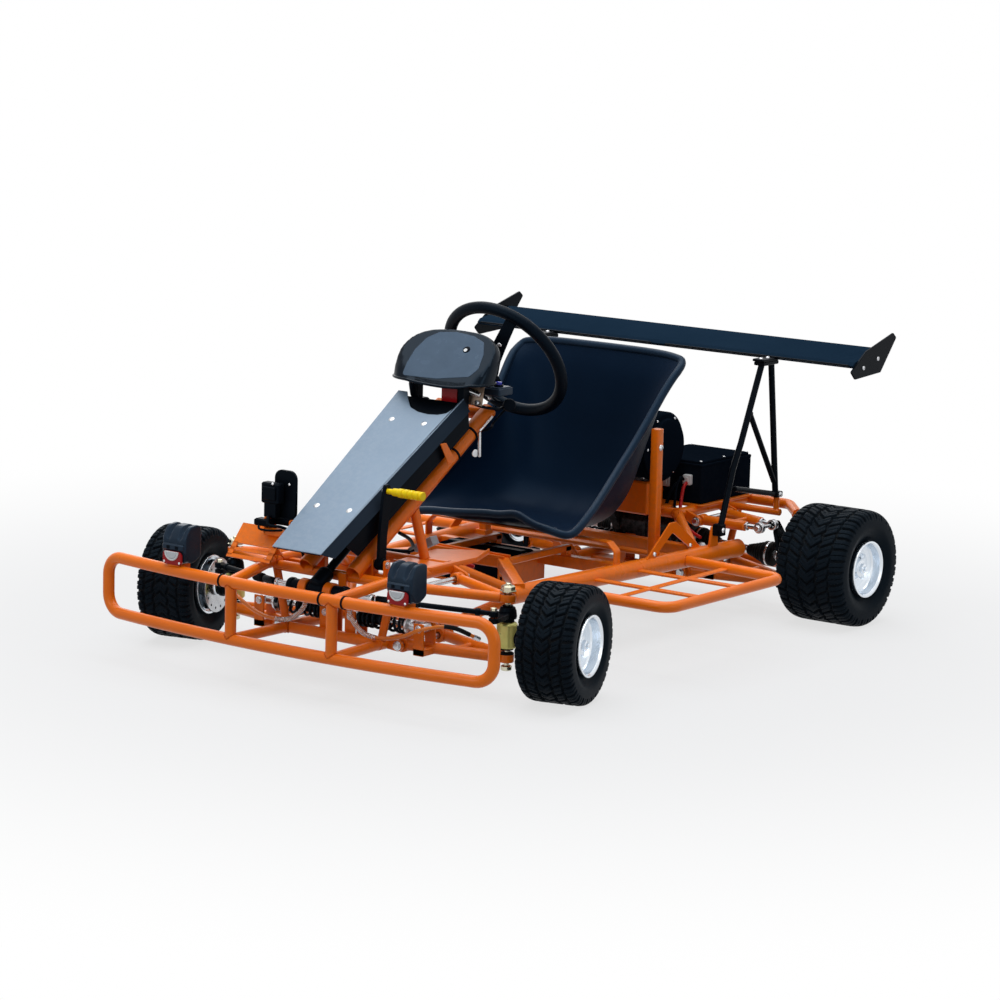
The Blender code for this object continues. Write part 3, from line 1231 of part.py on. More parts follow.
def drive_unit_mesh():
    """Motor on its saddle, chain case, and the gearbox between the half shafts."""
    gearbox_centre = (0.0, WHEELBASE, GEARBOX_Z)
    mx, my, mz = MOTOR_CENTRE
    down = Vector((0.0, WHEELBASE - my, GEARBOX_Z - mz)).normalized()
    square = Vector((0.0, -down.z, down.y)) * 0.030
    corners = [Vector((0.0, my, mz)) + square, Vector((0.0, my, mz)) - square,
               Vector((0.0, WHEELBASE, GEARBOX_Z)) - square, Vector((0.0, WHEELBASE, GEARBOX_Z)) + square]
    case = prism([(c.y, c.z) for c in corners], "x", CHAIN_X - 0.012, CHAIN_X + 0.012)
    gearbox = [(1.088, 0.1055), (1.192, 0.1055), (1.208, 0.130), (1.208, 0.185), (1.180, 0.210), (1.100, 0.210),
               (1.074, 0.185), (1.074, 0.130)]
    return fuse([
        lathe(MOTOR_CENTRE, (1, 0, 0), [(-0.075, 0.083), (0.072, 0.083), (0.072, 0.068), (0.084, 0.068)], 16),
        disc((0.0, my, mz), (1, 0, 0), 0.0330, CHAIN_X - 0.0125, -0.010, 10),
        box((0.020, 0.918, 0.3158), (0.100, 0.982, 0.345)),
        case,
        prism(gearbox, "x", -0.074, 0.074),
        disc(gearbox_centre, (1, 0, 0), 0.0320, -0.102, 0.102, 12)])


def start_button_mesh():
    return fuse([disc(START_BUTTON, (0, 0, 1), 0.0080, -0.0005, 0.0095, 10)])


def build():
    clear_scene()
    kart = empty("kart", (0.0, -MIDDLE_Y, 0.0))
    frame_solid_mesh = frame_mesh()
    node("main_frame", frame_solid_mesh, "orange", kart)
    node("front_bumper", bumper_mesh(), "orange", kart)
    node("seat", seat_mesh(), "seat_plastic", kart)
    node("fairing_panel", fairing_mesh(), "sheet", kart)
    node("instrument_pod", pod_mesh(), "black", kart)
    node("start_button", start_button_mesh(), "blue", kart, START_BUTTON)
    node("wing", wing_mesh(), "black", kart)
    node("battery_box", battery_mesh(), "black", kart)
    node("controller_box", controller_mesh(), "black", kart)
    node("motor", drive_unit_mesh(), "black", kart)
    node("rack_housing", rack_housing_mesh(), "black", kart)
    node("rack_bar", rack_bar_mesh(), "steel", kart, (0.0, RACK_Y, RACK_Z))
    node("steering_shaft", steering_shaft_mesh(), "black", kart, STEERING_CENTRE)
    node("steering_wheel", steering_wheel_mesh(), "black", kart, STEERING_CENTRE)
    node("brake_pedal", brake_pedal_mesh(), "black", kart, BRAKE_PIVOT)
    node("throttle_pedal", throttle_pedal_mesh(), "black", kart, THROTTLE_PIVOT)
    for side in (1, -1):
        name = side_name(side)
        node(f"wing_stay_{name}", stay_mesh(side), "black", kart)
        node(f"headlamp_{name}", lamp_mesh(side), "black", kart)
        build_front_corner(side, name, kart)
        build_rear_corner(side, name, kart)


def build_shock(side, end, name, y, kart):
    pivot = (side * SHOCK_INNER_X, y, SHOCK_Z)
    node(f"{end}_shock_body_{name}", shock_body_mesh(side, y), "black", kart, pivot)
    node(f"{end}_shock_rod_{name}", shock_rod_mesh(side, y), "steel", kart, (side * SHOCK_OUTER_X, y, SHOCK_Z))
    points = spring_points(side, y)
    wire_node(f"{end}_spring_{name}", points, SPRING_WIRE, "black", kart, 1)
    print("spring gap", end, name, round(least_gap(points, SPRING_WIRE, SPRING_POINTS // 2), 4))


def build_front_corner(side, name, kart):
    lower_pivot = (side * LOWER_PIVOT_X, KINGPIN_Y, LOWER_PIVOT_Z)
    upper_pivot = (side * UPPER_PIVOT_X, KINGPIN_Y, UPPER_PIVOT_Z)
    kingpin = (side * KINGPIN_X, KINGPIN_Y, LOWER_BALL_Z)
    node(f"front_lower_arm_{name}", lower_arm_front(side), "orange", kart, lower_pivot)
    node(f"front_upper_arm_{name}", upper_arm_front(side), "orange", kart, upper_pivot)
    node(f"kingpin_{name}", kingpin_mesh(side), "zinc", kart, kingpin)
    steered = empty(f"steered_{name}", (side * KINGPIN_X, KINGPIN_Y, 0.0), kart, STEER_ANGLE)
    wheel = (side * WHEEL_OFFSET, WHEEL_TRAIL, FRONT_TYRE_RADIUS)
    node(f"knuckle_{name}", knuckle_mesh(side), "zinc", steered, (0.0, 0.0, FRONT_TYRE_RADIUS))
    node(f"front_rim_{name}", front_rim_mesh(side), "alloy", steered, wheel)
    node(f"front_tyre_{name}", tyre_mesh(wheel, FRONT_TYRE_RADIUS, FRONT_TYRE_WIDTH), "rubber", steered, wheel)
    inner, _ = tie_rod_points(side)
    node(f"tie_rod_{name}", tie_rod_mesh(side), "steel", kart, tuple(inner))
    build_shock(side, "front", name, FRONT_SHOCK_Y, kart)
    route = [(side * x, y, z) for x, y, z in BRAKE_HOSE_ROUTE]
    wire_node(f"brake_hose_{name}", smooth_route(route), BRAKE_HOSE_RADIUS, "hose", kart, 2)


def build_rear_corner(side, name, kart):
    wheel = (side * REAR_WHEEL_X, WHEELBASE, REAR_TYRE_RADIUS)
    node(f"rear_lower_arm_{name}", lower_arm_rear(side), "orange", kart, (side * LOWER_PIVOT_X, WHEELBASE, LOWER_PIVOT_Z))
    node(f"rear_upper_arm_{name}", upper_arm_rear(side), "orange", kart, (side * UPPER_PIVOT_X, WHEELBASE, UPPER_PIVOT_Z))
    node(f"hub_carrier_{name}", carrier_mesh(side), "zinc", kart, (side * CARRIER_X, WHEELBASE, CARRIER_PIN_Z))
    node(f"drive_shaft_{name}", drive_shaft_mesh(side), "black", kart, (side * DRIVE_INNER_X, WHEELBASE, GEARBOX_Z))
    node(f"rear_rim_{name}", rear_rim_mesh(side), "alloy", kart, wheel)
    node(f"rear_tyre_{name}", tyre_mesh(wheel, REAR_TYRE_RADIUS, REAR_TYRE_WIDTH), "rubber", kart, wheel)
    build_shock(side, "rear", name, REAR_SHOCK_Y, kart)


build()
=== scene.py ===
import math
from math import cos, pi, radians, sin

import bpy
import numpy as np
from mathutils import Matrix


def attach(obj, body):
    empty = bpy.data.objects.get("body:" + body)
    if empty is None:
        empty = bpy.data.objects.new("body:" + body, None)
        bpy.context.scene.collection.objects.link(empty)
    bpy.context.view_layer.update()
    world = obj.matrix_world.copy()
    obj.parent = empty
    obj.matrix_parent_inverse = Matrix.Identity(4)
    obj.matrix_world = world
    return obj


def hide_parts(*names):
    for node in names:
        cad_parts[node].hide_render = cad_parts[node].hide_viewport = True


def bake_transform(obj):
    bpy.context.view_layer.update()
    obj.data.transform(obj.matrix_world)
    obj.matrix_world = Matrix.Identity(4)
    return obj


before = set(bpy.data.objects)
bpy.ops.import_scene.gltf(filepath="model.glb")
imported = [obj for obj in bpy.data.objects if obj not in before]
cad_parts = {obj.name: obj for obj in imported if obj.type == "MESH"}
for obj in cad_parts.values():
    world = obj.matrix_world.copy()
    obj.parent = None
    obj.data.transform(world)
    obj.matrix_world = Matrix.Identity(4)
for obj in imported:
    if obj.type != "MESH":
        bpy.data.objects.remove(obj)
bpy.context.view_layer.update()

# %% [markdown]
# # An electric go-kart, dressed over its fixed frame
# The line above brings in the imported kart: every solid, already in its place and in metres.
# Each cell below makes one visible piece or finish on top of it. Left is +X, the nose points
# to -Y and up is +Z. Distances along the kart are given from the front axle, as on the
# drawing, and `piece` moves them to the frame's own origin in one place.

MIDDLE_Y = 0.48775
WHEELBASE = 1.14
FRONT_RADIUS, FRONT_WIDTH = 0.129, 0.13
REAR_RADIUS, REAR_WIDTH, REAR_X = 0.139, 0.181, 0.5045
STEER = radians(12.8)
KINGPIN = (0.38, -0.01)
WHEEL_OFFSET, WHEEL_TRAIL = 0.1275, 0.01
SLOPE = radians(32.5)
WHEEL_CENTRE = np.array((0.0, 0.48, 0.641))
COLUMN = np.array((0.0, cos(SLOPE), sin(SLOPE)))
RAIL_Z = 0.17
UPPER_X, UPPER_Z = 0.165, 0.24
LOWER_X, LOWER_Z = 0.13, 0.096
LOWER_PIN, UPPER_PIN = (0.165, 0.095), (0.205, 0.225)
SHOCK_IN, SHOCK_OUT, SHOCK_Z = 0.035, 0.222, 0.14
SIDES = ((1, "left"), (-1, "right"))
X, Y, Z = np.eye(3)

# %% [markdown]
# ## The camera and the studio
# The photograph was taken from the front left with a long lens, a little above the wheels.
# A camera is three square directions and a place: right, up and back fill the columns of its
# matrix. The floor is a real plane that keeps the shadow; seen straight by the camera it is
# mixed with plain white light, more so far from the kart, so the page stays pale without
# brightening the kart.

# %% Camera
CAMERA_PLACE = np.array((4.6796, -5.9488 - MIDDLE_Y, 1.736))
FOCAL_PIXELS, PICTURE_PIXELS, SENSOR_MM = 3523.05, 1000, 36
YAW, PITCH, ROLL = radians(36.08), radians(-10.131), radians(1.497)
forward = np.array((-sin(YAW) * cos(PITCH), cos(YAW) * cos(PITCH), sin(PITCH)))
level = np.array((cos(YAW), sin(YAW), 0.0))
straight_up = np.cross(level, forward)
right = level * cos(ROLL) + straight_up * sin(ROLL)
upward = straight_up * cos(ROLL) - level * sin(ROLL)
camera_data = bpy.data.cameras.new("camera")
camera_data.lens = FOCAL_PIXELS / PICTURE_PIXELS * SENSOR_MM
camera_data.clip_end = 200
camera = bpy.data.objects.new("camera", camera_data)
camera.matrix_world = Matrix([[right[i], upward[i], -forward[i], CAMERA_PLACE[i]] for i in range(3)] + [[0, 0, 0, 1]])
bpy.context.scene.collection.objects.link(camera)
bpy.context.scene.camera = camera
bpy.context.scene.view_settings.view_transform = "Standard"


# %% Studio lights
def area_light(name, place, aim, size, power):
    """A square soft light at a place, turned so that its own -Z looks at the aim."""
    data = bpy.data.lights.new(name, "AREA")
    data.size = size
    data.energy = power
    lamp = bpy.data.objects.new(name, data)
    back = np.subtract(place, aim) / np.linalg.norm(np.subtract(place, aim))
    across = np.cross((0.0, 0.0, 1.0), back) if abs(back[2]) < 0.99 else np.array((1.0, 0.0, 0.0))
    across = across / np.linalg.norm(across)
    rise = np.cross(back, across)
    lamp.matrix_world = Matrix([[across[i], rise[i], back[i], place[i]] for i in range(3)] + [[0, 0, 0, 1]])
    bpy.context.scene.collection.objects.link(lamp)


area_light("sky_panel", (-0.4, 0.2, 4.4), (0.0, 0.1, 0.3), 5.0, 235)
area_light("front_panel", (-0.6, -4.8, 2.4), (0.0, 0.0, 0.3), 2.2, 46)
area_light("rear_panel", (-3.2, 3.0, 2.8), (0.0, 0.0, 0.4), 2.5, 30)
area_light("side_panel", (4.5, -0.5, 1.6), (0.0, 0.0, 0.3), 1.6, 20)


# %% Node helpers
def add(tree, kind, links=None, **settings):
    """A shader node of a kind. Settings are its own options; links gives each input socket
    a plain value or the output of another node."""
    made = tree.nodes.new("ShaderNode" + kind)
    for key, value in settings.items():
        setattr(made, key, value)
    for socket, value in (links or {}).items():
        if isinstance(value, bpy.types.NodeSocket):
            tree.links.new(value, made.inputs[socket])
        else:
            made.inputs[socket].default_value = value
    return made


def new_material(name):
    """An empty procedural material and its node tree."""
    made = bpy.data.materials.new(name)
    made.use_nodes = True
    made.node_tree.nodes.clear()
    return made, made.node_tree


# %% World: white to the eye, a dim cool room to the kart
def seen_by_eye(tree):
    """1 for a ray from the camera and for what metal or glass sends on, 0 for the soft light."""
    rays = add(tree, "LightPath").outputs
    total = rays["Is Camera Ray"]
    for name in ("Is Glossy Ray", "Is Transmission Ray"):
        total = add(tree, "Math", {0: total, 1: rays[name]}, use_clamp=True).outputs[0]
    return total


world = bpy.data.worlds.new("studio")
bpy.context.scene.world = world
world.use_nodes = True
sky = world.node_tree
sky.nodes.clear()
room = add(sky, "Background", {"Color": (0.8, 0.86, 0.95, 1), "Strength": 0.24})
page = add(sky, "Background", {"Color": (1, 1, 1, 1)})
pick = add(sky, "MixShader", {0: seen_by_eye(sky), 1: room.outputs[0], 2: page.outputs[0]})
add(sky, "OutputWorld", {0: pick.outputs[0]})

# %% Floor: keeps the shadow, and turns to plain white away from the kart
floor_mesh = bpy.data.meshes.new("floor")
floor_mesh.from_pydata([(-40, -40, 0), (40, -40, 0), (40, 40, 0), (-40, 40, 0)], [], [(0, 1, 2, 3)])
floor = bpy.data.objects.new("floor", floor_mesh)
bpy.context.scene.collection.objects.link(floor)
floor_paint, tree = new_material("floor_paint")
matt = add(tree, "BsdfDiffuse", {"Color": (0.42, 0.43, 0.45, 1)})
lit = add(tree, "Emission", {"Strength": 1.0})
reach = add(tree, "VectorMath", {0: add(tree, "TexCoord").outputs["Object"]}, operation="LENGTH")
whiter = add(tree, "MapRange", {"Value": reach.outputs["Value"], "From Min": 0.6, "From Max": 2.6, "To Min": 0.7},
             interpolation_type="SMOOTHSTEP")
share = add(tree, "Math", {0: seen_by_eye(tree), 1: whiter.outputs["Result"]}, operation="MULTIPLY")
mix = add(tree, "MixShader", {0: share.outputs[0], 1: matt.outputs[0], 2: lit.outputs[0]})
add(tree, "OutputMaterial", {0: mix.outputs[0]})
floor_mesh.materials.append(floor_paint)

# %% [markdown]
# ## Surfaces from numbers
# Every new piece is a grid of points. A `Form` keeps the points, the four-sided faces over
# the grid and the faces that close its ends. One helper turns a grid into faces, and the
# others fill the grid: a section carried along a route, a profile turned round an axis, or
# a flat outline given thickness with softened edges. Whole arrays are worked out at once.


# %% The form and the grid
class Form:
    """Points (n, 3), four-sided faces (k, 4), end faces and a vector kept at each point."""

    def __init__(self, points, quads, caps=(), lay=None):
        self.points = points
        self.quads = quads
        self.caps = [np.asarray(c) for c in caps]
        self.lay = np.zeros_like(points) if lay is None else lay

    def volume(self):
        """Six times the signed volume: the sum of a . (b x c) over fans of each face."""
        total = 0.0
        p = self.points
        for a, b, c in ((0, 1, 2), (0, 2, 3)):
            q = self.quads
            total += np.einsum("ij,ij->", p[q[:, a]], np.cross(p[q[:, b]], p[q[:, c]]))
        for cap in self.caps:
            total += np.einsum("j,ij->", p[cap[0]], np.cross(p[cap[1:-1]], p[cap[2:]]))
        return total

    def outward(self):
        """Turns every face round if the surface points inwards."""
        if self.volume() < 0:
            self.quads = self.quads[:, ::-1]
            self.caps = [c[::-1] for c in self.caps]
        return self


def grid(points, loop=False):
    """Faces over rows and columns of points. Face (i, j) joins neighbours (i, j), (i, j+1),
    (i+1, j+1), (i+1, j). The last column joins the first; `loop` joins the rows the same way,
    and without it an end face closes the first and the last row."""
    rows, cols = points.shape[:2]
    i = np.arange(rows if loop else rows - 1)[:, None]
    j = np.arange(cols)[None, :]
    ni, nj = (i + 1) % rows, (j + 1) % cols
    corners = (i * cols + j, i * cols + nj, ni * cols + nj, ni * cols + j)
    quads = np.stack(np.broadcast_arrays(*corners), -1).reshape(-1, 4)
    ends = [] if loop else [np.arange(cols)[::-1], (rows - 1) * cols + np.arange(cols)]
    return Form(points.reshape(-1, 3).astype(float), quads, ends).outward()


def moved(form, matrix):
    """The form after a 4x4 matrix; faces turn round when the matrix mirrors."""
    m = np.array(matrix, float)
    quads, caps = form.quads, form.caps
    if np.linalg.det(m[:3, :3]) < 0:
        quads, caps = quads[:, ::-1], [c[::-1] for c in caps]
    return Form(form.points @ m[:3, :3].T + m[:3, 3], quads, caps, form.lay)


MIRROR = np.diag((-1.0, 1.0, 1.0, 1.0))


def sided(forms, side):
    """The forms as given for the left, or their mirror images for the right."""
    return list(forms) if side > 0 else [moved(f, MIRROR) for f in forms]


def both(forms):
    """The forms and their mirror images across the kart's middle."""
    return list(forms) + sided(forms, -1)


# %% Routes: rounded corners and smooth curves
def unit(v):
    """A vector, or each row of an array, divided by its own length."""
    v = np.asarray(v, float)
    return v / np.linalg.norm(v, axis=-1, keepdims=True)


def bent(route, radius, steps=8, loop=False):
    """A route with each corner drawn as an arc: its centre lies radius / sin(half angle)
    from the corner, and points go round it by turning the first spoke towards the last."""
    route = np.asarray(route, float)
    count = len(route)
    out = [] if loop else [route[:1]]
    for i in range(count) if loop else range(1, count - 1):
        corner = route[i]
        a, b = unit(route[i - 1] - corner), unit(route[(i + 1) % count] - corner)
        half = math.acos(np.clip(a @ b, -1, 1)) / 2
        if half > pi / 2 - 0.02:
            out.append(corner[None])
            continue
        reach = radius / math.tan(half)
        middle = corner + unit(a + b) * radius / sin(half)
        first, last = corner + a * reach - middle, corner + b * reach - middle
        whole = pi - 2 * half
        share = np.linspace(0, 1, steps + 1)[:, None]
        out.append(middle + (np.sin((1 - share) * whole) * first + np.sin(share * whole) * last) / sin(whole))
    if not loop:
        out.append(route[-1:])
    return np.vstack(out)


def smooth(route, count=60):
    """A curve through the given points, at even shares of its length: on each span the cubic
    0.5 * (2b + (c-a)t + (2a-5b+4c-d)t^2 + (3b-a-3c+d)t^3) of four neighbours."""
    p = np.asarray(route, float)
    p = np.vstack([2 * p[0] - p[1], p, 2 * p[-1] - p[-2]])
    t = np.linspace(0, 1, 24, endpoint=False)[None, :, None]
    a, b, c, d = (p[k:len(p) - 3 + k, None, :] for k in range(4))
    fine = 0.5 * (2 * b + (c - a) * t + (2 * a - 5 * b + 4 * c - d) * t ** 2 + (3 * b - a - 3 * c + d) * t ** 3)
    fine = np.vstack([fine.reshape(-1, p.shape[1]), p[-2:-1]])
    along = np.concatenate([[0], np.cumsum(np.linalg.norm(np.diff(fine, axis=0), axis=1))])
    even = np.linspace(0, along[-1], count)
    return np.stack([np.interp(even, along, fine[:, k]) for k in range(p.shape[1])], 1)


def dense(route, step=0.02):
    """The same straight-sided route with extra points, none further apart than the step."""
    route = np.asarray(route, float)
    along = np.concatenate([[0], np.cumsum(np.linalg.norm(np.diff(route, axis=0), axis=1))])
    marks = np.unique(np.concatenate([along, np.arange(0, along[-1], step)]))
    marks = marks[np.concatenate([[True], np.diff(marks) > 1e-5])]
    return np.stack([np.interp(marks, along, route[:, k]) for k in range(route.shape[1])], 1)


def square_pair(along):
    """Two unit vectors square to a direction; the first stays level where it can."""
    along = unit(along)
    up = np.array((0.0, 0.0, 1.0)) if abs(along[2]) < 0.95 else np.array((0.0, 1.0, 0.0))
    across = unit(np.cross(along, up))
    return across, np.cross(across, along)


# %% Sections carried along routes
def circle(radius, sides=20):
    """Corners of a round section in its own plane."""
    a = 2 * np.pi * np.arange(sides) / sides
    return np.stack([np.cos(a), np.sin(a)], 1) * radius


def carried_pairs(route, loop=False):
    """Tangent, side and rise at each sample. The side is the last one with its part along
    the new tangent taken out; on a loop the twist left over is shared out evenly."""
    ahead, behind = np.roll(route, -1, 0), np.roll(route, 1, 0)
    if not loop:
        ahead[-1], behind[0] = route[-1], route[0]
    tangent = unit(ahead - behind)
    side = np.empty_like(tangent)
    side[0] = square_pair(tangent[0])[0]
    for k in range(1, len(route)):
        side[k] = unit(side[k - 1] - tangent[k] * (side[k - 1] @ tangent[k]))
    rise = np.cross(tangent, side)
    if loop:
        back = unit(side[-1] - tangent[0] * (side[-1] @ tangent[0]))
        twist = math.atan2(back @ rise[0], back @ side[0])
        turn = (-twist * np.arange(len(route)) / len(route))[:, None]
        side, rise = side * np.cos(turn) + rise * np.sin(turn), rise * np.cos(turn) - side * np.sin(turn)
    return tangent, side, rise


def sweep(route, section, loop=False, scale=None):
    """A section of (side, rise) corners carried along a route: point (i, j) is
    route[i] + scale[i] * (section[j, 0] * side[i] + section[j, 1] * rise[i])."""
    route = np.asarray(route, float)
    _, side, rise = carried_pairs(route, loop)
    size = np.ones(len(route)) if scale is None else np.asarray(scale, float)
    section = np.asarray(section, float)
    offsets = section[None, :, :1] * side[:, None] + section[None, :, 1:] * rise[:, None]
    return grid(route[:, None] + size[:, None, None] * offsets, loop)


def tube(route, radius, bend=0.0, sides=20):
    """A round tube along a route whose corners are bent."""
    return sweep(bent(route, bend) if bend else route, circle(radius, sides))


def lathe(centre, axis, profile, sides=48):
    """A profile of (distance, radius) turned round an axis: point (i, j) is
    centre + distance[i] * axis + radius[i] * (cos a[j] * across + sin a[j] * rise)."""
    along = unit(axis)
    across, rise = square_pair(along)
    a = 2 * np.pi * (np.arange(sides) + 0.5) / sides
    ring = np.cos(a)[:, None] * across + np.sin(a)[:, None] * rise
    d, r = np.asarray(profile, float).T
    points = np.asarray(centre, float) + d[:, None, None] * along + r[:, None, None] * ring[None]
    return grid(points)


def softened(profile, radius=0.001, steps=3):
    """A turned profile with its corners rounded, ends kept."""
    flat = np.column_stack([np.asarray(profile, float), np.zeros(len(profile))])
    lengths = np.linalg.norm(np.diff(flat, axis=0), axis=1)
    return bent(flat, min(radius, 0.3 * lengths.min()), steps)[:, :2]


def turned(centre, axis, profile, soft, sides):
    """A profile turned round an axis, its corners rounded first."""
    return lathe(centre, axis, softened(profile, soft), sides)


# %% Plates and blocks
def rounded(outline, radius, steps=5):
    """A flat closed outline with round corners."""
    flat = np.column_stack([np.asarray(outline, float), np.zeros(len(outline))])
    return bent(flat, radius, steps, loop=True)[:, :2]


def inset(outline, depth):
    """Each corner moved inwards along (n1 + n2) / (1 + n1 . n2), so every side moves by depth."""
    ahead = unit(np.roll(outline, -1, 0) - outline)
    normal = np.stack([-ahead[:, 1], ahead[:, 0]], 1)
    before = np.roll(normal, 1, 0)
    share = 1 + np.einsum("ij,ij->i", normal, before)
    return outline + depth * (normal + before) / np.maximum(share, 0.2)[:, None]


def leftwards(outline):
    """The outline with its inside on the left: reversed if it runs clockwise."""
    outline = np.asarray(outline, float)
    x, y = outline.T
    return outline[::-1] if np.sum(x * np.roll(y, -1) - np.roll(x, -1) * y) < 0 else outline


LIFT = {"x": (1, 2, 0), "y": (0, 2, 1), "z": (0, 1, 2)}


def plate(outline, axis, low, high, edge=0.0008, place=None):
    """A flat outline drawn in the two other directions, thickened along an axis from low to
    high, with its edges cut back by a small bevel."""
    outline = leftwards(outline)
    small = inset(outline, edge)
    levels = (low, low + edge, high - edge, high)
    rings = (small, outline, outline, small)
    points = np.zeros((4, len(outline), 3))
    for row, (shape, height) in enumerate(zip(rings, levels)):
        points[row][:, LIFT[axis][0]] = shape[:, 0]
        points[row][:, LIFT[axis][1]] = shape[:, 1]
        points[row][:, LIFT[axis][2]] = height
    form = grid(points)
    return form if place is None else moved(form, place)


def block(low, high, edge=0.0015, corner=0.0):
    """A box between two corners with softened edges; corner rounds it seen from above."""
    (x0, y0, z0), (x1, y1, z1) = low, high
    outline = [(x0, y0), (x1, y0), (x1, y1), (x0, y1)]
    if corner:
        outline = rounded(outline, corner)
    return plate(outline, "z", z0, z1, edge)


# %% Fastenings and welds
def hex_bolt(centre, axis, radius=0.006, height=0.005):
    """A six-sided head with a chamfered crown on a thin washer."""
    head = [(0.0012, radius), (height - 0.0008, radius), (height, radius * 0.86)]
    washer = [(0, radius * 1.25), (0.0009, radius * 1.25), (0.0012, radius * 1.2)]
    return [lathe(centre, axis, head, 6), lathe(centre, axis, washer, 24)]


def dome_bolt(centre, axis, radius=0.006, height=0.004):
    """A button head: radius * cos t at height * sin t, with a small socket in its top."""
    t = np.linspace(0, 1.25, 7)
    dome = np.column_stack([height * np.sin(t), radius * np.cos(t)])
    socket = [(height * 0.95, radius * 0.3), (height * 0.45, radius * 0.28)]
    return [lathe(centre, axis, np.vstack([[(-0.0005, radius)], dome, socket]), 24)]


def weld(end, direction, radius, main_point, main_axis, main_radius, bead=0.0021):
    """A bead where a small tube meets a larger one: each point of the small tube's ring runs
    along its direction until it is main_radius from the main tube's axis."""
    d, a = unit(direction), unit(main_axis)
    u, v = square_pair(d)
    angle = np.linspace(0, 2 * np.pi, 60, endpoint=False)[:, None]
    ring = np.asarray(end, float) + radius * (np.cos(angle) * u + np.sin(angle) * v)
    w = ring - np.asarray(main_point, float)
    w = w - (w @ a)[:, None] * a
    flat = d - (d @ a) * a
    A, B, C = flat @ flat, 2 * w @ flat, np.einsum("ij,ij->i", w, w) - main_radius ** 2
    t = (-B + np.sqrt(np.maximum(B * B - 4 * A * C, 0))) / (2 * A)
    path = ring + t[:, None] * d
    return sweep(path, circle(bead, 8), loop=True, scale=1 + 0.22 * np.sin(angle[:, 0] * 15))


# %% [markdown]
# ## From forms to a piece
# A piece is one mesh object with one or more finishes. Its object stays at the origin and its
# place is in its points, as a solid of the frame has it, so patterns on object coordinates
# stay put when the body moves.


# %% Piece
def piece(name, layers, body="chassis", node=None, angle=32, side=1):
    """Joins the forms of all layers of (forms, finish) into one mesh that rides on a body.
    With side -1 the forms, drawn for the left, are mirrored to the right."""
    points, faces, marks, finishes, lays, base = [], [], [], [], [], 0
    for forms, finish in layers:
        if finish not in finishes:
            finishes.append(finish)
        for form in sided(forms, side):
            points.append(form.points)
            lays.append(form.lay)
            faces += (form.quads + base).tolist() + [(c + base).tolist() for c in form.caps]
            marks += [finishes.index(finish)] * (len(form.quads) + len(form.caps))
            base += len(form.points)
    mesh = bpy.data.meshes.new(name)
    mesh.from_pydata((np.vstack(points) - (0, MIDDLE_Y, 0)).tolist(), [], faces)
    mesh.polygons.foreach_set("material_index", np.array(marks, np.int32))
    mesh.attributes.new("lay", "FLOAT_VECTOR", "POINT").data.foreach_set("vector", np.vstack(lays).ravel())
    for finish in finishes:
        mesh.materials.append(finish)
    mesh.shade_smooth()
    mesh.set_sharp_from_angle(angle=radians(angle))
    obj = bpy.data.objects.new(name, mesh)
    bpy.context.scene.collection.objects.link(obj)
    if body:
        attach(obj, body)
    if node:
        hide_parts(node)
    return obj

# %% [markdown]
# ## Effects that several finishes share
# Real surfaces are never one number. Powder coat has a faint orange peel, edges rub pale,
# dust settles on what faces up, and a turned rim keeps the rings of its tool. Each effect is
# a node group, built once, that gives out a mask or a height; each finish sets its strength.


# %% Node groups
def new_group(name, inputs, outputs):
    """An empty node group with named sockets; returns its tree, its inputs and its end."""
    tree = bpy.data.node_groups.new(name, "ShaderNodeTree")
    for label, kind, value in inputs:
        made = tree.interface.new_socket(label, in_out="INPUT", socket_type=kind)
        if value is not None:
            made.default_value = value
    for label, kind in outputs:
        tree.interface.new_socket(label, in_out="OUTPUT", socket_type=kind)
    return tree, tree.nodes.new("NodeGroupInput").outputs, tree.nodes.new("NodeGroupOutput").inputs


VECTOR, FLOAT = "NodeSocketVector", "NodeSocketFloat"

# %% Grain: fine and broad unevenness of a coat, a casting or a moulding
grain_group, given, result = new_group(
    "grain", (("Vector", VECTOR, None), ("Scale", FLOAT, 400.0), ("Broad scale", FLOAT, 9.0)),
    (("Height", FLOAT), ("Shade", FLOAT)))
fine = add(grain_group, "TexNoise", {"Vector": given["Vector"], "Scale": given["Scale"], "Detail": 3.0,
                                     "Roughness": 0.55})
broad = add(grain_group, "TexNoise",
            {"Vector": given["Vector"], "Scale": given["Broad scale"], "Detail": 4.0, "Roughness": 0.6})
spread = add(grain_group, "MapRange", {"Value": broad.outputs["Fac"], "From Min": 0.3, "From Max": 0.7})
grain_group.links.new(fine.outputs["Fac"], result["Height"])
grain_group.links.new(spread.outputs["Result"], result["Shade"])

# %% Edge wear: rubbed outward corners, broken up by noise
wear_group, given, result = new_group(
    "edge_wear", (("Vector", VECTOR, None), ("Amount", FLOAT, 0.5)), (("Mask", FLOAT),))
corner = add(wear_group, "NewGeometry")
sharp = add(wear_group, "MapRange", {"Value": corner.outputs["Pointiness"], "From Min": 0.52, "From Max": 0.6})
spots = add(wear_group, "TexNoise", {"Vector": given["Vector"], "Scale": 85.0, "Detail": 5.0, "Roughness": 0.7})
broken = add(wear_group, "MapRange", {"Value": spots.outputs["Fac"], "From Min": 0.42, "From Max": 0.62})
worn = add(wear_group, "Math", {0: sharp.outputs["Result"], 1: broken.outputs["Result"]}, operation="MULTIPLY")
scaled = add(wear_group, "Math", {0: worn.outputs[0], 1: given["Amount"]}, operation="MULTIPLY", use_clamp=True)
wear_group.links.new(scaled.outputs[0], result["Mask"])

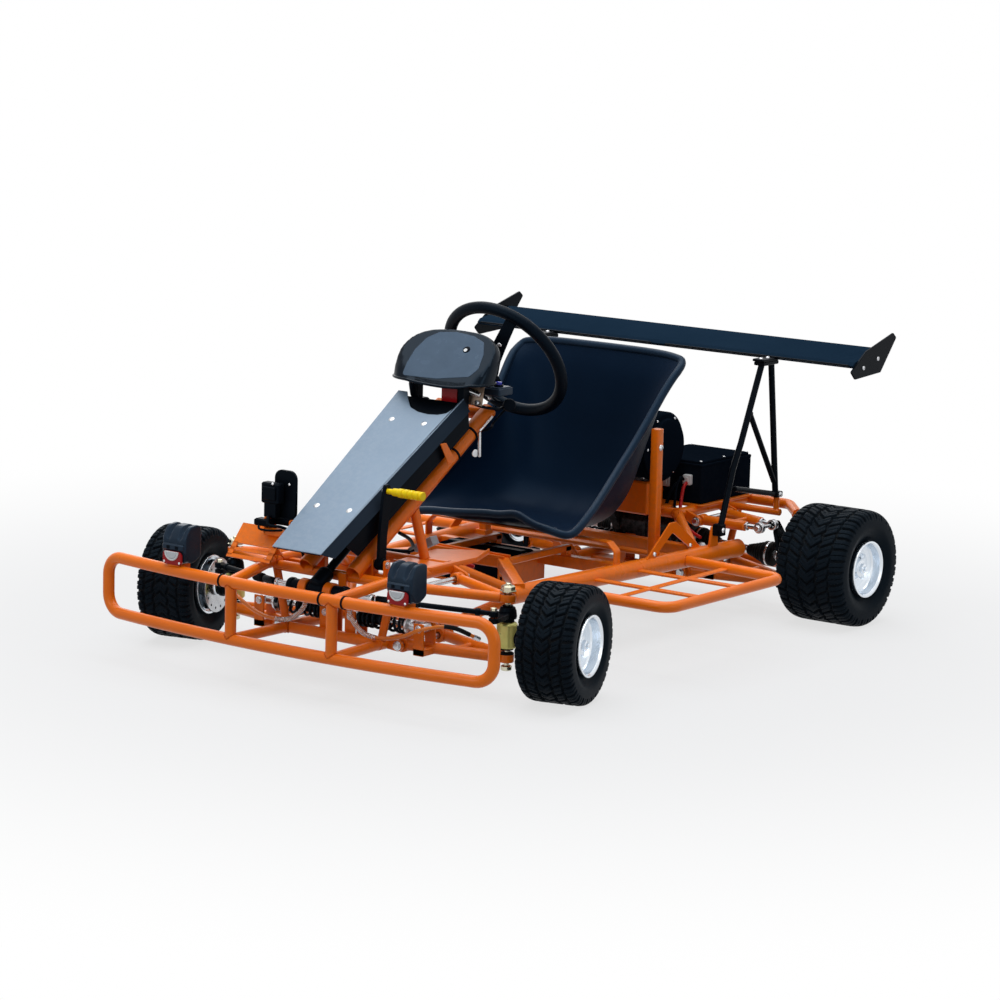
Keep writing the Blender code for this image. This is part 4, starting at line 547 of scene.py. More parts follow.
# %% Dust: settles on faces that look up, more near the ground
dust_group, given, result = new_group(
    "settled_dust", (("Vector", VECTOR, None), ("Amount", FLOAT, 0.3)), (("Mask", FLOAT),))
facing = add(dust_group, "SeparateXYZ", {0: add(dust_group, "NewGeometry").outputs["Normal"]})
upward_face = add(dust_group, "MapRange", {"Value": facing.outputs["Z"], "From Min": 0.0, "From Max": 1.0})
place = add(dust_group, "SeparateXYZ", {0: given["Vector"]})
low = add(dust_group, "MapRange", {"Value": place.outputs["Z"], "From Min": 0.42, "From Max": 0.05, "To Min": 0.25})
cloud = add(dust_group, "TexNoise", {"Vector": given["Vector"], "Scale": 22.0, "Detail": 6.0, "Roughness": 0.65})
patch = add(dust_group, "MapRange", {"Value": cloud.outputs["Fac"], "From Min": 0.4, "From Max": 0.68})
settled = add(dust_group, "Math", {0: upward_face.outputs["Result"], 1: low.outputs["Result"]}, operation="MULTIPLY")
patchy = add(dust_group, "Math", {0: settled.outputs[0], 1: patch.outputs["Result"]}, operation="MULTIPLY")
level_dust = add(dust_group, "Math", {0: patchy.outputs[0], 1: given["Amount"]}, operation="MULTIPLY", use_clamp=True)
dust_group.links.new(level_dust.outputs[0], result["Mask"])

# %% Turned rings: fine marks that follow the radius kept in the piece's own `lay` attribute
rings_group, given, result = new_group("turned_rings", (("Lay", VECTOR, None),), (("Height", FLOAT),))
squeezed = add(rings_group, "VectorMath", {0: given["Lay"], 1: (1.0, 1.0, 0.02)}, operation="MULTIPLY")
marks = add(rings_group, "TexNoise", {"Vector": squeezed.outputs[0], "Scale": 900.0, "Detail": 2.0})
rings_group.links.new(marks.outputs["Fac"], result["Height"])
print("effect groups:", len(bpy.data.node_groups))


# %% A finish from its colours and the shared effects
def use(tree, made, **links):
    """A shader node that places a node group, with its inputs set or linked."""
    holder = tree.nodes.new("ShaderNodeGroup")
    holder.node_tree = made
    for label, value in links.items():
        target = holder.inputs[label.replace("_", " ")]
        if isinstance(value, bpy.types.NodeSocket):
            tree.links.new(value, target)
        else:
            target.default_value = value
    return holder


def blend_colours(tree, share, first, second):
    """A colour between two: first * (1 - share) + second * share."""
    made = add(tree, "Mix", data_type="RGBA")
    for socket, value in ((0, share), (6, first), (7, second)):
        if isinstance(value, bpy.types.NodeSocket):
            tree.links.new(value, made.inputs[socket])
        else:
            made.inputs[socket].default_value = value if socket == 0 else (*value, 1.0)
    return made.outputs[2]


DUST_COLOUR = (0.3, 0.25, 0.19)


def finish(name, colour, other, rough, metallic=0.0, coat=0.0, grain=(400.0, 0.00005), broad=9.0,
           wear=None, dust=0.0, rings=0.0, pattern=None, specular=0.5, sheen=(1.0, 1.0, 1.0)):
    """A finish: two close colours mixed by the broad grain, a wear colour on the corners, dust
    over both, roughness that follows the grain, and a bump of the fine grain in metres."""
    made, tree = new_material(name)
    shader = add(tree, "BsdfPrincipled", {"Metallic": metallic, "Coat Weight": coat, "Coat Roughness": 0.12,
                                         "Specular IOR Level": specular, "Specular Tint": (*sheen, 1.0)})
    add(tree, "OutputMaterial", {0: shader.outputs[0]})
    where = add(tree, "TexCoord").outputs["Object"]
    fine = use(tree, grain_group, Vector=where, Scale=grain[0], Broad_scale=broad)
    tone = blend_colours(tree, fine.outputs["Shade"], colour, other)
    gloss = add(tree, "MapRange", {"Value": fine.outputs["Shade"], "To Min": rough[0],
                                   "To Max": rough[1]}).outputs["Result"]
    if wear:
        rubbed = use(tree, wear_group, Vector=where, Amount=wear[1])
        tone = blend_colours(tree, rubbed.outputs["Mask"], tone, wear[0])
    height, reach = fine.outputs["Height"], grain[1]
    if pattern:
        tone, height, reach = pattern(tree, tone, height)
    if dust:
        soil = use(tree, dust_group, Vector=where, Amount=dust)
        tone = blend_colours(tree, soil.outputs["Mask"], tone, DUST_COLOUR)
        gloss = add(tree, "Math", {0: gloss, 1: soil.outputs["Mask"]}, operation="ADD", use_clamp=True).outputs[0]
    tree.links.new(tone, shader.inputs["Base Color"])
    tree.links.new(gloss, shader.inputs["Roughness"])
    bump = add(tree, "Bump", {"Strength": 1.0, "Distance": reach, "Height": height})
    if rings:
        lay = add(tree, "Attribute", attribute_name="lay").outputs["Vector"]
        marks = use(tree, rings_group, Lay=lay).outputs["Height"]
        bump = add(tree, "Bump", {"Strength": 1.0, "Distance": rings, "Height": marks, "Normal": bump.outputs[0]})
    tree.links.new(bump.outputs[0], shader.inputs["Normal"])
    return made


# %% [markdown]
# ## The finishes of this kart
# The frame and the bumper are powder coated orange over steel, the wing's stays black. The
# seat is a moulded shell with a fine matt grain, its rolled rim painted lighter as a painted
# highlight. The rims are turned alloy, bolts are bright or yellow zinc, and the tyres are dull
# rubber with brown soil in the grooves. The front panel is one sheet, painted light slate on
# top as a painted sky reflection and near black on its folds as painted shade.

# %% Paints and plastics
COOL = (0.4, 0.68, 1.0)
orange = finish("orange_powder_coat", (0.86, 0.176, 0.0028), (0.8, 0.152, 0.0025), (0.26, 0.36), coat=0.04,
                grain=(260.0, 0.00008), broad=5.0, wear=((0.46, 0.13, 0.03), 0.3), dust=0.02, specular=0.22)
weld_coat = finish("coated_weld", (0.62, 0.11, 0.003), (0.48, 0.08, 0.003), (0.32, 0.45),
                   grain=(500.0, 0.0003), dust=0.03, specular=0.12)
black_coat = finish("black_powder_coat", (0.0022, 0.003, 0.0046), (0.0036, 0.0046, 0.0066), (0.22, 0.34),
                    grain=(300.0, 0.00008), wear=((0.03, 0.03, 0.033), 0.2), specular=0.04, sheen=COOL)
# Painted light: the panel's top and its folds are one sheet. The top's light slate colour is a painted sky
# reflection, and the folds' near-black colour is painted shade.
panel_sheet_painted_sky_reflection = finish("panel_sheet_painted_sky_reflection", (0.17, 0.235, 0.315), (0.225, 0.3, 0.39), (0.3, 0.4), metallic=0.1, coat=0.02,
                     grain=(150.0, 0.00002), broad=2.0, wear=((0.32, 0.37, 0.43), 0.3), dust=0.02, specular=0.2,
                     sheen=(0.8, 0.9, 1.0))
panel_fold_painted_shade = finish("panel_fold_painted_shade", (0.012, 0.019, 0.03), (0.018, 0.026, 0.039), (0.28, 0.38),
                    grain=(150.0, 0.00002), broad=2.0, specular=0.05, sheen=COOL)
hood_shell = finish("hood_shell", (0.0022, 0.0034, 0.006), (0.0034, 0.005, 0.0082), (0.16, 0.26),
                    grain=(900.0, 0.00003), specular=0.12, sheen=COOL)
hood_face = finish("hood_face", (0.034, 0.056, 0.088), (0.054, 0.084, 0.128), (0.22, 0.3), coat=0.03,
                   grain=(700.0, 0.00002), broad=12.0, specular=0.15, sheen=COOL)
seat_shell = finish("seat_shell", (0.0014, 0.0064, 0.018), (0.0022, 0.0085, 0.023), (0.34, 0.46),
                    grain=(1100.0, 0.00008), broad=4.0, wear=((0.012, 0.022, 0.042), 0.25), specular=0.05, sheen=COOL)
# Painted highlight: the rolled rim is the same moulding as the shell, coloured lighter where light catches its edge.
seat_rim_painted_highlight = finish("seat_rim_painted_highlight", (0.006, 0.0145, 0.03), (0.009, 0.0195, 0.038), (0.3, 0.4), grain=(900.0, 0.00006),
                  specular=0.12, sheen=COOL)
wing_sheet = finish("wing_sheet", (0.0066, 0.017, 0.033), (0.0095, 0.0225, 0.0415), (0.3, 0.42),
                    grain=(200.0, 0.00003), broad=3.0, wear=((0.02, 0.04, 0.064), 0.3), specular=0.0)
plastic = finish("black_moulding", (0.0018, 0.0027, 0.0045), (0.003, 0.0042, 0.0066), (0.32, 0.46),
                 grain=(800.0, 0.0001), specular=0.04, sheen=COOL)
lamp_shell = finish("lamp_shell", (0.012, 0.02, 0.033), (0.017, 0.027, 0.043), (0.26, 0.36), grain=(800.0, 0.00006),
                    dust=0.02, specular=0.15, sheen=COOL)
box_shell = finish("anodised_box", (0.003, 0.006, 0.0115), (0.0042, 0.0078, 0.014), (0.28, 0.38),
                   grain=(600.0, 0.00003), broad=4.0, wear=((0.018, 0.022, 0.028), 0.2), specular=0.0)
grip = finish("soft_grip", (0.0014, 0.0028, 0.0054), (0.0024, 0.0044, 0.0078), (0.34, 0.46), grain=(1500.0, 0.00018),
              specular=0.06, sheen=COOL)
yellow = finish("yellow_moulding", (0.92, 0.66, 0.004), (0.86, 0.6, 0.004), (0.3, 0.42), grain=(500.0, 0.00005),
                dust=0.02, specular=0.15)
red = finish("red_coat", (0.36, 0.008, 0.012), (0.29, 0.007, 0.01), (0.26, 0.36), coat=0.04, grain=(400.0, 0.00006),
             dust=0.02, specular=0.15)
blue = finish("blue_button", (0.006, 0.012, 0.42), (0.005, 0.01, 0.34), (0.16, 0.26), coat=0.1,
              grain=(200.0, 0.00002), specular=0.3)
white = finish("white_connector", (0.72, 0.73, 0.73), (0.64, 0.65, 0.65), (0.35, 0.5), grain=(500.0, 0.00005),
               dust=0.03, specular=0.3)
grey_plastic = finish("grey_connector", (0.42, 0.44, 0.47), (0.36, 0.38, 0.41), (0.4, 0.5), grain=(500.0, 0.00005),
                      dust=0.03, specular=0.3)
tan_plate = finish("bronze_plate", (0.2, 0.13, 0.085), (0.15, 0.1, 0.065), (0.25, 0.38), metallic=0.3,
                   grain=(500.0, 0.00005), dust=0.02)
boot = finish("rubber_boot", (0.0026, 0.0028, 0.0034), (0.0046, 0.0048, 0.0054), (0.5, 0.65), grain=(900.0, 0.0001),
              dust=0.05, specular=0.08)
red_wire = finish("red_wire", (0.46, 0.01, 0.01), (0.38, 0.008, 0.008), (0.3, 0.4), grain=(900.0, 0.00002),
                  specular=0.2)
hose_clear = finish("amber_hose", (0.76, 0.2, 0.01), (0.68, 0.16, 0.008), (0.16, 0.26), coat=0.1,
                    grain=(300.0, 0.00002), specular=0.3)

# %% Metals
alloy = finish("turned_alloy", (0.8, 0.85, 0.9), (0.74, 0.79, 0.85), (0.18, 0.27), metallic=1.0,
               grain=(300.0, 0.00001), broad=10.0, rings=0.000006)
steel = finish("bright_steel", (0.6, 0.61, 0.63), (0.44, 0.45, 0.47), (0.2, 0.34), metallic=1.0,
               grain=(500.0, 0.00002), broad=40.0, rings=0.00001, dust=0.03)
zinc = finish("pale_zinc", (0.66, 0.64, 0.5), (0.56, 0.54, 0.4), (0.22, 0.34), metallic=1.0,
              grain=(400.0, 0.00002), broad=60.0, dust=0.03)
yellow_zinc = finish("yellow_zinc", (0.64, 0.6, 0.2), (0.54, 0.5, 0.14), (0.26, 0.38), metallic=0.4,
                     grain=(400.0, 0.00002), broad=40.0, dust=0.03, specular=0.3)
spring_wire = finish("coated_wire", (0.0024, 0.003, 0.0042), (0.0044, 0.0052, 0.0068), (0.2, 0.32),
                     grain=(500.0, 0.00004), dust=0.02, specular=0.12, sheen=COOL)


# %% Tyre rubber: the tread writes each groove's share of depth into `lay`
def soiled_tread(tree, tone, height):
    """Brown soil where the groove share is high, paler scuffs on the block tops."""
    where = add(tree, "TexCoord").outputs["Object"]
    lay = add(tree, "SeparateXYZ", {0: add(tree, "Attribute", attribute_name="lay").outputs["Vector"]})
    cloud = add(tree, "TexNoise", {"Vector": where, "Scale": 30.0, "Detail": 6.0, "Roughness": 0.7})
    ragged = add(tree, "MapRange", {"Value": cloud.outputs["Fac"], "From Min": 0.38, "From Max": 0.66})
    soil = add(tree, "Math", {0: lay.outputs["X"], 1: ragged.outputs["Result"]}, operation="MULTIPLY")
    thin = add(tree, "Math", {0: soil.outputs[0], 1: 0.42}, operation="MULTIPLY", use_clamp=True)
    scuffs = add(tree, "TexNoise", {"Vector": where, "Scale": 160.0, "Detail": 5.0, "Roughness": 0.7})
    scuffed = add(tree, "MapRange", {"Value": scuffs.outputs["Fac"], "From Min": 0.5, "From Max": 0.75,
                                     "To Max": 0.6})
    tone = blend_colours(tree, scuffed.outputs["Result"], tone, (0.01, 0.012, 0.0145))
    tone = blend_colours(tree, thin.outputs[0], tone, (0.022, 0.018, 0.013))
    return tone, height, 0.00015


rubber = finish("tread_rubber", (0.0052, 0.0086, 0.0128), (0.0074, 0.0116, 0.0165), (0.36, 0.48),
                grain=(900.0, 0.00012), broad=14.0, pattern=soiled_tread, specular=0.025, sheen=(0.5, 0.76, 1.0))


# %% Lens: a pale body under a clear coat
def lens_finish(name, colour, rough):
    """A clear-coated pale body; fine ribs of the reflector show as a wave in its bump."""
    made, tree = new_material(name)
    shader = add(tree, "BsdfPrincipled", {"Coat Weight": 1.0, "Coat Roughness": 0.03, "Roughness": rough})
    where = add(tree, "TexCoord").outputs["Object"]
    ribs = add(tree, "TexWave", {"Vector": where, "Scale": 110.0, "Distortion": 0.0}, bands_direction="X")
    tone = blend_colours(tree, ribs.outputs["Fac"], colour, tuple(0.8 * c for c in colour))
    tree.links.new(tone, shader.inputs["Base Color"])
    bump = add(tree, "Bump", {"Distance": 0.0003, "Height": ribs.outputs["Fac"]})
    tree.links.new(bump.outputs[0], shader.inputs["Normal"])
    add(tree, "OutputMaterial", {0: shader.outputs[0]})
    return made


lens = lens_finish("lamp_lens", (0.5, 0.52, 0.55), 0.22)
print("finishes:", len(bpy.data.materials))

# %% [markdown]
# ## The frame: round tube, bent and welded
# The kart stands on two thick rails joined by square cross tubes, with a small cage of thin
# tube at each end for the arms. Every tube is one row of a table: its route, its radius and
# whether the other side has it too. Where a tube's end lies inside a thicker one, a weld
# bead is worked out from the two, so no bead is placed by hand.


# %% Where the rails and the steering column run
def column_point(distance):
    """A point on the column's axis, this far below the steering wheel's centre."""
    return WHEEL_CENTRE - distance * COLUMN


def column_height(y):
    """Height of the column's axis over a place along the kart."""
    return WHEEL_CENTRE[2] - (WHEEL_CENTRE[1] - y) * math.tan(SLOPE)


def rail_x(y):
    """Half distance between the main rails: they open towards the rear."""
    return 0.24 + 0.065 * (y - 0.19) / 0.83


def bar(a, b, radius, edge=0.0012, hollow=0.0, sides=24):
    """A straight round bar: a chamfered profile turned round the line from a to b. With a
    wall given, both ends are open for three radii."""
    a, b = np.asarray(a, float), np.asarray(b, float)
    length = np.linalg.norm(b - a)
    outer = [(0, radius - edge), (edge, radius), (length - edge, radius), (length, radius - edge)]
    if hollow:
        inner, depth = radius - hollow, min(3 * radius, length * 0.4)
        outer = [(depth, inner), (0.0006, inner), (0, inner + 0.0006)] + outer
        outer += [(length - 0.0006, inner), (length - depth, inner)]
    return lathe(a, b - a, outer, sides)


# %% The table of orange tubes: route, radius, bend, both sides
FRONT_BAY, REAR_BAY = (-0.138, 0.085), (0.96, 1.262)
tubes = [
    ([(0.24, 0.19, RAIL_Z), (0.305, 1.02, RAIL_Z)], 0.021, 0, True),
    ([(rail_x(0.315), 0.315, RAIL_Z), (0.575, 0.315, RAIL_Z), (0.58, 0.77, RAIL_Z), (rail_x(0.8), 0.8, RAIL_Z)],
     0.0125, 0.035, True),
    ([(UPPER_X, FRONT_BAY[0], UPPER_Z), (UPPER_X, FRONT_BAY[1], UPPER_Z)], 0.013, 0, True),
    ([(LOWER_X, FRONT_BAY[0], LOWER_Z), (LOWER_X, FRONT_BAY[1], LOWER_Z)], 0.013, 0, True),
    ([(UPPER_X, REAR_BAY[0], UPPER_Z), (UPPER_X, REAR_BAY[1], UPPER_Z)], 0.013, 0, True),
    ([(LOWER_X, REAR_BAY[0], LOWER_Z), (LOWER_X, REAR_BAY[1], LOWER_Z)], 0.013, 0, True),
    ([(UPPER_X, -0.127, UPPER_Z), (LOWER_X, -0.127, LOWER_Z)], 0.009, 0, True),
    ([(UPPER_X, 1.246, UPPER_Z), (LOWER_X, 1.246, LOWER_Z)], 0.009, 0, True),
    ([(UPPER_X, 0.079, UPPER_Z), (0.242, 0.22, RAIL_Z)], 0.0122, 0, True),
    ([(LOWER_X, 0.079, LOWER_Z), (0.242, 0.25, RAIL_Z)], 0.0122, 0, True),
    ([(UPPER_X, 0.966, UPPER_Z), (0.2925, 0.86, RAIL_Z)], 0.0122, 0, True),
    ([(LOWER_X, 0.966, LOWER_Z), (0.14, 0.905, RAIL_Z)], 0.0122, 0, True),
    ([(LOWER_X, -0.126, LOWER_Z), (-LOWER_X, -0.126, LOWER_Z)], 0.0125, 0, False),
    ([(UPPER_X, -0.126, 0.23), (-UPPER_X, -0.126, 0.23)], 0.0115, 0, False),
    ([(LOWER_X, 0.073, LOWER_Z), (-LOWER_X, 0.073, LOWER_Z)], 0.0125, 0, False),
    ([(UPPER_X, 0.073, UPPER_Z), (-UPPER_X, 0.073, UPPER_Z)], 0.0125, 0, False),
    ([(UPPER_X, 0.97, UPPER_Z), (-UPPER_X, 0.97, UPPER_Z)], 0.0125, 0, False),
    ([(UPPER_X, 1.25, UPPER_Z), (-UPPER_X, 1.25, UPPER_Z)], 0.012, 0, False),
    ([(0.065, 0.06, column_height(0.06)), (0.095, 0.073, UPPER_Z)], 0.011, 0, True),
    ([(-0.065, 0.322, 0.54), (0.065, 0.322, 0.54)], 0.015, 0, False),
    ([(UPPER_X, 1.24, UPPER_Z), (UPPER_X, 1.2695, UPPER_Z)], 0.0118, 0, True),
    ([(0.352, 1.205, 0.232), (0.29, 1.2695, 0.24), (-0.29, 1.2695, 0.24), (-0.352, 1.205, 0.232)],
     0.0125, 0.04, False),
    ([(0.352, 1.205, 0.238), (0.352, 1.205, 0.11), (0.27, 1.25, 0.096), (-0.27, 1.25, 0.096),
      (-0.352, 1.205, 0.11), (-0.352, 1.205, 0.238)], 0.0122, 0.03, False),
    ([(UPPER_X, 1.158, UPPER_Z), (0.332, 1.158, UPPER_Z)], 0.0085, 0, True),
    ([(-0.165, -0.11, 0.24), (-0.168, -0.16, 0.301)], 0.008, 0, False),
]
column_tube = ([column_point(0.7409) + (0.065, 0, 0), column_point(0.1745) + (0.065, 0, 0)], 0.018, 0, True)


def drawn(table):
    """Every route of the table, and its mirror image where both sides have it."""
    out = []
    for route, radius, bend, mirrored in table:
        route = np.asarray(route, float)
        out.append((route, radius, bend))
        if mirrored:
            out.append((route * (-1, 1, 1), radius, bend))
    return out


def joints_of(table, reach=0.004):
    """Weld beads: for each tube's end, the thicker tube whose axis passes through it."""
    beads = []
    for k, (route, radius, _) in enumerate(table):
        for end, inner in ((route[0], route[1]), (route[-1], route[-2])):
            for m, (other, thick, _) in enumerate(table):
                if m == k or thick < radius * 0.98:
                    continue
                a, b = other[:-1], other[1:]
                share = np.einsum("ij,ij->i", end - a, b - a) / np.einsum("ij,ij->i", b - a, b - a)
                near = a + np.clip(share, 0, 1)[:, None] * (b - a)
                gap = np.linalg.norm(near - end, axis=1)
                best = int(gap.argmin())
                axis, away = unit(b - a)[best], unit(inner - end)
                if gap[best] < thick + reach and abs(axis @ away) < 0.85:
                    beads.append(weld(near[best], away, radius, near[best], axis, thick, 0.0016))
                    break
    return beads


frame_tubes = drawn(tubes + [column_tube])
round_forms = [bar(r[0], r[-1], s) if len(r) == 2 and s != 0.018
               else tube(dense(bent(r, b), 0.02) if b else r, s, sides=24) for r, s, b in frame_tubes if s != 0.018]
round_forms += both([bar(*column_tube[0], 0.018, hollow=0.002, sides=28)])
beads = joints_of(frame_tubes)
print("tubes:", len(round_forms), "weld beads:", len(beads))

# %% [markdown]
# Square tube, flat bar and bent sheet make the rest. A plate is a flat outline drawn in the
# two directions across its thickness. A lug is the outline that wraps two circles: an arc
# round each, joined by the straight lines that touch both.


# %% Square tubes, lugs and pins
def square_bar(a, b, half, corner=0.003):
    """A square section with round corners carried from a to b."""
    section = rounded([(-half, -half), (half, -half), (half, half), (-half, half)], corner, 3)
    return sweep(np.array([a, b], float), section)


def lug_outline(p, q, p_radius, q_radius, steps=9):
    """The outline round two circles in one plane: arcs between the lines that touch both."""
    p, q = np.asarray(p, float), np.asarray(q, float)
    gap = np.linalg.norm(q - p)
    lean, side = math.atan2(*(q - p)[::-1]), math.acos((p_radius - q_radius) / gap)
    first = np.linspace(lean + side, lean + 2 * pi - side, steps)
    second = np.linspace(lean - side, lean + side, steps)
    round_p = p + p_radius * np.stack([np.cos(first), np.sin(first)], 1)
    round_q = q + q_radius * np.stack([np.cos(second), np.sin(second)], 1)
    return np.vstack([round_p, round_q])


def cross_bolt(x, z, low, high, radius, heights, shank, sunk=0.0001):
    """A bolt along the kart: a head before `low`, a nut behind `high`, the shank between."""
    return (hex_bolt((x, low, z), -Y, radius, heights[0]) + hex_bolt((x, high, z), Y, radius, heights[1])
            + [bar((x, low + sunk, z), (x, high - sunk, z), shank)])


def pivot(pin, tube_at, y_low, y_high):
    """A pivot bolt along the kart with a lug at each end and a nut on the far side."""
    forms = [plate(lug_outline(pin, tube_at, 0.0125, 0.011), "y", y - 0.004, y + 0.004) for y in (y_low, y_high)]
    return forms, cross_bolt(*pin, y_low - 0.0045, y_high + 0.0045, 0.0085, (0.0065, 0.0075), 0.0062, 0.0005)


square_forms = [square_bar((-rail_x(y), y, RAIL_Z), (rail_x(y), y, RAIL_Z), 0.014) for y in (0.6, 0.905)]
square_forms += both([square_bar((0.1, 0.353, 0.2), (0.25, 0.21, 0.182), 0.013)])
lugs, bolts = [], []
for pin, at, low, high in ((LOWER_PIN, (LOWER_X, LOWER_Z), -0.109, 0.068),
                           (UPPER_PIN, (UPPER_X, UPPER_Z), -0.116, 0.066),
                           (LOWER_PIN, (LOWER_X, LOWER_Z), 0.989, 1.233),
                           (UPPER_PIN, (UPPER_X, UPPER_Z), 0.988, 1.148)):
    made, fixed = pivot(pin, at, low, high)
    lugs += both(made)
    bolts += both(fixed)

# %% Flat bars, brackets and trays
plates = []
plates += both([block((rail_x(y), y - 0.009, 0.167), (0.577, y + 0.009, 0.173)) for y in (0.465, 0.62)])
plates += both([block((0.4151, 0.315, 0.168), (0.4331, 0.784, 0.172))])
front_face = [(0.052, 0.226), (0.165, 0.229), (0.165, 0.241), (0.08, 0.241), (0.08, 0.285), (0.052, 0.285)]
plates += both([plate(rounded(front_face, 0.004), "y", -0.097, -0.083)])
plates += [block((-0.112, 0.34, 0.19), (0.112, 0.366, 0.212), 0.002),
           block((-0.112, 0.3395, 0.2105), (0.112, 0.3435, 0.2185), 0.001),
           block((-0.112, 0.3625, 0.2105), (0.112, 0.3665, 0.2185), 0.001)]
plates += both([block((0.092, 0.352, 0.193), (0.108, 0.612, 0.208), 0.002),
                block((0.092, 0.59, 0.175), (0.108, 0.61, 0.207), 0.002)])
for y in (-0.092, 1.045):
    plates += both([block((0.021, y + s - 0.002, 0.086), (0.049, y + s + 0.002, 0.153), 0.0008)
                    for s in (-0.0205, 0.0205)])
    plates.append(block((-0.132, y - 0.023, 0.0855), (0.132, y + 0.023, 0.093), 0.0015))
    bolts += both(cross_bolt(SHOCK_IN, SHOCK_Z, y - 0.0226, y + 0.0226, 0.0065, (0.0045, 0.0055), 0.0038))
foot = rounded([(0.06, 0), (0.178, -0.03), (0.178, 0.15), (0.14, 0.25), (0.04, 0.18)], 0.012)
plates += [plate(foot, "z", 0.2462, 0.249), sweep(np.column_stack([bent(np.column_stack([
    [0.062, 0.177, 0.177, 0.139], [0.002, -0.027, 0.149, 0.246], [0.2475] * 4]), 0.012)]), rounded(
    [(-0.0015, -0.006), (0.0015, -0.006), (0.0015, 0.006), (-0.0015, 0.006)], 0.0006, 2))]
for low, high, x0, x1 in ((0.0, 0.1, -0.241, -0.118), (0.21, 0.29, -0.241, -0.118), (0.42, 1.0, -0.241, -0.118),
                          (0.05, 0.45, -0.241, -0.228), (0.05, 0.45, -0.133, -0.118)):
    y0, z0, y1, z1 = -0.2045 + 0.0572 * low, 0.2488 + 0.066 * low, -0.2045 + 0.0572 * high, 0.2488 + 0.066 * high
    plates.append(grid(np.array([[(x, y + dy, z + dz)
                                  for y, z, dy, dz in ((y0, z0, -0.0011, 0.001), (y0, z0, 0.0011, -0.001),
        (y1, z1, 0.0011, -0.001), (y1, z1, -0.0011, 0.001))] for x in (x0, x1)])))
gusset = [(0.64, 0.175), (0.752, 0.262), (0.778, 0.262), (0.905, 0.175), (0.88, 0.168), (0.768, 0.236), (0.76, 0.236),
          (0.665, 0.168)]
plates += both([plate(rounded(gusset, 0.004), "x", rail_x(0.77) - 0.004, rail_x(0.77)),
                block((0.231, 0.734, 0.166), (0.262, 0.764, 0.18), 0.002),
                plate(rounded([(0.89, 0.176), (0.93, 0.176), (0.922, 0.236), (0.9, 0.236)], 0.003), "x", 0.3, 0.306)])
plates += [block((-0.112, 1.03, 0.2485), (0.19, 1.264, 0.2545), 0.001, 0.012),
           block((-0.064, 0.955, 0.248), (0.13, 1.035, 0.254), 0.001, 0.008),
           block((-0.134, 1.125, 0.089), (0.134, 1.155, 0.1052), 0.003),
           block((0.0, 0.915, 0.235), (0.11, 0.985, 0.3155), 0.004, 0.006)]
trough = [(-0.211, 0.118), (0.031, 0.118), (0.031, 0.175), (0.027, 0.175), (0.027, 0.123), (-0.207, 0.123),
          (-0.207, 0.175), (-0.211, 0.175)]
plates += [plate(trough, "y", 0.434, 0.614, 0.0006), block((-0.15, 0.588, 0.12), (-0.03, 0.612, 0.165), 0.002)]
stub = [bar((side * 0.32, 1.158, 0.24), (side * 0.32, 1.158, 0.2762), 0.007) for side, _ in SIDES]
seat_arch = [(x, 0.56, z) for x, z in ((0.269, 0.182), (0.269, 0.221), (0.249, 0.2395), (-0.249, 0.2395),
                                       (-0.269, 0.221), (-0.269, 0.182))]
flat_section = rounded([(-0.012, -0.002), (0.012, -0.002), (0.012, 0.002), (-0.012, 0.002)], 0.001, 2)[:, ::-1]
plates += [sweep(bent(seat_arch, 0.012), flat_section), block((-0.287, 0.776, 0.1705), (0.287, 0.804, 0.1785), 0.002)]
posts = both([square_bar((0.243, 0.749, 0.172), (0.243, 0.749, 0.478), 0.011)])
print("plates:", len(plates), "lugs:", len(lugs), "bolts:", len(bolts))

# %% Panel straps, pedal stands and column ties
PANEL_PLACE = np.eye(4)
lean = radians(31.93)
PANEL_PLACE[1:3, 1:3] = ((cos(lean), -sin(lean)), (sin(lean), cos(lean)))
PANEL_PLACE[:3, 3] = (0.0, -0.135, 0.3751)
strap = [(-0.066, -0.107), (-0.056, -0.0003), (0.056, -0.0003), (0.066, -0.107), (0.06, -0.107), (0.05, -0.004),
         (-0.05, -0.004), (-0.06, -0.107)]
straps = [plate(strap, "y", s - 0.01, s + 0.01, 0.0005, PANEL_PLACE) for s in (0.0, 0.303)]


def shifted(forms, place):
    """The forms moved by a plain shift."""
    m = np.eye(4)
    m[:3, 3] = place
    return [moved(f, m) for f in forms]


def stand(centre, cheek_x, cheek, thick=0.004):
    """Two cheek plates beside a pedal's pivot and the pivot pin between them."""
    x, y, z = centre
    forms = shifted([plate(rounded(cheek, 0.004), "x", s * cheek_x - thick / 2, s * cheek_x + thick / 2)
                     for s in (-1, 1)], centre)
    fixed = hex_bolt((x + cheek_x + thick / 2, y, z), X, 0.0065, 0.0045) + hex_bolt(
        (x - cheek_x - thick / 2, y, z), -X, 0.0065, 0.0045) + [bar((x - cheek_x, y, z), (x + cheek_x, y, z), 0.0045)]
    return forms, fixed


BRAKE_AT, GAS_AT = (0.102, -0.095, 0.262), (-0.126, -0.142, 0.332)
brake_cheeks, brake_pin = stand(BRAKE_AT, 0.016, [(-0.011, -0.035), (0.011, -0.035), (0.011, 0.01), (-0.011, 0.01)])
gas_cheeks, gas_pin = stand(GAS_AT, 0.035, [(-0.03, -0.03), (0.01, -0.03), (0.01, 0.01), (-0.03, 0.01)])
gas_base = block((-0.163, -0.172, 0.302), (-0.089, -0.138, 0.318), 0.002)
tie_rings = []
for distance in (0.2585, 0.3316):
    for side in (-1, 1):
        centre = column_point(distance) + (side * 0.065, 0, 0)
        tie_rings.append(lathe(centre - COLUMN * 0.003, COLUMN,
                               [(0, 0.0181), (0.0006, 0.0196), (0.0054, 0.0196), (0.006, 0.0181)], 28))

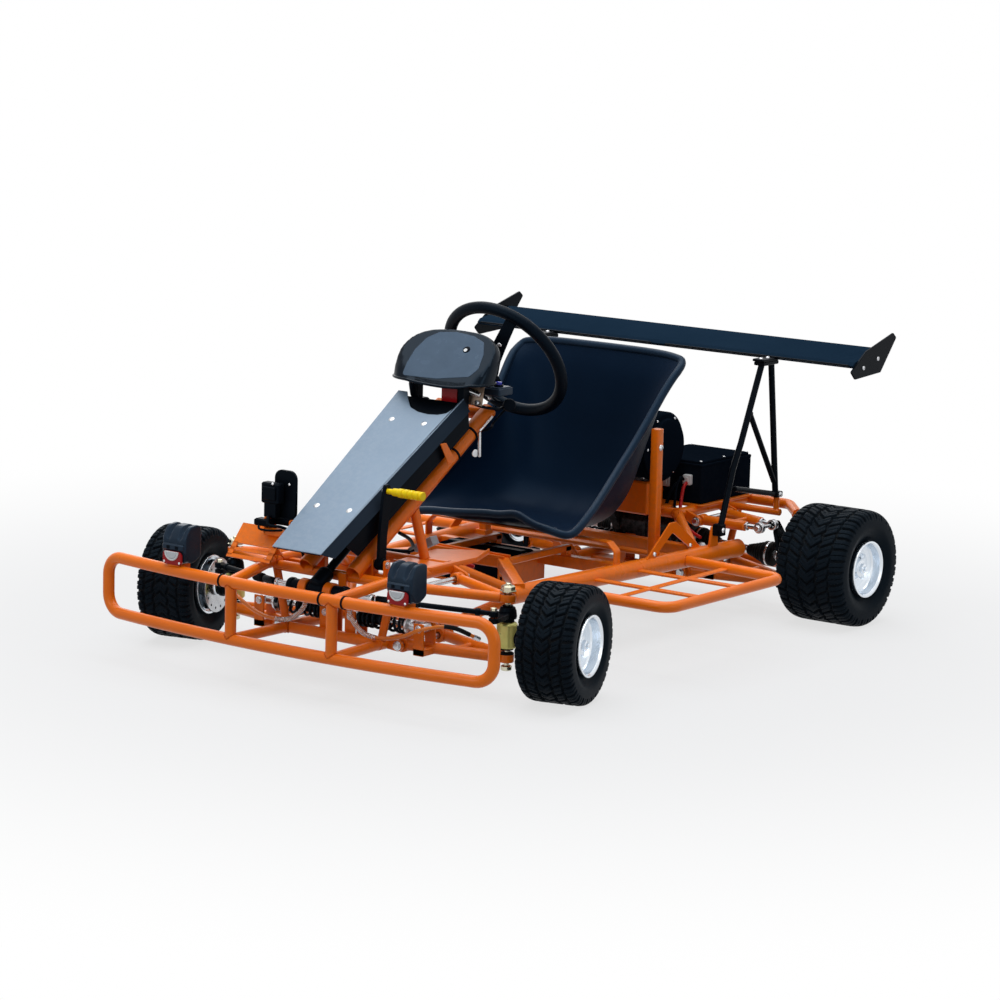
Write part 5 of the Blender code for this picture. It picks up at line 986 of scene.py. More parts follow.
piece("frame_tubes", [(round_forms + square_forms, orange), (beads, weld_coat), (stub, orange)], "chassis")
piece("frame_plates", [(plates + lugs + posts + straps, orange), (brake_cheeks + gas_cheeks + [gas_base], orange)],
      "chassis", "main_frame")
piece("frame_bolts", [(bolts + brake_pin + gas_pin, steel)], "chassis")
piece("column_ties", [(tie_rings, plastic)])

# %% [markdown]
# ## The bumper
# One orange tube bent into a long loop that bows forward at its middle. Two posts tie the
# upper and the lower run, and short stays carry it on the front bay. The bow is a parabola,
# so a point of the loop is found from its place across the kart alone.

# %% Bumper
BUMPER_HALF, BUMPER_TOP, BUMPER_LOW, BUMPER_TUBE = 0.532, 0.2196, 0.0947, 0.013


def bumper_y(x):
    """Place along the kart of the bumper's tube: a parabola across its width."""
    return -0.3095 + 0.0465 * (x / BUMPER_HALF) ** 2


flat_loop = rounded([(-BUMPER_HALF, BUMPER_LOW), (BUMPER_HALF, BUMPER_LOW), (BUMPER_HALF, BUMPER_TOP),
                     (-BUMPER_HALF, BUMPER_TOP)], 0.042, 9)
flat_loop = dense(np.vstack([flat_loop, flat_loop[:1]]), 0.02)[:-1]
loop = np.column_stack([flat_loop[:, 0], bumper_y(flat_loop[:, 0]), flat_loop[:, 1]])
POST_X = 0.139
post_y = bumper_y(POST_X)
bumper_forms = [sweep(loop, circle(BUMPER_TUBE, 24), loop=True)]
bumper_forms += both([bar((POST_X, post_y, BUMPER_LOW), (POST_X, post_y, BUMPER_TOP), 0.0125),
                     bar((0.142, post_y, BUMPER_TOP), (0.165, -0.1384, UPPER_Z), 0.0118),
                     bar((POST_X, post_y, BUMPER_LOW), (0.13, -0.1384, LOWER_Z), 0.0118),
                     block((0.294, -0.3, 0.222), (0.326, -0.262, 0.2352), 0.002)])
bead_forms = both([weld((POST_X, post_y, BUMPER_TOP), -Z, 0.0125, (POST_X, post_y, BUMPER_TOP), X, 0.013),
                   weld((POST_X, post_y, BUMPER_LOW), Z, 0.0125, (POST_X, post_y, BUMPER_LOW), X, 0.013)])
bumper_ties = [lathe((x - 0.0025, bumper_y(x), BUMPER_TOP), X,
                     [(0, 0.0131), (0.0006, 0.0148), (0.0045, 0.0148), (0.005, 0.0131)], 24)
               for x in (-0.166, 0.112, 0.172)]
piece("bumper_loop", [(bumper_forms, orange), (bead_forms, weld_coat), (bumper_ties, plastic)], "chassis",
      "front_bumper")
print("bumper wide:", round(2 * (BUMPER_HALF + BUMPER_TUBE), 3), "m")

# %% [markdown]
# ## The seat: one moulded shell
# A kart seat is a single skin, low under the thighs and high at the back, with its rim rolled
# over. Two curves describe it: one down its middle and one along its edge. In between, a
# point is `middle + rise(v) * (edge - middle)` and its place across is `spread(v) * half
# width`, so the shell stays smooth however many points are asked for.

# %% Seat surface
seat_middle = smooth([(0.415, 0.286), (0.455, 0.268), (0.52, 0.254), (0.585, 0.249), (0.655, 0.246), (0.72, 0.256),
                      (0.768, 0.292), (0.798, 0.352), (0.818, 0.425), (0.832, 0.505), (0.848, 0.58), (0.872, 0.636)],
                     90)
seat_edge = smooth([(0.428, 0.262), (0.48, 0.297), (0.545, 0.337), (0.605, 0.377), (0.655, 0.415), (0.697, 0.452),
                    (0.733, 0.49), (0.765, 0.528), (0.793, 0.562), (0.817, 0.588), (0.838, 0.606), (0.862, 0.622)],
                   90)
seat_half = np.interp(np.linspace(0, 11, 90), np.arange(12),
                      (0.228, 0.23, 0.228, 0.223, 0.218, 0.215, 0.215, 0.217, 0.221, 0.226, 0.232, 0.238))
SEAT_WALL = 0.006


def seat_share(points, count=33):
    """A smooth curve through five shares, at even steps from the middle to the edge."""
    v = np.linspace(0, 1, 5)
    fine = smooth(np.column_stack([v, points]), 200)
    return np.interp(np.linspace(0, 1, count), fine[:, 0], fine[:, 1])


def along_seat(curve, place):
    """Values of a curve of the seat at places given in whole rows."""
    return np.stack([np.interp(place, np.arange(len(curve)), column) for column in np.atleast_2d(curve.T)], -1)


spread_by, raise_by = seat_share((0, 0.42, 0.72, 0.91, 1)), seat_share((0, 0.03, 0.18, 0.55, 1))
spread_by = np.concatenate([-spread_by[:0:-1], spread_by])
raise_by = np.concatenate([raise_by[:0:-1], raise_by])


def cut_back(start, power):
    """How far each column's end row is drawn back, from 0 at the start of the corner to 1."""
    corner = np.clip((np.abs(np.linspace(-1, 1, 65)) - start) / (1 - start), 0, 1)
    return 1 - np.sqrt(np.clip(1 - corner ** power, 0, 1))


first, last = 6.5 * cut_back(0.56, 2.2), 89 - 5.5 * cut_back(0.76, 2.4)
rows = first[None, :] + (last - first)[None, :] * np.linspace(0, 1, 90)[:, None]
across = spread_by[None, :] * along_seat(seat_half, rows)[..., 0]
middle_rows, edge_rows = along_seat(seat_middle, rows), along_seat(seat_edge, rows)
down = middle_rows + raise_by[None, :, None] * (edge_rows - middle_rows)
inside = np.concatenate([across[..., None], down], -1)
lift = (0.011 * np.exp(-((across - 0.025) / 0.085) ** 2)
        + 0.013 * np.exp(-((across - 0.092) / 0.036) ** 2)) * np.exp(-(rows / 13.0) ** 2)
inside[..., 2] += lift
facing_out = unit(np.cross(np.gradient(inside, axis=0), np.gradient(inside, axis=1)))
facing_out *= -np.sign(facing_out[45, 32, 2])
outside = inside + SEAT_WALL * facing_out
shell = grid(np.concatenate([inside, outside[:, ::-1]], 1))
rim_path = np.vstack([(inside + outside)[0, :], (inside + outside)[1:-1, -1], (inside + outside)[-1, ::-1],
                      (inside + outside)[-2:0:-1, 0]]) / 2
lip = sweep(rim_path, circle(0.0095, 14), loop=True)


def on_seat(row, column, depth=0.0):
    """A point of the shell's inner face at whole row and column, and the way out of it."""
    return inside[row, column] - depth * facing_out[row, column], -facing_out[row, column]


seat_bolts = []
for row, column in ((7, 17), (7, 47)):
    point, up = on_seat(row, column)
    seat_bolts += [lathe(point, up, [(-0.001, 0.0125), (0.0012, 0.0125), (0.0016, 0.012)], 28)]
    seat_bolts += dome_bolt(point + 0.001 * up, up, 0.0068, 0.004)
# The rolled rim takes the lighter finish, a painted highlight along the seat's edge.
piece("seat_shell", [([shell], seat_shell), ([lip], seat_rim_painted_highlight)], "chassis", "seat", angle=50)
piece("seat_bolts", [(seat_bolts, steel)], "chassis")
seat_washers = both(dome_bolt((0.2545, 0.749, 0.435), X, 0.0075, 0.004))
seat_washers += both([f for y, z in ((0.69, 0.197), (0.84, 0.197))
                      for f in dome_bolt((rail_x(0.77) + 0.0002, y, z), X, 0.006, 0.0035)])
piece("seat_post_bolts", [(seat_washers, steel)], "chassis")
print("seat points:", inside.shape[0] * inside.shape[1])

# %% [markdown]
# ## Front panel and instrument hood
# The panel is flat sheet with its long edges folded down, held by round-headed rivets. It is
# made in its own flat space and then tipped up the slope by one matrix. The hood is a dome
# on a D-shaped plan: each level is the same outline, drawn smaller and further back.


# %% Slabs and strips
def slab(corners, thick, edge=0.0005):
    """Four corners of a flat sheet, given thickness half to each side along its normal."""
    c = np.asarray(corners, float)
    normal = unit(np.cross(c[2] - c[0], c[3] - c[1]))
    small = c + unit(c.mean(0) - c) * edge
    half = thick / 2
    return grid(np.stack([small - half * normal, c - (half - edge) * normal, c + (half - edge) * normal,
                          small + half * normal]))


def strip(route, across, half_widths, thick, edge=0.0007):
    """A flat bar along a route: its width lies along `across`, its thickness along
    tangent x across, and its eight section corners are cut back by the edge."""
    route = np.asarray(route, float)
    across = np.broadcast_to(unit(across), route.shape)
    tangent = unit(np.gradient(route, axis=0))
    normal = unit(np.cross(tangent, across))
    w, t = np.broadcast_to(np.asarray(half_widths, float), len(route))[:, None, None], thick / 2
    sx = np.array([1, 1, 1, -1, -1, -1, -1, 1.0])[None, :, None]
    cut = np.array([0, 0, 1, 1, 0, 0, 1, 1.0])[None, :, None] * edge
    sy = np.array([-t + edge, t - edge, t, t, t - edge, -t + edge, -t, -t])[None, :, None]
    return grid(route[:, None] + across[:, None] * sx * (w - cut) + normal[:, None] * sy)


# %% Front panel
LOW_S, HIGH_S = -0.143, 0.4


def panel_half(s):
    """Half width of the panel at a place up its slope."""
    return 0.066 + 0.024 * (s - LOW_S) / (HIGH_S - LOW_S)


notch = [(0.086, HIGH_S), (0.0845, 0.362), (0.078, 0.346), (0.06, 0.3375), (0.035, 0.335), (0.005, 0.3385),
         (-0.024, 0.35), (-0.05, 0.378), (-0.066, HIGH_S)]
panel_outline = [(-panel_half(LOW_S), LOW_S), (panel_half(LOW_S), LOW_S),
                 (panel_half(HIGH_S), HIGH_S)] + notch + [(-panel_half(HIGH_S), HIGH_S)]
panel_forms = [plate(rounded(panel_outline, 0.003, 3), "z", 0.0, 0.0025, 0.0006, PANEL_PLACE)]
fold_forms = []
under_trim = [moved(block((-0.058, LOW_S + 0.004, -0.0075), (0.058, 0.328, -0.0008), 0.001), PANEL_PLACE),
              moved(block((-0.082, 0.29, -0.026), (0.082, 0.398, -0.006), 0.004), PANEL_PLACE)]
for side, _ in SIDES:
    inner_low, inner_high = (side * panel_half(LOW_S), LOW_S, 0.0014), (side * panel_half(HIGH_S), HIGH_S, 0.0014)
    outer_high = (side * (panel_half(HIGH_S) + 0.017), HIGH_S - 0.012, -0.022)
    outer_low = (side * (panel_half(LOW_S) + 0.017), LOW_S + 0.018, -0.022)
    fold_forms += [moved(slab([inner_low, inner_high, outer_high, outer_low], 0.0022), PANEL_PLACE)]
    panel_forms += [moved(bar(inner_low, inner_high, 0.0013, 0.0003, sides=10), PANEL_PLACE)]
    skirt = [(side * (panel_half(s) + 0.0145), s, h)
             for s, h in ((LOW_S + 0.06, -0.0235), (HIGH_S - 0.016, -0.0235), (HIGH_S - 0.03, -0.056),
                          (LOW_S + 0.08, -0.066))]
    under_trim += [moved(slab(skirt, 0.003), PANEL_PLACE)]
dome = np.linspace(0, 1.5, 7)
rivet_head = np.column_stack([0.0003 + 0.0022 * np.sin(dome), 0.0074 * np.cos(dome)])
rivets = [moved(lathe((x, s, 0.002), Z, rivet_head, 28), PANEL_PLACE) for s in (0.0, 0.303)
          for x in (-0.0448, 0.0448)]
# The top takes the painted sky reflection finish and the folds take the painted shade finish, though both are the
# same sheet.
piece("front_panel", [(panel_forms, panel_sheet_painted_sky_reflection), (fold_forms, panel_fold_painted_shade), (rivets, steel)], "chassis",
      "fairing_panel")
piece("panel_backing", [(under_trim, plastic)])

# %% Instrument hood
HOOD_CENTRE = np.array((0.012, 0.248, 0.65))
FACE_WAY, FACE_REACH = unit(np.array((0.08, -0.7, 0.71))), 0.029


def hood_plan(count=96):
    """A D-shaped plan: powers of cos and sin below 1 keep its sides fuller than an ellipse."""
    a = 2 * np.pi * np.arange(count) / count
    c, s = np.cos(a), np.sin(a)
    depth = np.where(s < 0, 0.072, 0.06)
    return np.stack([0.127 * np.sign(c) * np.abs(c) ** 0.78, depth * np.sign(s) * np.abs(s) ** 0.75], 1)


plan = hood_plan()


def hood_ring(height, share):
    """The plan at one height: drawn smaller by its share, moved back as it rises, and pressed
    flat where it passes the plane of the face: p - max(p . n - reach, 0) n."""
    flat = np.column_stack([plan * share + (0, 0.35 * height), np.full(len(plan), height)])
    over = np.clip(flat @ FACE_WAY - FACE_REACH, 0, None)
    return flat - over[:, None] * FACE_WAY + HOOD_CENTRE


hood_levels = smooth([(-0.03, 0.985), (-0.012, 1.0), (0.006, 1.0), (0.034, 0.95), (0.057, 0.8), (0.0705, 0.56),
                      (0.0755, 0.24)], 30)
hood_inner = [hood_ring(-0.018, 0.93)[None], hood_ring(-0.03, 0.94)[None]]
hood = grid(np.concatenate(hood_inner + [hood_ring(h, s)[None] for h, s in hood_levels]))
brow = sweep(hood_ring(-0.029, 0.985), circle(0.0032, 10), loop=True)
face_right = unit(np.cross(FACE_WAY, (0.0, 0.0, 1.0)))
face_up = np.cross(FACE_WAY, face_right)
face_up *= np.sign(face_up[2])
face_place = np.eye(4)
face_place[:3, 0], face_place[:3, 1], face_place[:3, 2] = face_right, face_up, np.cross(face_right, face_up)
face_place[:3, 3] = HOOD_CENTRE + FACE_REACH * FACE_WAY
out_way = 1.0 if np.dot(face_place[:3, 2], FACE_WAY) > 0 else -1.0
face_edge = [(0.0815, -0.06), (0.0845, -0.025), (0.0805, 0.0149), (0.065, 0.05), (0.04, 0.069), (-0.0022, 0.0735),
             (-0.05, 0.0665), (-0.081, 0.052), (-0.0945, 0.018), (-0.0985, -0.0216), (-0.085, -0.0458),
             (-0.007, -0.06)]
face_sheet = [plate(rounded(face_edge, 0.01, 4), "z", *sorted((-0.0012 * out_way, 0.0006 * out_way)), 0.0004,
                    face_place)]
PORT_AT = (-0.0473, 0.0273)
middle = (face_place @ (*PORT_AT, 0.0009 * out_way, 1.0))[:3]
port = [turned(middle, FACE_WAY, [(-0.001, 0.0086), (0.0004, 0.0086), (0.0008, 0.0074)], 0.0003, 32)]
port_glow = [lathe(middle + FACE_WAY * 0.0004 - face_up * 0.0024 + face_right * 0.0014, FACE_WAY,
                   [(0, 0.0046), (0.0007, 0.0044)], 24)]
dial_bowl = [lathe(HOOD_CENTRE + (0, 0, -0.0185), Z, [(0, 0.048), (0.002, 0.05), (0.0035, 0.046)], 48)]
hood_posts = both([block((0.055, 0.226, 0.556), (0.073, 0.246, 0.628), 0.002)])
switch_x, switch_y, switch_z = 0.098, 0.322, 0.606
switch_box = [block((switch_x - 0.022, switch_y - 0.026, switch_z - 0.02),
                    (switch_x + 0.022, switch_y + 0.026, switch_z - 0.003), 0.002, 0.004),
              block((switch_x - 0.019, switch_y - 0.023, switch_z - 0.004),
                    (switch_x + 0.019, switch_y + 0.023, switch_z - 0.0008), 0.001, 0.003)]
switch_arm = [block((0.06, 0.242, 0.588), (0.072, 0.314, 0.601), 0.002),
              block((0.06, 0.303, 0.588), (0.086, 0.316, 0.601), 0.002)]
piece("hood_dome", [([hood, brow], hood_shell), (face_sheet + dial_bowl, hood_face),
                    (port + hood_posts + switch_arm, plastic), (port_glow, white), (switch_box, lamp_shell)],
      "chassis", "instrument_pod", angle=40)
collar = turned((switch_x, switch_y, switch_z - 0.001), Z,
                [(0, 0.0108), (0.004, 0.0108), (0.004, 0.0086), (0.0004, 0.0086)], 0.0003, 32)
cap_top = turned((switch_x, switch_y, switch_z), Z, [(0.0036, 0.0078), (0.0092, 0.0078), (0.0095, 0.003)], 0.0008, 32)
piece("switch_collar", [([collar], plastic)])
piece("start_button_cap", [([cap_top], blue)], "start_button", "start_button")

# %% [markdown]
# ## Steering wheel and column
# The wheel is a thick soft rim on three pressed spokes that fall back to a hub, so the rim
# stands above the centre. The rim is a round section carried round a circle in the plane
# square to the column. Each spoke is a strip from the hub's radius to the rim's.

# %% Steering wheel
RIM_RADIUS, RIM_THICK, DISH = 0.1475, 0.014, 0.08
RACK_Y, RACK_Z = -0.18, 0.205
level_way = np.array((1.0, 0.0, 0.0))
rise_way = np.cross(COLUMN, level_way)
turn = np.linspace(0, 2 * np.pi, 120, endpoint=False)[:, None]
rim_route = WHEEL_CENTRE + RIM_RADIUS * (np.cos(turn) * level_way + np.sin(turn) * rise_way)
rim = sweep(rim_route, circle(RIM_THICK, 28), loop=True)
hub_place = column_point(DISH)
spokes, spoke_bolts, spoke_ribs = [], [], []
for angle in (298, 118, 208):
    a = radians(angle)
    out = cos(a) * level_way + sin(a) * rise_way
    route = smooth([hub_place + out * 0.022, hub_place + out * 0.05 + COLUMN * 0.006,
                    hub_place + out * 0.1 + COLUMN * 0.04, WHEEL_CENTRE + out * 0.1415 - COLUMN * 0.004], 24)
    spokes.append(strip(route, np.cross(COLUMN, out), np.linspace(0.019, 0.013, 24), 0.0045))
    spoke_ribs.append(strip(route[2:-2] + 0.0022 * COLUMN, np.cross(COLUMN, out), np.linspace(0.006, 0.004, 20),
                            0.003))
    spoke_bolts += dome_bolt(hub_place + out * 0.0265 + COLUMN * 0.0035, COLUMN, 0.0048, 0.0035)
    spoke_bolts += dome_bolt(route[13] - COLUMN * 0.0024, -COLUMN, 0.0058, 0.003)
hub = turned(hub_place, COLUMN, [(-0.012, 0.024), (-0.004, 0.038), (0.003, 0.038), (0.006, 0.034), (0.006, 0.016),
                                 (0.003, 0.014)], 0.0012, 48)
nut = hex_bolt(hub_place + COLUMN * 0.004, COLUMN, 0.0115, 0.008)
piece("steering_rim", [([rim], grip), (spokes + spoke_ribs + [hub], plastic), (spoke_bolts + nut, steel)],
      "steering", "steering_wheel", angle=40)
tower_base = WHEEL_CENTRE - COLUMN * ((WHEEL_CENTRE[1] - RACK_Y) / COLUMN[1])
shaft = bar(tower_base + COLUMN * 0.03, hub_place - COLUMN * 0.013, 0.0095)
collars = [turned(hub_place, COLUMN, [(-0.04, 0.015), (-0.036, 0.017), (-0.0125, 0.017)], 0.001, 32)]
collars += [turned(column_point(0.62), COLUMN, [(-0.007, 0.0105), (-0.007, 0.0155), (0.007, 0.0155), (0.007, 0.0105)],
                   0.001, 28)]
piece("steering_column", [([shaft] + collars, black_coat)], "steering", "steering_shaft")

# %% Steering box and its bar
rack_end = 0.08
housing = [turned((-rack_end, RACK_Y, RACK_Z), X,
                  [(0, 0.0098), (0, 0.015), (0.004, 0.017), (0.012, 0.017), (0.014, 0.015), (0.062, 0.015),
                   (0.064, 0.017), (0.096, 0.017), (0.098, 0.015), (0.146, 0.015), (0.148, 0.017), (0.156, 0.017),
                   (0.16, 0.015), (0.16, 0.0098)], 0.0006, 40),
           turned(tower_base, COLUMN, [(-0.012, 0.014), (-0.008, 0.018), (0.03, 0.018), (0.034, 0.0155),
                                       (0.036, 0.0145), (0.036, 0.0128), (0.026, 0.0126)], 0.0006, 36)]
clamp_shape = [(-0.186, 0.19), (-0.1388, 0.19), (-0.1388, 0.24), (-0.1438, 0.24), (-0.1438, 0.198), (-0.186, 0.198)]
clamps = both([plate(rounded(clamp_shape, 0.002), "x", 0.024, 0.045)])
clamp_bolts = both(hex_bolt((0.0345, -0.1386, 0.2315), Y, 0.0055, 0.004))
clamps += both([
    turned((0.0245, RACK_Y, RACK_Z), X, [(0, 0.0172), (0, 0.0195), (0.02, 0.0195), (0.02, 0.0172)], 0.0006, 32)])
piece("steering_box", [(housing, plastic), (clamps, orange), (clamp_bolts, steel)], "chassis",
      "rack_housing")
STEER_ARM, TIE_SPAN = 0.075, 0.2455


def tie_ends(side):
    """Inner joint on the bar and outer joint over the steering arm, with the wheels as turned."""
    outer = np.array((side * KINGPIN[0] + STEER_ARM * sin(STEER), KINGPIN[1] - STEER_ARM * cos(STEER), 0.1945))
    return np.array((outer[0] - side * TIE_SPAN, RACK_Y, RACK_Z)), outer


left_end, right_end = tie_ends(1)[0][0], tie_ends(-1)[0][0]
bar_forms = [bar((right_end + 0.001, RACK_Y, RACK_Z), (left_end - 0.001, RACK_Y, RACK_Z), 0.007)]
bar_forms += [turned((x, RACK_Y, RACK_Z), X, [(0, 0.0085), (0.001, 0.01), (0.007, 0.01), (0.0079, 0.0085)], 0.0004,
                     24) for x in (left_end - 0.0085, right_end + 0.0006)]
piece("toothed_bar", [(bar_forms, steel)], "rack", "rack_bar")
print("toothed bar ends:", round(right_end, 4), round(left_end, 4))

# %% [markdown]
# ## The rear wing
# A wing on a kart works upside down: its hollow side faces the sky. The section is a thin
# cambered blade carried straight across, closed by two end plates, on four plain
# stays. The plates are flat outlines, so their sharp tips stay sharp.

# %% Wing and stays
wing_section = rounded([(1.105, 0.62), (1.113, 0.6135), (1.15, 0.617), (1.238, 0.646), (1.239, 0.65), (1.18, 0.64),
                        (1.115, 0.628)], 0.0015, 4)
WING_HALF, WING_END = 0.545, 0.549
xs = np.linspace(-WING_HALF, WING_HALF, 15)
blade = grid(np.stack([np.column_stack([np.full(len(wing_section), x), wing_section]) for x in xs]))
end_shape = rounded([(1.283, 0.683), (1.298, 0.671), (1.23, 0.594), (1.115, 0.588), (1.095, 0.607), (1.16, 0.65)],
                    0.004, 4)
wing_ends = both([plate(end_shape, "x", WING_END - 0.005, WING_END, 0.0008)])
wing_mounts = both([block((0.304, 1.052, 0.6128), (0.336, 1.124, 0.619), 0.0012)])
wing_bolts = both([f for y, z in ((1.15, 0.612), (1.215, 0.628))
                   for f in dome_bolt((WING_END, y, z), X, 0.0052, 0.0028)])
wing_bolts += both([f for y in (1.064, 1.094) for f in dome_bolt((0.32, y, 0.619), Z, 0.005, 0.003)])
hinge_line = both([bar((0.02, 1.1045, 0.6205), (0.535, 1.1045, 0.6205), 0.0022, sides=12)])
piece("rear_wing", [([blade], wing_sheet), (wing_ends + wing_mounts + hinge_line, black_coat), (wing_bolts, steel)],
      "chassis", "wing")
for side, name in SIDES:
    sx = side * 0.32
    at = lambda y, z: (sx, y, z)
    legs = [tube(np.array([at(1.068, 0.606), at(0.989, 0.426), at(0.958, 0.368), at(0.914, 0.2365)]), 0.0075, 0.03),
            bar(at(1.11, 0.606), at(1.152, 0.282), 0.0075), bar(at(1.022, 0.495), at(1.143, 0.315), 0.0066),
            bar(at(0.968, 0.3195), at(1.152, 0.284), 0.0066)]
    feet = [block((sx - 0.014, 1.056, 0.603), (sx + 0.014, 1.12, 0.6124), 0.0015),
            block((sx - 0.01, 1.147, 0.2766), (sx + 0.01, 1.169, 0.2905), 0.0015)]
    low_x = sorted((side * 0.3065, side * 0.3285))
    feet.append(block((low_x[0], 0.901, 0.215), (low_x[1], 0.923, 0.243), 0.0015))
    knots = [weld(at(1.022, 0.495), np.subtract(at(1.143, 0.315), at(1.022, 0.495)), 0.0066, at(1.022, 0.495),
                  (0, 0.079, 0.18), 0.0075, 0.0014),
             weld(at(1.152, 0.284), np.subtract(at(0.968, 0.3195), at(1.152, 0.284)), 0.0066, at(1.152, 0.284),
                  (0, 0.042, -0.324), 0.0075, 0.0014)]
    fixed = dome_bolt((sx + side * 0.0088, 0.912, 0.229), (side, 0, 0), 0.0062,
                      0.0035) + dome_bolt((sx + side * 0.0102, 1.158, 0.2835), (side, 0, 0), 0.0062, 0.0035)
    piece("wing_stay_tubes_" + name, [(legs + feet + knots, black_coat), (fixed, steel)], "chassis",
          "wing_stay_" + name)
print("wing span:", 2 * WING_END)

# %% [markdown]
# ## Lamps
# Each lamp is a moulded housing on a bracket, with two notches across its top, a half-round
# lens and a wide bezel below. Its front view is one outline; carried backwards, the outline
# keeps its width while its low and high edges follow the side view.

# %% Lamps
lamp_front = rounded([(-1, 0), (1, 0), (1, 1), (0.72, 1), (0.5, 0.84), (0.28, 1), (-0.28, 1), (-0.5, 0.84),
                      (-0.72, 1), (-1, 1)], 0.07, 4)
lamp_rows = smooth([(-0.2985, 0.264, 0.286), (-0.297, 0.261, 0.293), (-0.283, 0.24, 0.315), (-0.268, 0.2385, 0.3185),
                    (-0.256, 0.244, 0.319), (-0.2465, 0.251, 0.315), (-0.244, 0.256, 0.309)], 26)
shrink = np.interp(np.arange(26), (0, 3, 22, 25), (0.88, 1.0, 1.0, 0.9))
half_turn = np.linspace(pi, 2 * pi, 25)
for side, name in SIDES:
    lx = side * 0.31
    rows = [np.column_stack([lx + 0.033 * w * lamp_front[:, 0], np.full(len(lamp_front), y),
                             low + (high - low) * lamp_front[:, 1]]) for (y, low, high), w in zip(lamp_rows, shrink)]
    shell_form = grid(np.stack(rows))
    brow_bar = [block((lx - 0.03, -0.3035, 0.265), (lx + 0.03, -0.28, 0.28), 0.003, 0.004),
                block((lx - 0.031, -0.297, 0.24), (lx + 0.031, -0.262, 0.268), 0.003)]
    slots = [block((lx + dx - 0.004, -0.3045, 0.269), (lx + dx + 0.004, -0.303, 0.276), 0.0006)
             for dx in (-0.012, 0.012)]
    bezel_line = rounded([(lx - 0.027, 0.2345), (lx + 0.027, 0.2345), (lx + 0.027, 0.264), (lx - 0.027, 0.264)],
                         0.009)
    bezel = plate(bezel_line, "y", -0.3052, -0.299, 0.0015)
    glass_line = np.column_stack([lx + 0.0165 * np.cos(half_turn), 0.264 + 0.0165 * np.sin(half_turn)])
    glass = plate(glass_line, "y", -0.3078, -0.3045, 0.0016)
    rim_line = np.column_stack([lx + 0.018 * np.cos(half_turn), np.full(25, -0.3062),
                                0.2635 + 0.018 * np.sin(half_turn)])
    ringed = sweep(rim_line, circle(0.0021, 12))
    screws = [f for dx in (-0.0215, 0.0215) for f in dome_bolt((lx + dx, -0.3052, 0.24), -Y, 0.003, 0.002)]
    piece("lamp_housing_" + name, [([shell_form] + brow_bar, lamp_shell), (slots, plastic), ([bezel], red),
                                   ([ringed], white), (screws, steel)], "chassis",
          "headlamp_" + name, angle=38)
    piece("lamp_glass_" + name, [([glass], lens)])

# %% [markdown]
# ## Drive unit, controller and battery
# Under the wing sits a smooth motor drum on a saddle. A closed chain case takes its drive
# down to the gearbox on the axle line. The drum is one turned profile with two shallow bands.

# %% Motor, chain case and gearbox
MOTOR = np.array((0.06, 0.952, 0.4))
drum_profile = [(-0.075, 0.07), (-0.071, 0.083), (-0.05, 0.083), (-0.049, 0.0815), (-0.044, 0.0815), (-0.043, 0.083),
                (0.056, 0.083), (0.057, 0.0815), (0.062, 0.0815), (0.063, 0.083), (0.068, 0.083), (0.072, 0.078),
                (0.073, 0.068), (0.082, 0.066), (0.084, 0.058), (0.0835, 0.02)]
drum = lathe(MOTOR, X, drum_profile, 64)
end_bolts = [f for k in range(6) for f in dome_bolt(
    MOTOR + (0.0725, 0.0735 * cos(k * pi / 3), 0.0735 * sin(k * pi / 3)), X, 0.0036, 0.0025)]
boss = turned(MOTOR, -X, [(0.07, 0.033), (0.1335, 0.033)], 0.001, 36)
case_shape = lug_outline((0.952, 0.4), (1.14, 0.15), 0.036, 0.046, 24)
case_form = [plate(case_shape, "x", -0.097, -0.073, 0.002),
             plate(inset(leftwards(case_shape), 0.007), "x", -0.0985, -0.0965, 0.0006)]
case_bolts = [f for p in ((0.932, 0.428), (1.172, 0.128), (1.052, 0.235), (1.008, 0.318), (1.1, 0.262))
              for f in dome_bolt((-0.097, *p), -X, 0.0038, 0.0025)]
octagon = rounded([(1.088, 0.1055), (1.192, 0.1055), (1.208, 0.13), (1.208, 0.185), (1.18, 0.21), (1.1, 0.21),
                   (1.074, 0.185), (1.074, 0.13)], 0.006, 4)
gearbox = [plate(octagon, "x", -0.074, 0.074, 0.003), plate(inset(octagon, -0.004), "x", -0.004, 0.004, 0.001)]
gearbox += [turned((0, WHEELBASE, 0.15), (s, 0, 0),
                   [(0.07, 0.04), (0.078, 0.04), (0.08, 0.032), (0.102, 0.032), (0.102, 0.012)], 0.001, 40)
            for s in (1, -1)]
saddle = [block((0.02, 0.918, 0.3158), (0.1, 0.982, 0.345), 0.002)]
saddle_bolts = [f for x in (0.026, 0.094) for f in hex_bolt((x, 0.9195, 0.325), -Y, 0.0048, 0.0035)]
cast = finish("cast_casing", (0.012, 0.013, 0.015), (0.02, 0.021, 0.023), (0.42, 0.56), metallic=0.3,
              grain=(350.0, 0.00018), wear=((0.25, 0.25, 0.26), 0.35), dust=0.02, specular=0.05)
piece("motor_drum", [([drum, boss], box_shell), (case_form + gearbox + saddle, cast),
                     (end_bolts + case_bolts + saddle_bolts, steel)], "chassis", "motor")

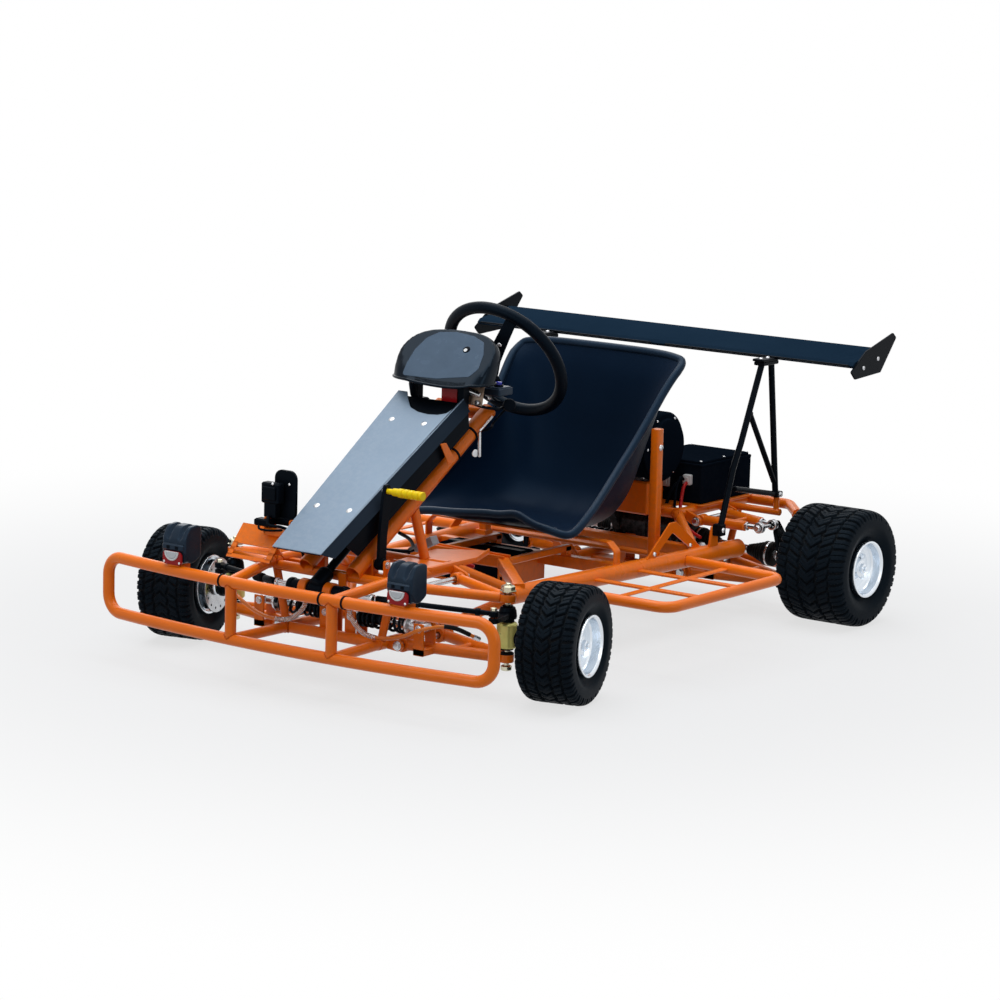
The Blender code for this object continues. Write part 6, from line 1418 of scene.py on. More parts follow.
# %% Controller and battery boxes
lid = [block((0.004, 1.046, 0.35), (0.176, 1.258, 0.357), 0.0015, 0.006)]
body = [block((0.0, 1.042, 0.255), (0.18, 1.262, 0.3465), 0.002, 0.004),
        block((-0.001, 1.041, 0.3445), (0.181, 1.263, 0.3505), 0.001, 0.005)]
lid_bolts = [f for x in (0.009, 0.171) for y in (1.051, 1.152, 1.253)
             for f in dome_bolt((x, y, 0.3568), Z, 0.0034, 0.0022)]
socket = [block((0.062, 1.034, 0.288), (0.09, 1.044, 0.312), 0.0015),
          block((0.066, 1.03, 0.292), (0.086, 1.036, 0.308), 0.001)]
piece("controller_case", [(body + lid, box_shell), (lid_bolts, steel), (socket, white)], "chassis",
      "controller_box")
pack_section = rounded([(-0.206, 0.1235), (0.026, 0.1235), (0.026, 0.178), (0.016, 0.1885), (-0.196, 0.1885),
                        (-0.206, 0.178)], 0.003)
pack = [plate(pack_section, "y", 0.44, 0.584, 0.0015)]
pack += [block((-0.17 + 0.055 * k, 0.4385, 0.13), (-0.13 + 0.055 * k, 0.4415, 0.146), 0.0006) for k in range(4)]
strap_forms = [plate(inset(pack_section, -0.0012), "y", y - 0.009, y + 0.009, 0.0005) for y in (0.478, 0.548)]
plug_forms = [block((-0.15, 0.434, 0.15), (-0.11, 0.446, 0.172), 0.0012)]
plug_pins = [turned((x, 0.4345, 0.161), -Y, [(0, 0.006), (0.0035, 0.006), (0.0035, 0.003)], 0.0005, 20)
             for x in (-0.1405, -0.1195)]
piece("battery_pack", [(pack, box_shell), (strap_forms, plastic), (plug_forms, grey_plastic), (plug_pins, steel)],
      "chassis", "battery_box")

# %% [markdown]
# ## Pedals
# The brake is a flat lever with a ribbed yellow peg on its tip; the throttle is a plate with
# a small sensor box beside it. Each is drawn about its own pivot and moved to it at the end.


# %% Pedals
lever = rounded([(-0.013, -0.012), (0.013, -0.012), (0.016, 0.06), (0.029, 0.15), (0.022, 0.172), (0.006, 0.172),
                 (-0.001, 0.14), (-0.01, 0.06)], 0.006)
lever_forms = [plate(lever, "x", -0.004, 0.004, 0.001),
               turned((-0.01, 0, 0), X, [(0, 0.0055), (0, 0.013), (0.02, 0.013), (0.02, 0.0055)], 0.001, 32)]
peg_profile = [(0.004, 0.006), (0.018, 0.006), (0.02, 0.0085), (0.034, 0.0085), (0.036, 0.01)]
for k in range(4):
    peg_profile += [(0.046 + 0.0145 * k, 0.01), (0.0475 + 0.0145 * k, 0.0078), (0.0505 + 0.0145 * k, 0.0078),
                    (0.052 + 0.0145 * k, 0.01)]
peg_profile += [(0.099, 0.01), (0.1, 0.009)]
peg = turned((0, 0.014, 0.158), X, peg_profile, 0.0005, 32)
nut_forms = hex_bolt((-0.004, 0.014, 0.158), -X, 0.0065, 0.0045)
piece("brake_lever", [(shifted(lever_forms, BRAKE_AT), plastic), (shifted([peg], BRAKE_AT), yellow),
                      (shifted(nut_forms, BRAKE_AT), steel)], "brake_pedal", "brake_pedal")
gas_plate = rounded([(-0.03, 0.004), (0.03, 0.004), (0.03, 0.113), (-0.03, 0.113)], 0.019, 6)
gas_forms = [plate(gas_plate, "y", -0.004, 0.004, 0.001),
             turned((-0.03, 0, 0), X, [(0, 0.0055), (0, 0.0095), (0.06, 0.0095), (0.06, 0.0055)], 0.001, 28)]
piece("throttle_plate", [(shifted(gas_forms, GAS_AT), plastic)], "throttle_pedal", "throttle_pedal")

# %% [markdown]
# ## Wheels: a turned rim and a treaded tyre
# A rim is one closed profile turned round its axle: rolled lips, bead seats, a dished web and
# a hub. The tyre is turned too, but its radius also drops where a groove runs. The tread is a
# height over two numbers, the place round the tyre in pitches and the place across it.


# %% Where each wheel stands
def front_centre(side):
    """Wheel centre and axle direction, turned about the steering pin by the steering angle."""
    c, s = cos(STEER), sin(STEER)
    x, y = side * WHEEL_OFFSET, WHEEL_TRAIL
    return np.array((side * KINGPIN[0] + c * x - s * y, KINGPIN[1] + s * x + c * y,
                     FRONT_RADIUS)), np.array((side * c, side * s, 0.0))


def rear_centre(side):
    """Wheel centre and axle direction at the back, straight across."""
    return np.array((side * REAR_X, WHEELBASE, REAR_RADIUS)), np.array((side * 1.0, 0.0, 0.0))


# %% Tread pattern
PITCHES = 30


def edge_fall(distance, width, soft=0.0009):
    """1 inside a groove of that width, 0 outside, with a soft wall: a clamped ramp smoothed
    by t * t * (3 - 2t)."""
    t = np.clip((width / 2 + soft - distance) / (2 * soft), 0, 1)
    return t * t * (3 - 2 * t)


def tread_depth(around, across, pitch, half_arc):
    """Share of full depth at `around` pitches and `across` from -1 to 1. Chevrons on the
    centre rib follow around = n + slope * |across|; lugs beyond them are half a pitch on,
    and the shoulder blocks have straight slots with a fine cut between."""
    a = np.abs(across)
    slope = half_arc * math.tan(radians(40)) / pitch
    wrap = lambda s: np.abs((s + 0.5) % 1.0 - 0.5) * pitch
    vee = wrap(around - slope * a) * cos(radians(40))
    lug = wrap(around - 0.62 * slope * a + 0.3) * cos(radians(28))
    slot = wrap(around - 0.18 * slope * a + 0.15)
    cut = wrap(around - 0.18 * slope * a + 0.65)
    zig = 0.245 + 0.03 * (2 * np.abs((around + 0.25) % 1.0 - 0.5) * 2 - 1)
    ring_one = edge_fall(np.abs(a - zig) * half_arc, 0.0058)
    ring_two = edge_fall(np.abs(a - 0.6 - 0.012 * np.sin(2 * np.pi * around)) * half_arc, 0.0052)
    centre = edge_fall(vee, 0.0052) * (a < zig)
    middle = edge_fall(lug, 0.0054) * (a >= zig) * (a < 0.6)
    shoulder = np.maximum(edge_fall(slot, 0.0062), 0.45 * edge_fall(cut, 0.0018, 0.0006)) * (a >= 0.6)
    sipe = 0.4 * edge_fall(wrap(around - slope * a + 0.5) * 0.77, 0.0012, 0.0005) * (a > 0.05) * (a < zig - 0.03)
    sipe = np.maximum(sipe, 0.4 * edge_fall(wrap(around - 0.62 * slope * a + 0.8) * 0.88, 0.0012,
                                            0.0005) * (a > zig + 0.05) * (a < 0.55))
    depth = np.maximum.reduce([ring_one, ring_two, centre, middle, shoulder, sipe])
    return depth * np.clip((1.06 - a) / 0.05, 0, 1)


def tyre(centre, axle, radius, width, seat_radius=0.0642, depth=0.0062, around=600, per_side=46):
    """A closed profile turned round the axle, with the tread's depth taken off along the
    profile's own outward direction, and off the radius on the crown."""
    h = width / 2
    side_wall = smooth([(seat_radius, 0.795 * h), (0.0735, 0.845 * h), (0.08, 0.905 * h), (0.7 * radius, 0.99 * h),
                        (0.8 * radius, 1.0 * h), (0.885 * radius, 0.992 * h)], 16)
    tread = smooth([(0.9 * radius, 0.985 * h), (0.945 * radius, 0.955 * h), (0.978 * radius, 0.885 * h),
                    (0.9935 * radius, 0.78 * h), (1.0 * radius, 0.62 * h), (1.0 * radius, 0.3 * h),
                    (1.0 * radius, 0.0)], per_side)
    half = np.vstack([side_wall, tread])
    profile = np.vstack([half, half[-2::-1] * (1, -1)])
    inner = np.array([(seat_radius - 0.0003, -0.6 * h), (seat_radius - 0.0003, 0.6 * h)])
    arc = np.concatenate([[0], np.cumsum(np.linalg.norm(np.diff(profile, axis=0), axis=1))])
    middle = arc[len(half) - 1]
    half_arc = middle - arc[len(side_wall)]
    across = (arc - middle) / half_arc
    tangent = unit(np.gradient(profile, axis=0))
    outward = np.stack([-tangent[:, 1], tangent[:, 0]], 1)
    outward *= np.sign((outward * (profile - (0.6 * radius, 0))).sum(1))[:, None]
    s = PITCHES * np.arange(around) / around
    share = tread_depth(s[:, None], across[None, :], 2 * np.pi * radius / PITCHES, half_arc)
    share = np.where(np.abs(across)[None, :] > 1.06, 0, share)
    shape = profile[None] - depth * share[..., None] * outward[None]
    shape = np.concatenate([shape, np.broadcast_to(inner, (around, 2, 2))], 1)
    share = np.concatenate([share, np.zeros((around, 2))], 1)
    along = unit(axle)
    flat, rise = square_pair(along)
    angle = 2 * np.pi * (np.arange(around) + 0.5) / around
    ring_way = np.cos(angle)[:, None] * flat + np.sin(angle)[:, None] * rise
    points = centre + shape[..., :1] * ring_way[:, None] + shape[..., 1:] * along
    form = grid(points, loop=True)
    form.lay = np.column_stack([share.ravel(), np.zeros((share.size, 2))])
    return form


# %% Rims
def web_place(width):
    """How far out the rim's dished web lies from its middle."""
    return 0.97 * width / 2 - 0.034


def rim_profile(width, root, disc_gap):
    """Axial place and radius along the rim's closed section, from the hub's bore outwards."""
    h = width / 2
    bead, edge, web, wall = 0.8 * h + 0.0003, 0.97 * h, web_place(width), 0.0032
    return [(root, 0.0112), (root, 0.022), (disc_gap, 0.024), (web - 0.01, 0.025), (web + 0.002, 0.0555),
            (web - 0.01, 0.0597 - wall), (-edge + 0.004, 0.0597 - wall), (-edge, 0.0625), (-edge, 0.0668),
            (-bead - 0.0045, 0.0679), (-bead - 0.0035, 0.0665), (-bead, 0.0636), (bead, 0.0636),
            (bead + 0.0035, 0.0665), (edge - 0.004, 0.0679), (edge, 0.0668), (edge, 0.0625), (edge - 0.004, 0.059),
            (web + 0.012, 0.058), (web + 0.008, 0.0555), (web + 0.004, 0.044), (web, 0.027), (web + 0.004, 0.0215),
            (web + 0.014, 0.02), (web + 0.014, 0.0112)]


def closed_turn(centre, axis, profile, sides=72):
    """A closed section turned round an axis, with its own distance and radius kept in `lay`."""
    profile = softened(profile, 0.0012, 3)
    along = unit(axis)
    across, rise = square_pair(along)
    a = 2 * np.pi * (np.arange(sides) + 0.5) / sides
    ring_way = np.cos(a)[:, None] * across + np.sin(a)[:, None] * rise
    points = centre + profile[None, :, :1] * along + profile[None, :, 1:] * ring_way[:, None]
    form = grid(points, loop=True)
    form.lay = np.column_stack([np.tile(profile, (sides, 1)), np.zeros(sides * len(profile))])
    return form


def wheel(name, side, centre, axle, radius, width, root, disc):
    """Rim, brake disc, hub nut, valve and studs on one body; the tyre on the same body."""
    along, web = unit(axle), web_place(width)
    rim_form = closed_turn(centre, axle, rim_profile(width, root, root + 0.012))
    disc_form = turned(centre + disc[0] * along, axle,
                       [(-0.002, 0.022), (-0.002, disc[1]), (0.002, disc[1]), (0.002, 0.022)], 0.0004, 64)
    flat, rise = square_pair(axle)
    spoke_way = lambda turn: cos(2 * pi * turn) * flat + sin(2 * pi * turn) * rise
    studs, holes = [], []
    for k in range(4):
        studs += hex_bolt(centre + spoke_way((k + 0.5) / 4) * 0.0345 + along * (web + 0.0015), axle, 0.0058, 0.0055)
    for k in range(14):
        holes.append(lathe(centre + disc[0] * along + spoke_way(k / 14) * (disc[1] - 0.01), axle,
                           [(-0.00215, 0.0029), (0.00215, 0.0029)], 12))
    away = unit(np.cross(axle, (0.0, -0.69, 0.72)))
    valve = [turned(centre + away * 0.053 + along * (web + 0.004), axle,
                    [(0, 0.0042), (0.006, 0.0034), (0.0075, 0.0022)], 0.0004, 16)]
    cap_nut = hex_bolt(centre + along * (web + 0.0135), axle, 0.012, 0.0095) + [
        turned(centre + along * (web + 0.0225), axle, [(0, 0.0062), (0.006, 0.0058), (0.0065, 0.004)], 0.0006, 20)]
    piece(f"{name}_rim_turned_{side}", [([rim_form], alloy), ([disc_form], steel), (holes, plastic),
                                        (studs + cap_nut, alloy), (valve, boot)], f"{name}_wheel_{side}",
          f"{name}_rim_{side}", angle=35)
    piece(f"{name}_tread_{side}", [([tyre(centre, axle, radius, width)], rubber)], f"{name}_wheel_{side}",
          f"{name}_tyre_{side}", angle=42)


for sign, side in SIDES:
    centre, axle = front_centre(sign)
    wheel("front", side, centre, axle, FRONT_RADIUS, FRONT_WIDTH, 0.0445 - WHEEL_OFFSET, (0.05 - WHEEL_OFFSET, 0.062))
    centre, axle = rear_centre(sign)
    wheel("rear", side, centre, axle, REAR_RADIUS, REAR_WIDTH, 0.388 - REAR_X, (0.398 - REAR_X, 0.047))
print("tyres: 600 x", 2 * (16 + 46) - 1 + 2, "points each")

# %% [markdown]
# ## Suspension: arms, pins and coil-overs
# Each front corner hangs on two A-shaped arms that swing on bolts along the kart. An arm is
# two tubes that meet at a ring, with a short sleeve where each turns. Everything is drawn for
# the left side and mirrored for the right, except what the steering turns.


# %% Arms
def sleeve(x, z, low, high, radius, bore=0.008):
    """A short tube along the kart with a softened edge and an open bore."""
    return closed_turn(np.array((x, low, z)), Y, [(0, bore), (0, radius), (high - low, radius), (high - low, bore)],
                       32)


def ring_at(centre, axis, radius, bore, low, high):
    """A short open ring along an axis."""
    return closed_turn(np.asarray(centre, float) + low * unit(axis), axis,
                       [(0, bore), (0, radius), (high - low, radius), (high - low, bore)], 36)


def shock_fork(y):
    """The two ears on a lower arm that hold the coil-over's eye, and their bolt."""
    ears = [block((0.209, y + s - 0.002, 0.081), (0.235, y + s + 0.002, 0.151), 0.0008) for s in (-0.0205, 0.0205)]
    ears += [block((0.209, y - 0.0225, 0.081), (0.235, y + 0.034, 0.0968), 0.0015)]
    return ears, cross_bolt(SHOCK_OUT, SHOCK_Z, y - 0.0226, y + 0.0226, 0.0068, (0.0045, 0.0058), 0.0039)


def a_arm(pin, spans, start, end, centre_y, spread, radius, sleeve_radius, bead):
    """Tubes, sleeves and weld beads of an A-shaped arm. Each tube runs from its sleeve to the
    outer joint, where its distance from centre_y has shrunk to `spread` of what it was."""
    tubes, sleeves, beads = [], [], []
    for low, high in spans:
        y = (low + high) / 2
        root, tip = (pin[0], y, pin[1]), np.array((end[0], centre_y + (y - centre_y) * spread, end[1]))
        tubes.append(bar((start[0], y, start[1]), tip, radius))
        sleeves.append(sleeve(*pin, low, high, sleeve_radius))
        beads.append(weld(root, tip - root, radius, root, Y, sleeve_radius, bead))
    return tubes, sleeves, beads


LOWER_BALL, UPPER_BALL = np.array((KINGPIN[0], KINGPIN[1], 0.085)), np.array((KINGPIN[0], KINGPIN[1], 0.215))
for sign, side in SIDES:
    ears, fixed = shock_fork(-0.092)
    arms, sleeves, beads = a_arm(LOWER_PIN, ((-0.098, -0.072), (0.03, 0.056)), (0.176, 0.0945), (0.372, 0.0865),
                                 KINGPIN[1], 0.1, 0.0125, 0.0165, 0.0014)
    ball = [ring_at(LOWER_BALL, Z, 0.016, 0.009, -0.009, 0.008)]
    brace = [bar((0.268, -0.055, 0.0905), (0.268, 0.022, 0.0905), 0.0075)]
    guards = [turned(LOWER_BALL + (0, 0, 0.0075), Z, [(0, 0.015), (0.003, 0.0165), (0.0052, 0.013), (0.006, 0.0085)],
                     0.0005, 28)]
    piece("lower_arm_tubes_" + side, [(arms + ball + ears + brace + beads, orange), (sleeves, orange), (guards, boot),
                                      (fixed, steel)], "front_lower_arm_" + side,
          "front_lower_arm_" + side, side=sign)
    arms, sleeves, beads = a_arm(UPPER_PIN, ((-0.105, -0.083), (0.032, 0.054)), (0.214, 0.2245), (0.366, 0.215),
                                 KINGPIN[1], 0.08, 0.0112, 0.013, 0.0013)
    lug_ring = [ring_at(UPPER_BALL, Z, 0.0175, 0.009, -0.008, 0.008)]
    piece("upper_arm_tubes_" + side, [(arms + lug_ring + beads + sleeves, orange)],
          "front_upper_arm_" + side, "front_upper_arm_" + side, side=sign)

# %% Steering pin, upright, tie rod
for sign, side in SIDES:
    base = np.array((sign * KINGPIN[0], KINGPIN[1], 0.0))
    pin = turned(base, Z, [(0.058, 0.0105), (0.06, 0.012), (0.067, 0.012), (0.069, 0.009), (0.069, 0.0055),
                           (0.23, 0.0055), (0.23, 0.006)], 0.0004, 32)
    top_nut = lathe(base, Z, [(0.2312, 0.015), (0.24, 0.015), (0.2428, 0.0125)], 6)
    top_washer = turned(base, Z, [(0.23, 0.0175), (0.2314, 0.0175)], 0.0003, 32)
    top_tip = turned(base, Z, [(0.242, 0.006), (0.2472, 0.006), (0.248, 0.0046)], 0.0004, 20)
    piece("steering_pin_" + side, [([pin, top_nut, top_tip, top_washer], zinc)], "kingpin_" + side,
          "kingpin_" + side)
    place = np.eye(4)
    place[:2, :2] = ((cos(STEER), -sin(STEER)), (sin(STEER), cos(STEER)))
    place[:3, 3] = base
    black_parts = [ring_at((0, 0, 0), Z, 0.015, 0.0075, 0.103, 0.196),
                   turned((0, WHEEL_TRAIL, FRONT_RADIUS), X,
                          [(0.002, 0.017), (0.004, 0.021), (0.03, 0.021), (0.032, 0.024), (0.039, 0.024),
                           (0.042, 0.021), (0.042, 0.01)], 0.0008, 36)]
    arm_plate = lug_outline((0.0, 0.0), (0.0, -STEER_ARM), 0.0125, 0.0105)
    black_parts += [plate(arm_plate, "z", 0.1735, 0.185, 0.0012),
                    turned((0, 0, 0), Z, [(0.17, 0.016), (0.171, 0.0195), (0.176, 0.0205), (0.188, 0.019),
                                          (0.194, 0.0165), (0.1955, 0.016)], 0.0012, 36)]
    bright = [bar((0.03, WHEEL_TRAIL, FRONT_RADIUS), (0.179, WHEEL_TRAIL, FRONT_RADIUS), 0.0084),
              bar((0, 0, 0.1965), (0, 0, 0.1995), 0.0122)]
    yellow_hub = [turned((0, 0, 0), Z, [(0.107, 0.016), (0.108, 0.0205), (0.111, 0.0225), (0.158, 0.0225),
                                        (0.161, 0.0205), (0.164, 0.016)], 0.001, 44),
                  turned((0, WHEEL_TRAIL, FRONT_RADIUS), X,
                         [(0.0425, 0.012), (0.0425, 0.015), (0.044, 0.015), (0.044, 0.012)], 0.0003, 32)]
    spin = lambda forms: [moved(f, place) for f in sided(forms, sign)]
    piece("upright_" + side, [(spin(black_parts + bright), black_coat), (spin(yellow_hub), yellow_zinc)],
          "knuckle_" + side, "knuckle_" + side)
    inner, outer = tie_ends(sign)
    way = unit(outer - inner)
    length = np.linalg.norm(outer - inner)
    rod_profile = [(0.0045, 0.0045), (0.006, 0.0085), (0.05, 0.0085), (0.052, 0.007), (0.058, 0.0058),
                   (length - 0.04, 0.0058), (length - 0.039, 0.0082), (length - 0.03, 0.0082),
                   (length - 0.029, 0.0058), (length - 0.01, 0.0055)]
    rod = turned(inner, way, rod_profile, 0.0005, 24)
    end_eye = turned(outer, Z, [(-0.0065, 0.0085), (-0.005, 0.011), (0.005, 0.011), (0.0065, 0.0085)], 0.001, 28)
    stud = lathe(outer, Z, [(0.006, 0.0068), (0.0125, 0.0068), (0.0132, 0.0055)], 6)
    bellows = [(0.06, 0.0062)]
    for k in range(6):
        bellows += [(0.062 + 0.006 * k, 0.0105), (0.065 + 0.006 * k, 0.008)]
    bellows += [(0.1, 0.0062)]
    piece("track_rod_" + side, [([rod, end_eye], black_coat), ([stud], zinc),
                                ([lathe(inner, way, bellows, 24)], boot)], "tie_rod_" + side,
          "tie_rod_" + side)


# %% Coil-overs: can, rod and wound spring
def coil_route(x0, x1, y, z, radius, curls, sides=36):
    """A helix along x whose end turns are wound closer than its middle ones:
    x = x0 + (x1 - x0) * (t - 0.055 sin 2 pi t)."""
    t = np.linspace(0, 1, int(curls * sides))
    angle = 2 * np.pi * curls * t
    along = x0 + (x1 - x0) * (t - 0.055 * np.sin(2 * np.pi * t))
    return np.stack([along, y + radius * np.cos(angle), z + radius * np.sin(angle)], 1)


SPRING_SEATS, SPRING_RADIUS, SPRING_WIRE = (0.062, 0.178), 0.0185, 0.0032
for end_name, y in (("front", -0.092), ("rear", 1.045)):
    for sign, side in SIDES:
        line = np.array((0.0, y, SHOCK_Z))
        eye = [ring_at((SHOCK_IN, y, SHOCK_Z), Y, 0.0105, 0.0062, -0.013, 0.013)]
        bush = [ring_at((SHOCK_IN, y, SHOCK_Z), Y, 0.0082, 0.005, -0.0145, 0.0145)]
        can = [turned(line, X, [(0.0425, 0.0095), (0.045, 0.0125), (0.0525, 0.0125), (0.054, 0.0225), (0.059, 0.0225),
                                (0.06, 0.015), (0.0615, 0.0125), (0.124, 0.0125), (0.128, 0.011), (0.128, 0.0075),
                                (0.12, 0.0072)], 0.0005, 40)]
        piece(f"{end_name}_damper_can_{side}", [(can, spring_wire), (eye, steel), (bush, boot)],
              f"{end_name}_shock_body_{side}", f"{end_name}_shock_body_{side}", side=sign)
        outer_eye = [ring_at((SHOCK_OUT, y, SHOCK_Z), Y, 0.0105, 0.0062, -0.013, 0.013)]
        outer_bush = [ring_at((SHOCK_OUT, y, SHOCK_Z), Y, 0.0082, 0.005, -0.0145, 0.0145)]
        rod = [turned(line, X, [(0.1, 0.0052), (0.178, 0.0052), (0.1805, 0.0085), (0.181, 0.0225), (0.186, 0.0225),
                                (0.188, 0.011), (0.2145, 0.011)], 0.0005, 40)]
        piece(f"{end_name}_damper_rod_{side}", [(rod + outer_eye, steel), (outer_bush, boot)],
              f"{end_name}_shock_rod_{side}", f"{end_name}_shock_rod_{side}", side=sign)
        route = coil_route(SPRING_SEATS[0] + 0.0005, SPRING_SEATS[1] - 0.0005, y, SHOCK_Z, SPRING_RADIUS, 7.5)
        wound = sweep(route, circle(SPRING_WIRE, 12))
        spring = piece(f"{end_name}_coil_{side}", [([wound], spring_wire)], None,
                       f"{end_name}_spring_{side}", side=sign)
        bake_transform(spring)

# %% Rear corners: arms, hub carrier and half shaft
REAR_TOP = (0.372, 0.228)


def boot_line(length, seam, face, shoulder, first, last):
    """A rubber boot's outline, its places as shares of the shaft: a can, then shrinking folds."""
    line = [(seam * length, 0.012), (face * length, 0.029), (shoulder * length, 0.029)]
    start, step, big, small, folds = first * length, 0.034 * length, 0.027, 0.014, 5
    for k in range(folds):
        line += [(start + step * k, big + (small - big) * k / folds),
                 (start + step * (k + 0.5), big * 0.8 + (small - big * 0.8) * k / folds)]
    return line + [(last * length, 0.0125)]


for sign, side in SIDES:
    ears, fixed = shock_fork(1.045)
    arms, sleeves, _ = a_arm(LOWER_PIN, ((1.0, 1.026), (1.196, 1.222)), (0.176, 0.0945), (0.362, 0.0808),
                             WHEELBASE, 0.15, 0.0125, 0.0165, 0.0014)
    barrel = [ring_at((0.372, 1.105, 0.08), Y, 0.014, 0.0085, 0, 0.07)]
    brace = [bar((0.268, 1.07, 0.0905), (0.268, 1.178, 0.0905), 0.0075)]
    piece("rear_lower_tubes_" + side, [(arms + sleeves + barrel + ears + brace, orange), (fixed, steel)],
          "rear_lower_arm_" + side, "rear_lower_arm_" + side, side=sign)
    legs, ends, joints = [], [], []
    for (low, high), pin_y in zip(((1.0, 1.024), (1.112, 1.136)), (1.003, 1.061)):
        start, finish_at = np.array((0.205, (low + high) / 2, 0.225)), np.array((0.362, pin_y, 0.228))
        length = np.linalg.norm(finish_at - start)
        legs.append(turned(start, finish_at - start,
                           [(0.006, 0.0122), (0.8 * length, 0.0122), (0.815 * length, 0.01)], 0.0006, 28))
        ends.append(turned(start, finish_at - start, [(0.79 * length, 0.0062), (0.83 * length, 0.0062)], 0.0003, 20))
        ends.append(lathe(start, finish_at - start, [(0.815 * length, 0.01), (0.855 * length, 0.01)], 6))
        ends.append(turned(start, finish_at - start, [(0.85 * length, 0.0062), (1.0 * length, 0.0062)], 0.0003, 20))
        legs.append(sleeve(0.205, 0.225, low, high, 0.0135))
        ends.append(ring_at((REAR_TOP[0], pin_y, REAR_TOP[1]), Y, 0.013, 0.0092, -0.006, 0.006))
        joints.append(ring_at((REAR_TOP[0], pin_y, REAR_TOP[1]), Y, 0.009, 0.0077, -0.007, 0.007))
    legs.append(bar((0.285, 1.01, 0.2265), (0.285, 1.094, 0.2268), 0.007))
    piece("rear_upper_tubes_" + side, [(legs, orange), (ends, steel), (joints, boot)],
          "rear_upper_arm_" + side, "rear_upper_arm_" + side, side=sign)
    carrier_shape = rounded([(1.095, 0.07), (1.102, 0.07), (1.102, 0.101), (1.178, 0.101), (1.178, 0.07),
                             (1.185, 0.07), (1.185, 0.12), (1.166, 0.178), (1.11, 0.206), (1.083, 0.236),
                             (1.073, 0.236), (1.073, 0.206), (1.095, 0.15)], 0.0025, 4)
    carrier = [plate(carrier_shape, "x", 0.366, 0.378, 0.0012),
               closed_turn(np.array((0.356, WHEELBASE, REAR_RADIUS)), X,
                           [(0, 0.0172), (0, 0.0325), (0.003, 0.034), (0.029, 0.034), (0.032, 0.0325),
                            (0.032, 0.0172)], 44)]
    carrier_pins = [bar((0.372, 1.0955, 0.08), (0.372, 1.1845, 0.08), 0.0055),
                    bar((0.372, 0.992, 0.228), (0.372, 1.078, 0.228), 0.0042)]
    carrier_pins += hex_bolt((0.372, 0.9925, 0.228), -Y, 0.0075, 0.0045)
    piece("rear_upright_" + side, [(carrier, black_coat), (carrier_pins, steel)],
          "hub_carrier_" + side, "hub_carrier_" + side, side=sign)
    spindle = [bar((0.3405, WHEELBASE, REAR_RADIUS), (0.392, WHEELBASE, REAR_RADIUS), 0.0145)]
    piece("rear_spindle_" + side, [(spindle, steel)], "rear_wheel_" + side, side=sign)
    inner, outer = np.array((0.1085, WHEELBASE, 0.15)), np.array((0.335, WHEELBASE, 0.1398))
    length = np.linalg.norm(outer - inner)
    shaft_line = [(0.0, 0.01), (0.25 * length, 0.01), (0.75 * length, 0.01), (length, 0.01)]
    inner_boot = boot_line(length, 0.018, 0.02, 0.1, 0.12, 0.3)
    outer_boot = [(length - a, b) for a, b in boot_line(length, 0.016, 0.018, 0.12, 0.135, 0.33)][::-1]
    clips = [closed_turn(inner + share * (outer - inner), outer - inner,
                         [(0, r), (0, r + 0.0012), (0.005, r + 0.0012), (0.005, r)], 32)
             for share, r in ((0.05, 0.0288), (0.925, 0.0288))]
    piece("half_shaft_" + side, [([lathe(inner, outer - inner, shaft_line, 24)] + clips, steel),
                                 ([turned(inner, outer - inner, inner_boot, 0.0006, 36),
                                   turned(inner, outer - inner, outer_boot, 0.0006, 36)], boot)],
          "drive_shaft_" + side, "drive_shaft_" + side, side=sign)

# %% [markdown]
# ## Brake hoses
# Each hose hangs in a shallow loop from the steering box's side to the front arm. A wound
# steel guard covers its first stretch and a black sleeve its last.

# %% Hoses
HOSE_ROUTE = [(0.062, -0.15, 0.184), (0.065, -0.15, 0.152), (0.1, -0.153, 0.122), (0.15, -0.155, 0.116),
              (0.205, -0.153, 0.127), (0.258, -0.147, 0.15), (0.31, -0.118, 0.158), (0.35, -0.066, 0.129)]
HOSE_RADIUS = 0.004
hose_line = smooth(HOSE_ROUTE, 120)
for sign, side in SIDES:
    t = np.linspace(0, 1, 700)
    base_line = np.stack([np.interp(t * 38, np.arange(120), hose_line[:, k]) for k in range(3)], 1)
    _, across, rise = carried_pairs(base_line)
    wind = 2 * np.pi * 34 * t[:, None]
    guard = sweep(base_line + (HOSE_RADIUS + 0.0008) * (np.cos(wind) * across + np.sin(wind) * rise),
                  circle(0.0008, 6))
    fittings = [turned(hose_line[0], hose_line[0] - hose_line[1],
                       [(-0.012, 0.0052), (-0.002, 0.0052), (0.0, 0.004)], 0.0004, 20),
                turned(hose_line[-1], hose_line[-1] - hose_line[-2],
                       [(-0.016, 0.0054), (-0.002, 0.0054), (0.0, 0.0044)], 0.0004, 20)]
    cover = sweep(hose_line[92:112], circle(HOSE_RADIUS + 0.0009, 16))
    hose = piece("brake_hose_run_" + side,
                 [([sweep(hose_line, circle(HOSE_RADIUS, 16))], hose_clear), ([guard] + fittings, steel),
                  ([cover], boot)], None, "brake_hose_" + side, side=sign)
    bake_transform(hose)
print("hose length:", round(float(np.linalg.norm(np.diff(hose_line, axis=0), axis=1).sum()), 3), "m")

# %% [markdown]
# ## Cables, connectors and small fittings
# A kart's loom is what fills the gaps between its solid parts. Each cable is a smooth route
# through a few points, given thickness by the same sweep as the tubes, and each connector is
# a few softened blocks set along the last stretch of its cable.


# %% Cables
def cable(points, radius, count=90):
    """A round cable through the points."""
    return sweep(smooth(points, count), circle(radius, 12))


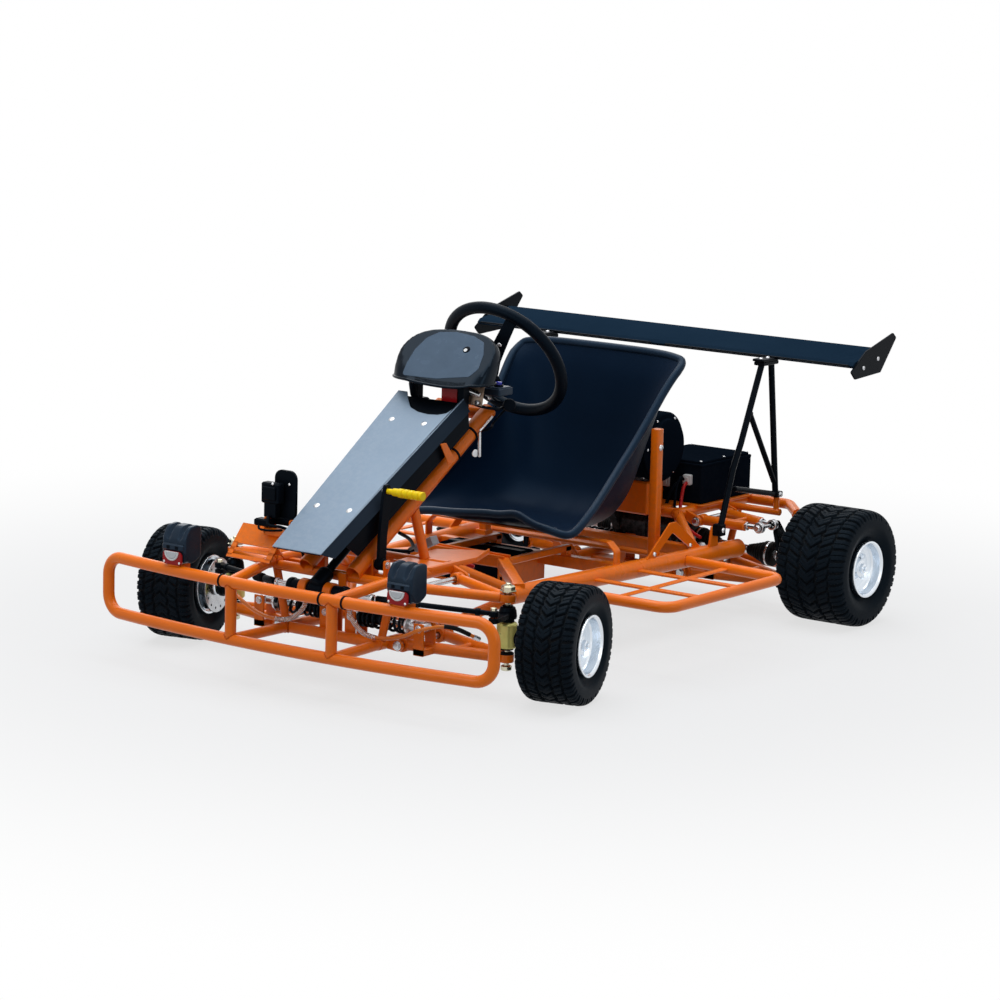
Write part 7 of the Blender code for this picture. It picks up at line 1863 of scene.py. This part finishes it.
def along_way(start, finish_at, rise=(0, 0, 1)):
    """A 4x4 matrix that sets local +X along the way from start to finish_at."""
    m = np.eye(4)
    m[:3, 0] = unit(np.subtract(finish_at, start))
    m[:3, 1] = unit(np.cross(rise, m[:3, 0]))
    m[:3, 2] = np.cross(m[:3, 0], m[:3, 1])
    m[:3, 3] = start
    return m


power_plug = [block((0.134, 1.03, 0.299), (0.154, 1.044, 0.324), 0.002),
              block((0.138, 1.027, 0.303), (0.15, 1.032, 0.319), 0.001)]
power_red = [cable([(0.146, 1.03, 0.306), (0.147, 1.016, 0.297), (0.15, 1.003, 0.272), (0.16, 0.985, 0.244),
                    (0.185, 0.963, 0.222), (0.222, 0.945, 0.206), (0.25, 0.938, 0.198)], 0.0042)]
power_black = [cable([(0.139, 1.031, 0.31), (0.136, 1.018, 0.318), (0.133, 1.006, 0.296), (0.136, 0.996, 0.262),
                      (0.14, 0.99, 0.22), (0.142, 0.98, 0.19)], 0.0034),
               cable([(0.12, 1.041, 0.3), (0.118, 1.022, 0.296), (0.112, 1.006, 0.27), (0.104, 0.998, 0.236),
                      (0.09, 0.99, 0.205)], 0.0042)]
piece("power_lead", [(power_plug, white), (power_red, red_wire), (power_black, plastic)])

plug_place = along_way((-0.03, 0.203, 0.237), (0.022, 0.203, 0.264))
plug_body = [block((0.0, -0.0105, -0.0085), (0.046, 0.0105, 0.0085), 0.0015)]
plug_body += [block((0.006 + 0.0062 * k, -0.0115, -0.0095), (0.0088 + 0.0062 * k, 0.0115, 0.0095), 0.0006)
              for k in range(6)]
plug_body += [block((0.044, -0.012, -0.01), (0.056, 0.012, 0.01), 0.0015)]
loom_black = [cable([(-0.028, 0.203, 0.238), (-0.052, 0.2, 0.228), (-0.088, 0.192, 0.226), (-0.13, 0.176, 0.226),
                     (-0.176, 0.14, 0.226), (-0.196, 0.08, 0.222)], 0.0046),
              cable([(-0.05, 0.201, 0.23), (-0.05, 0.196, 0.205), (-0.046, 0.192, 0.18)], 0.0034),
              cable([(0.03, 0.06, 0.3), (0.02, 0.11, 0.278), (-0.004, 0.155, 0.252), (-0.04, 0.19, 0.236)], 0.004)]
loom_red = [cable([(-0.028, 0.205, 0.24), (-0.006, 0.212, 0.228), (0.03, 0.222, 0.222), (0.066, 0.232, 0.216),
                   (0.098, 0.248, 0.206)], 0.0052)]
piece("spare_connector", [([moved(f, plug_place) for f in plug_body], grey_plastic), (loom_black, plastic),
                          (loom_red, red_wire)])

# %% Under the hood: bracket, plates and a light tube
left_bracket = [sweep(np.array([(-0.052, 0.205, 0.64), (-0.056, 0.208, 0.606), (-0.058, 0.216, 0.584),
                                (-0.06, 0.232, 0.56)]), circle(0.0085, 12)),
                block((-0.074, 0.208, 0.552), (-0.04, 0.25, 0.574), 0.003)]
red_sheet = [block((0.012, 0.226, 0.56), (0.058, 0.23, 0.606), 0.001)]
tan_sheet = [slab([(0.044, 0.25, 0.574), (0.098, 0.262, 0.566), (0.098, 0.27, 0.61), (0.044, 0.258, 0.612)], 0.0025)]
bright_tube = [bar((0.05, 0.246, 0.606), (0.092, 0.262, 0.59), 0.0062)]
nuts = hex_bolt((0.06, 0.25, 0.578), -Y, 0.0058, 0.0045) + hex_bolt((0.088, 0.256, 0.574), -Y, 0.005, 0.004)
turn_knob = [turned((0.108, 0.352, 0.56), unit((0.55, -0.8, 0.18)),
                    [(-0.016, 0.012), (0.004, 0.012), (0.006, 0.014), (0.016, 0.015), (0.02, 0.013), (0.0205, 0.004)],
                    0.0012, 36)]
choke_cable = [cable([(0.104, 0.35, 0.556), (0.092, 0.336, 0.536), (0.088, 0.318, 0.52), (0.096, 0.3, 0.514),
                      (0.08, 0.29, 0.506)], 0.0028),
               cable([(0.07, 0.262, 0.57), (0.09, 0.28, 0.562), (0.106, 0.31, 0.556), (0.1, 0.335, 0.556)], 0.0034)]
piece("hood_fittings", [(left_bracket + turn_knob + choke_cable, plastic), (red_sheet, red), (tan_sheet, tan_plate),
                        (bright_tube + nuts, steel)])

# %% On the column: an orange tab, a light strip and its washer
tab = [slab([(0.11, 0.0968, 0.5025), (0.11, 0.1166, 0.5025), (0.11, 0.1546, 0.4581), (0.11, 0.1257, 0.4555)], 0.0022)]
strip_forms = [bar((0.09, 0.2662, 0.5077), (0.09, 0.2682, 0.4511), 0.0034),
               bar((0.088, 0.317, 0.537), (0.09, 0.2662, 0.509), 0.0022)]
washer = [turned((0.0835, 0.26, 0.46), (1, -0.35, 0), [(0, 0.0085), (0.0022, 0.0085), (0.0022, 0.004)], 0.0003, 28)]
piece("column_fittings", [(tab, orange), (strip_forms + washer, steel)], "chassis")

# %% Throttle: sensor box, its screws and lead
sensor = [block((-0.172, -0.172, 0.372), (-0.124, -0.15, 0.418), 0.003, 0.003),
          block((-0.166, -0.176, 0.38), (-0.13, -0.17, 0.41), 0.002),
          block((-0.166, -0.168, 0.34), (-0.134, -0.152, 0.374), 0.002),
          block((-0.182, -0.182, 0.322), (-0.144, -0.158, 0.338), 0.003)]
sensor_screws = [f for x, y, z in ((-0.14, -0.1715, 0.4165), (-0.114, -0.1462, 0.415))
                 for f in dome_bolt((x, y, z), -Y, 0.0034, 0.002)]
sensor_lead = [cable([(-0.15, -0.172, 0.345), (-0.14, -0.182, 0.328), (-0.11, -0.176, 0.326), (-0.096, -0.15, 0.31),
                      (-0.098, -0.12, 0.27), (-0.104, -0.1, 0.238)], 0.0034),
               cable([(-0.172, -0.174, 0.33), (-0.164, -0.186, 0.318), (-0.14, -0.184, 0.316),
                      (-0.112, -0.17, 0.318)], 0.0026)]
piece("throttle_sensor", [(sensor, plastic), (sensor_screws, steel)], "throttle_pedal")
piece("sensor_lead", [(sensor_lead, plastic)])
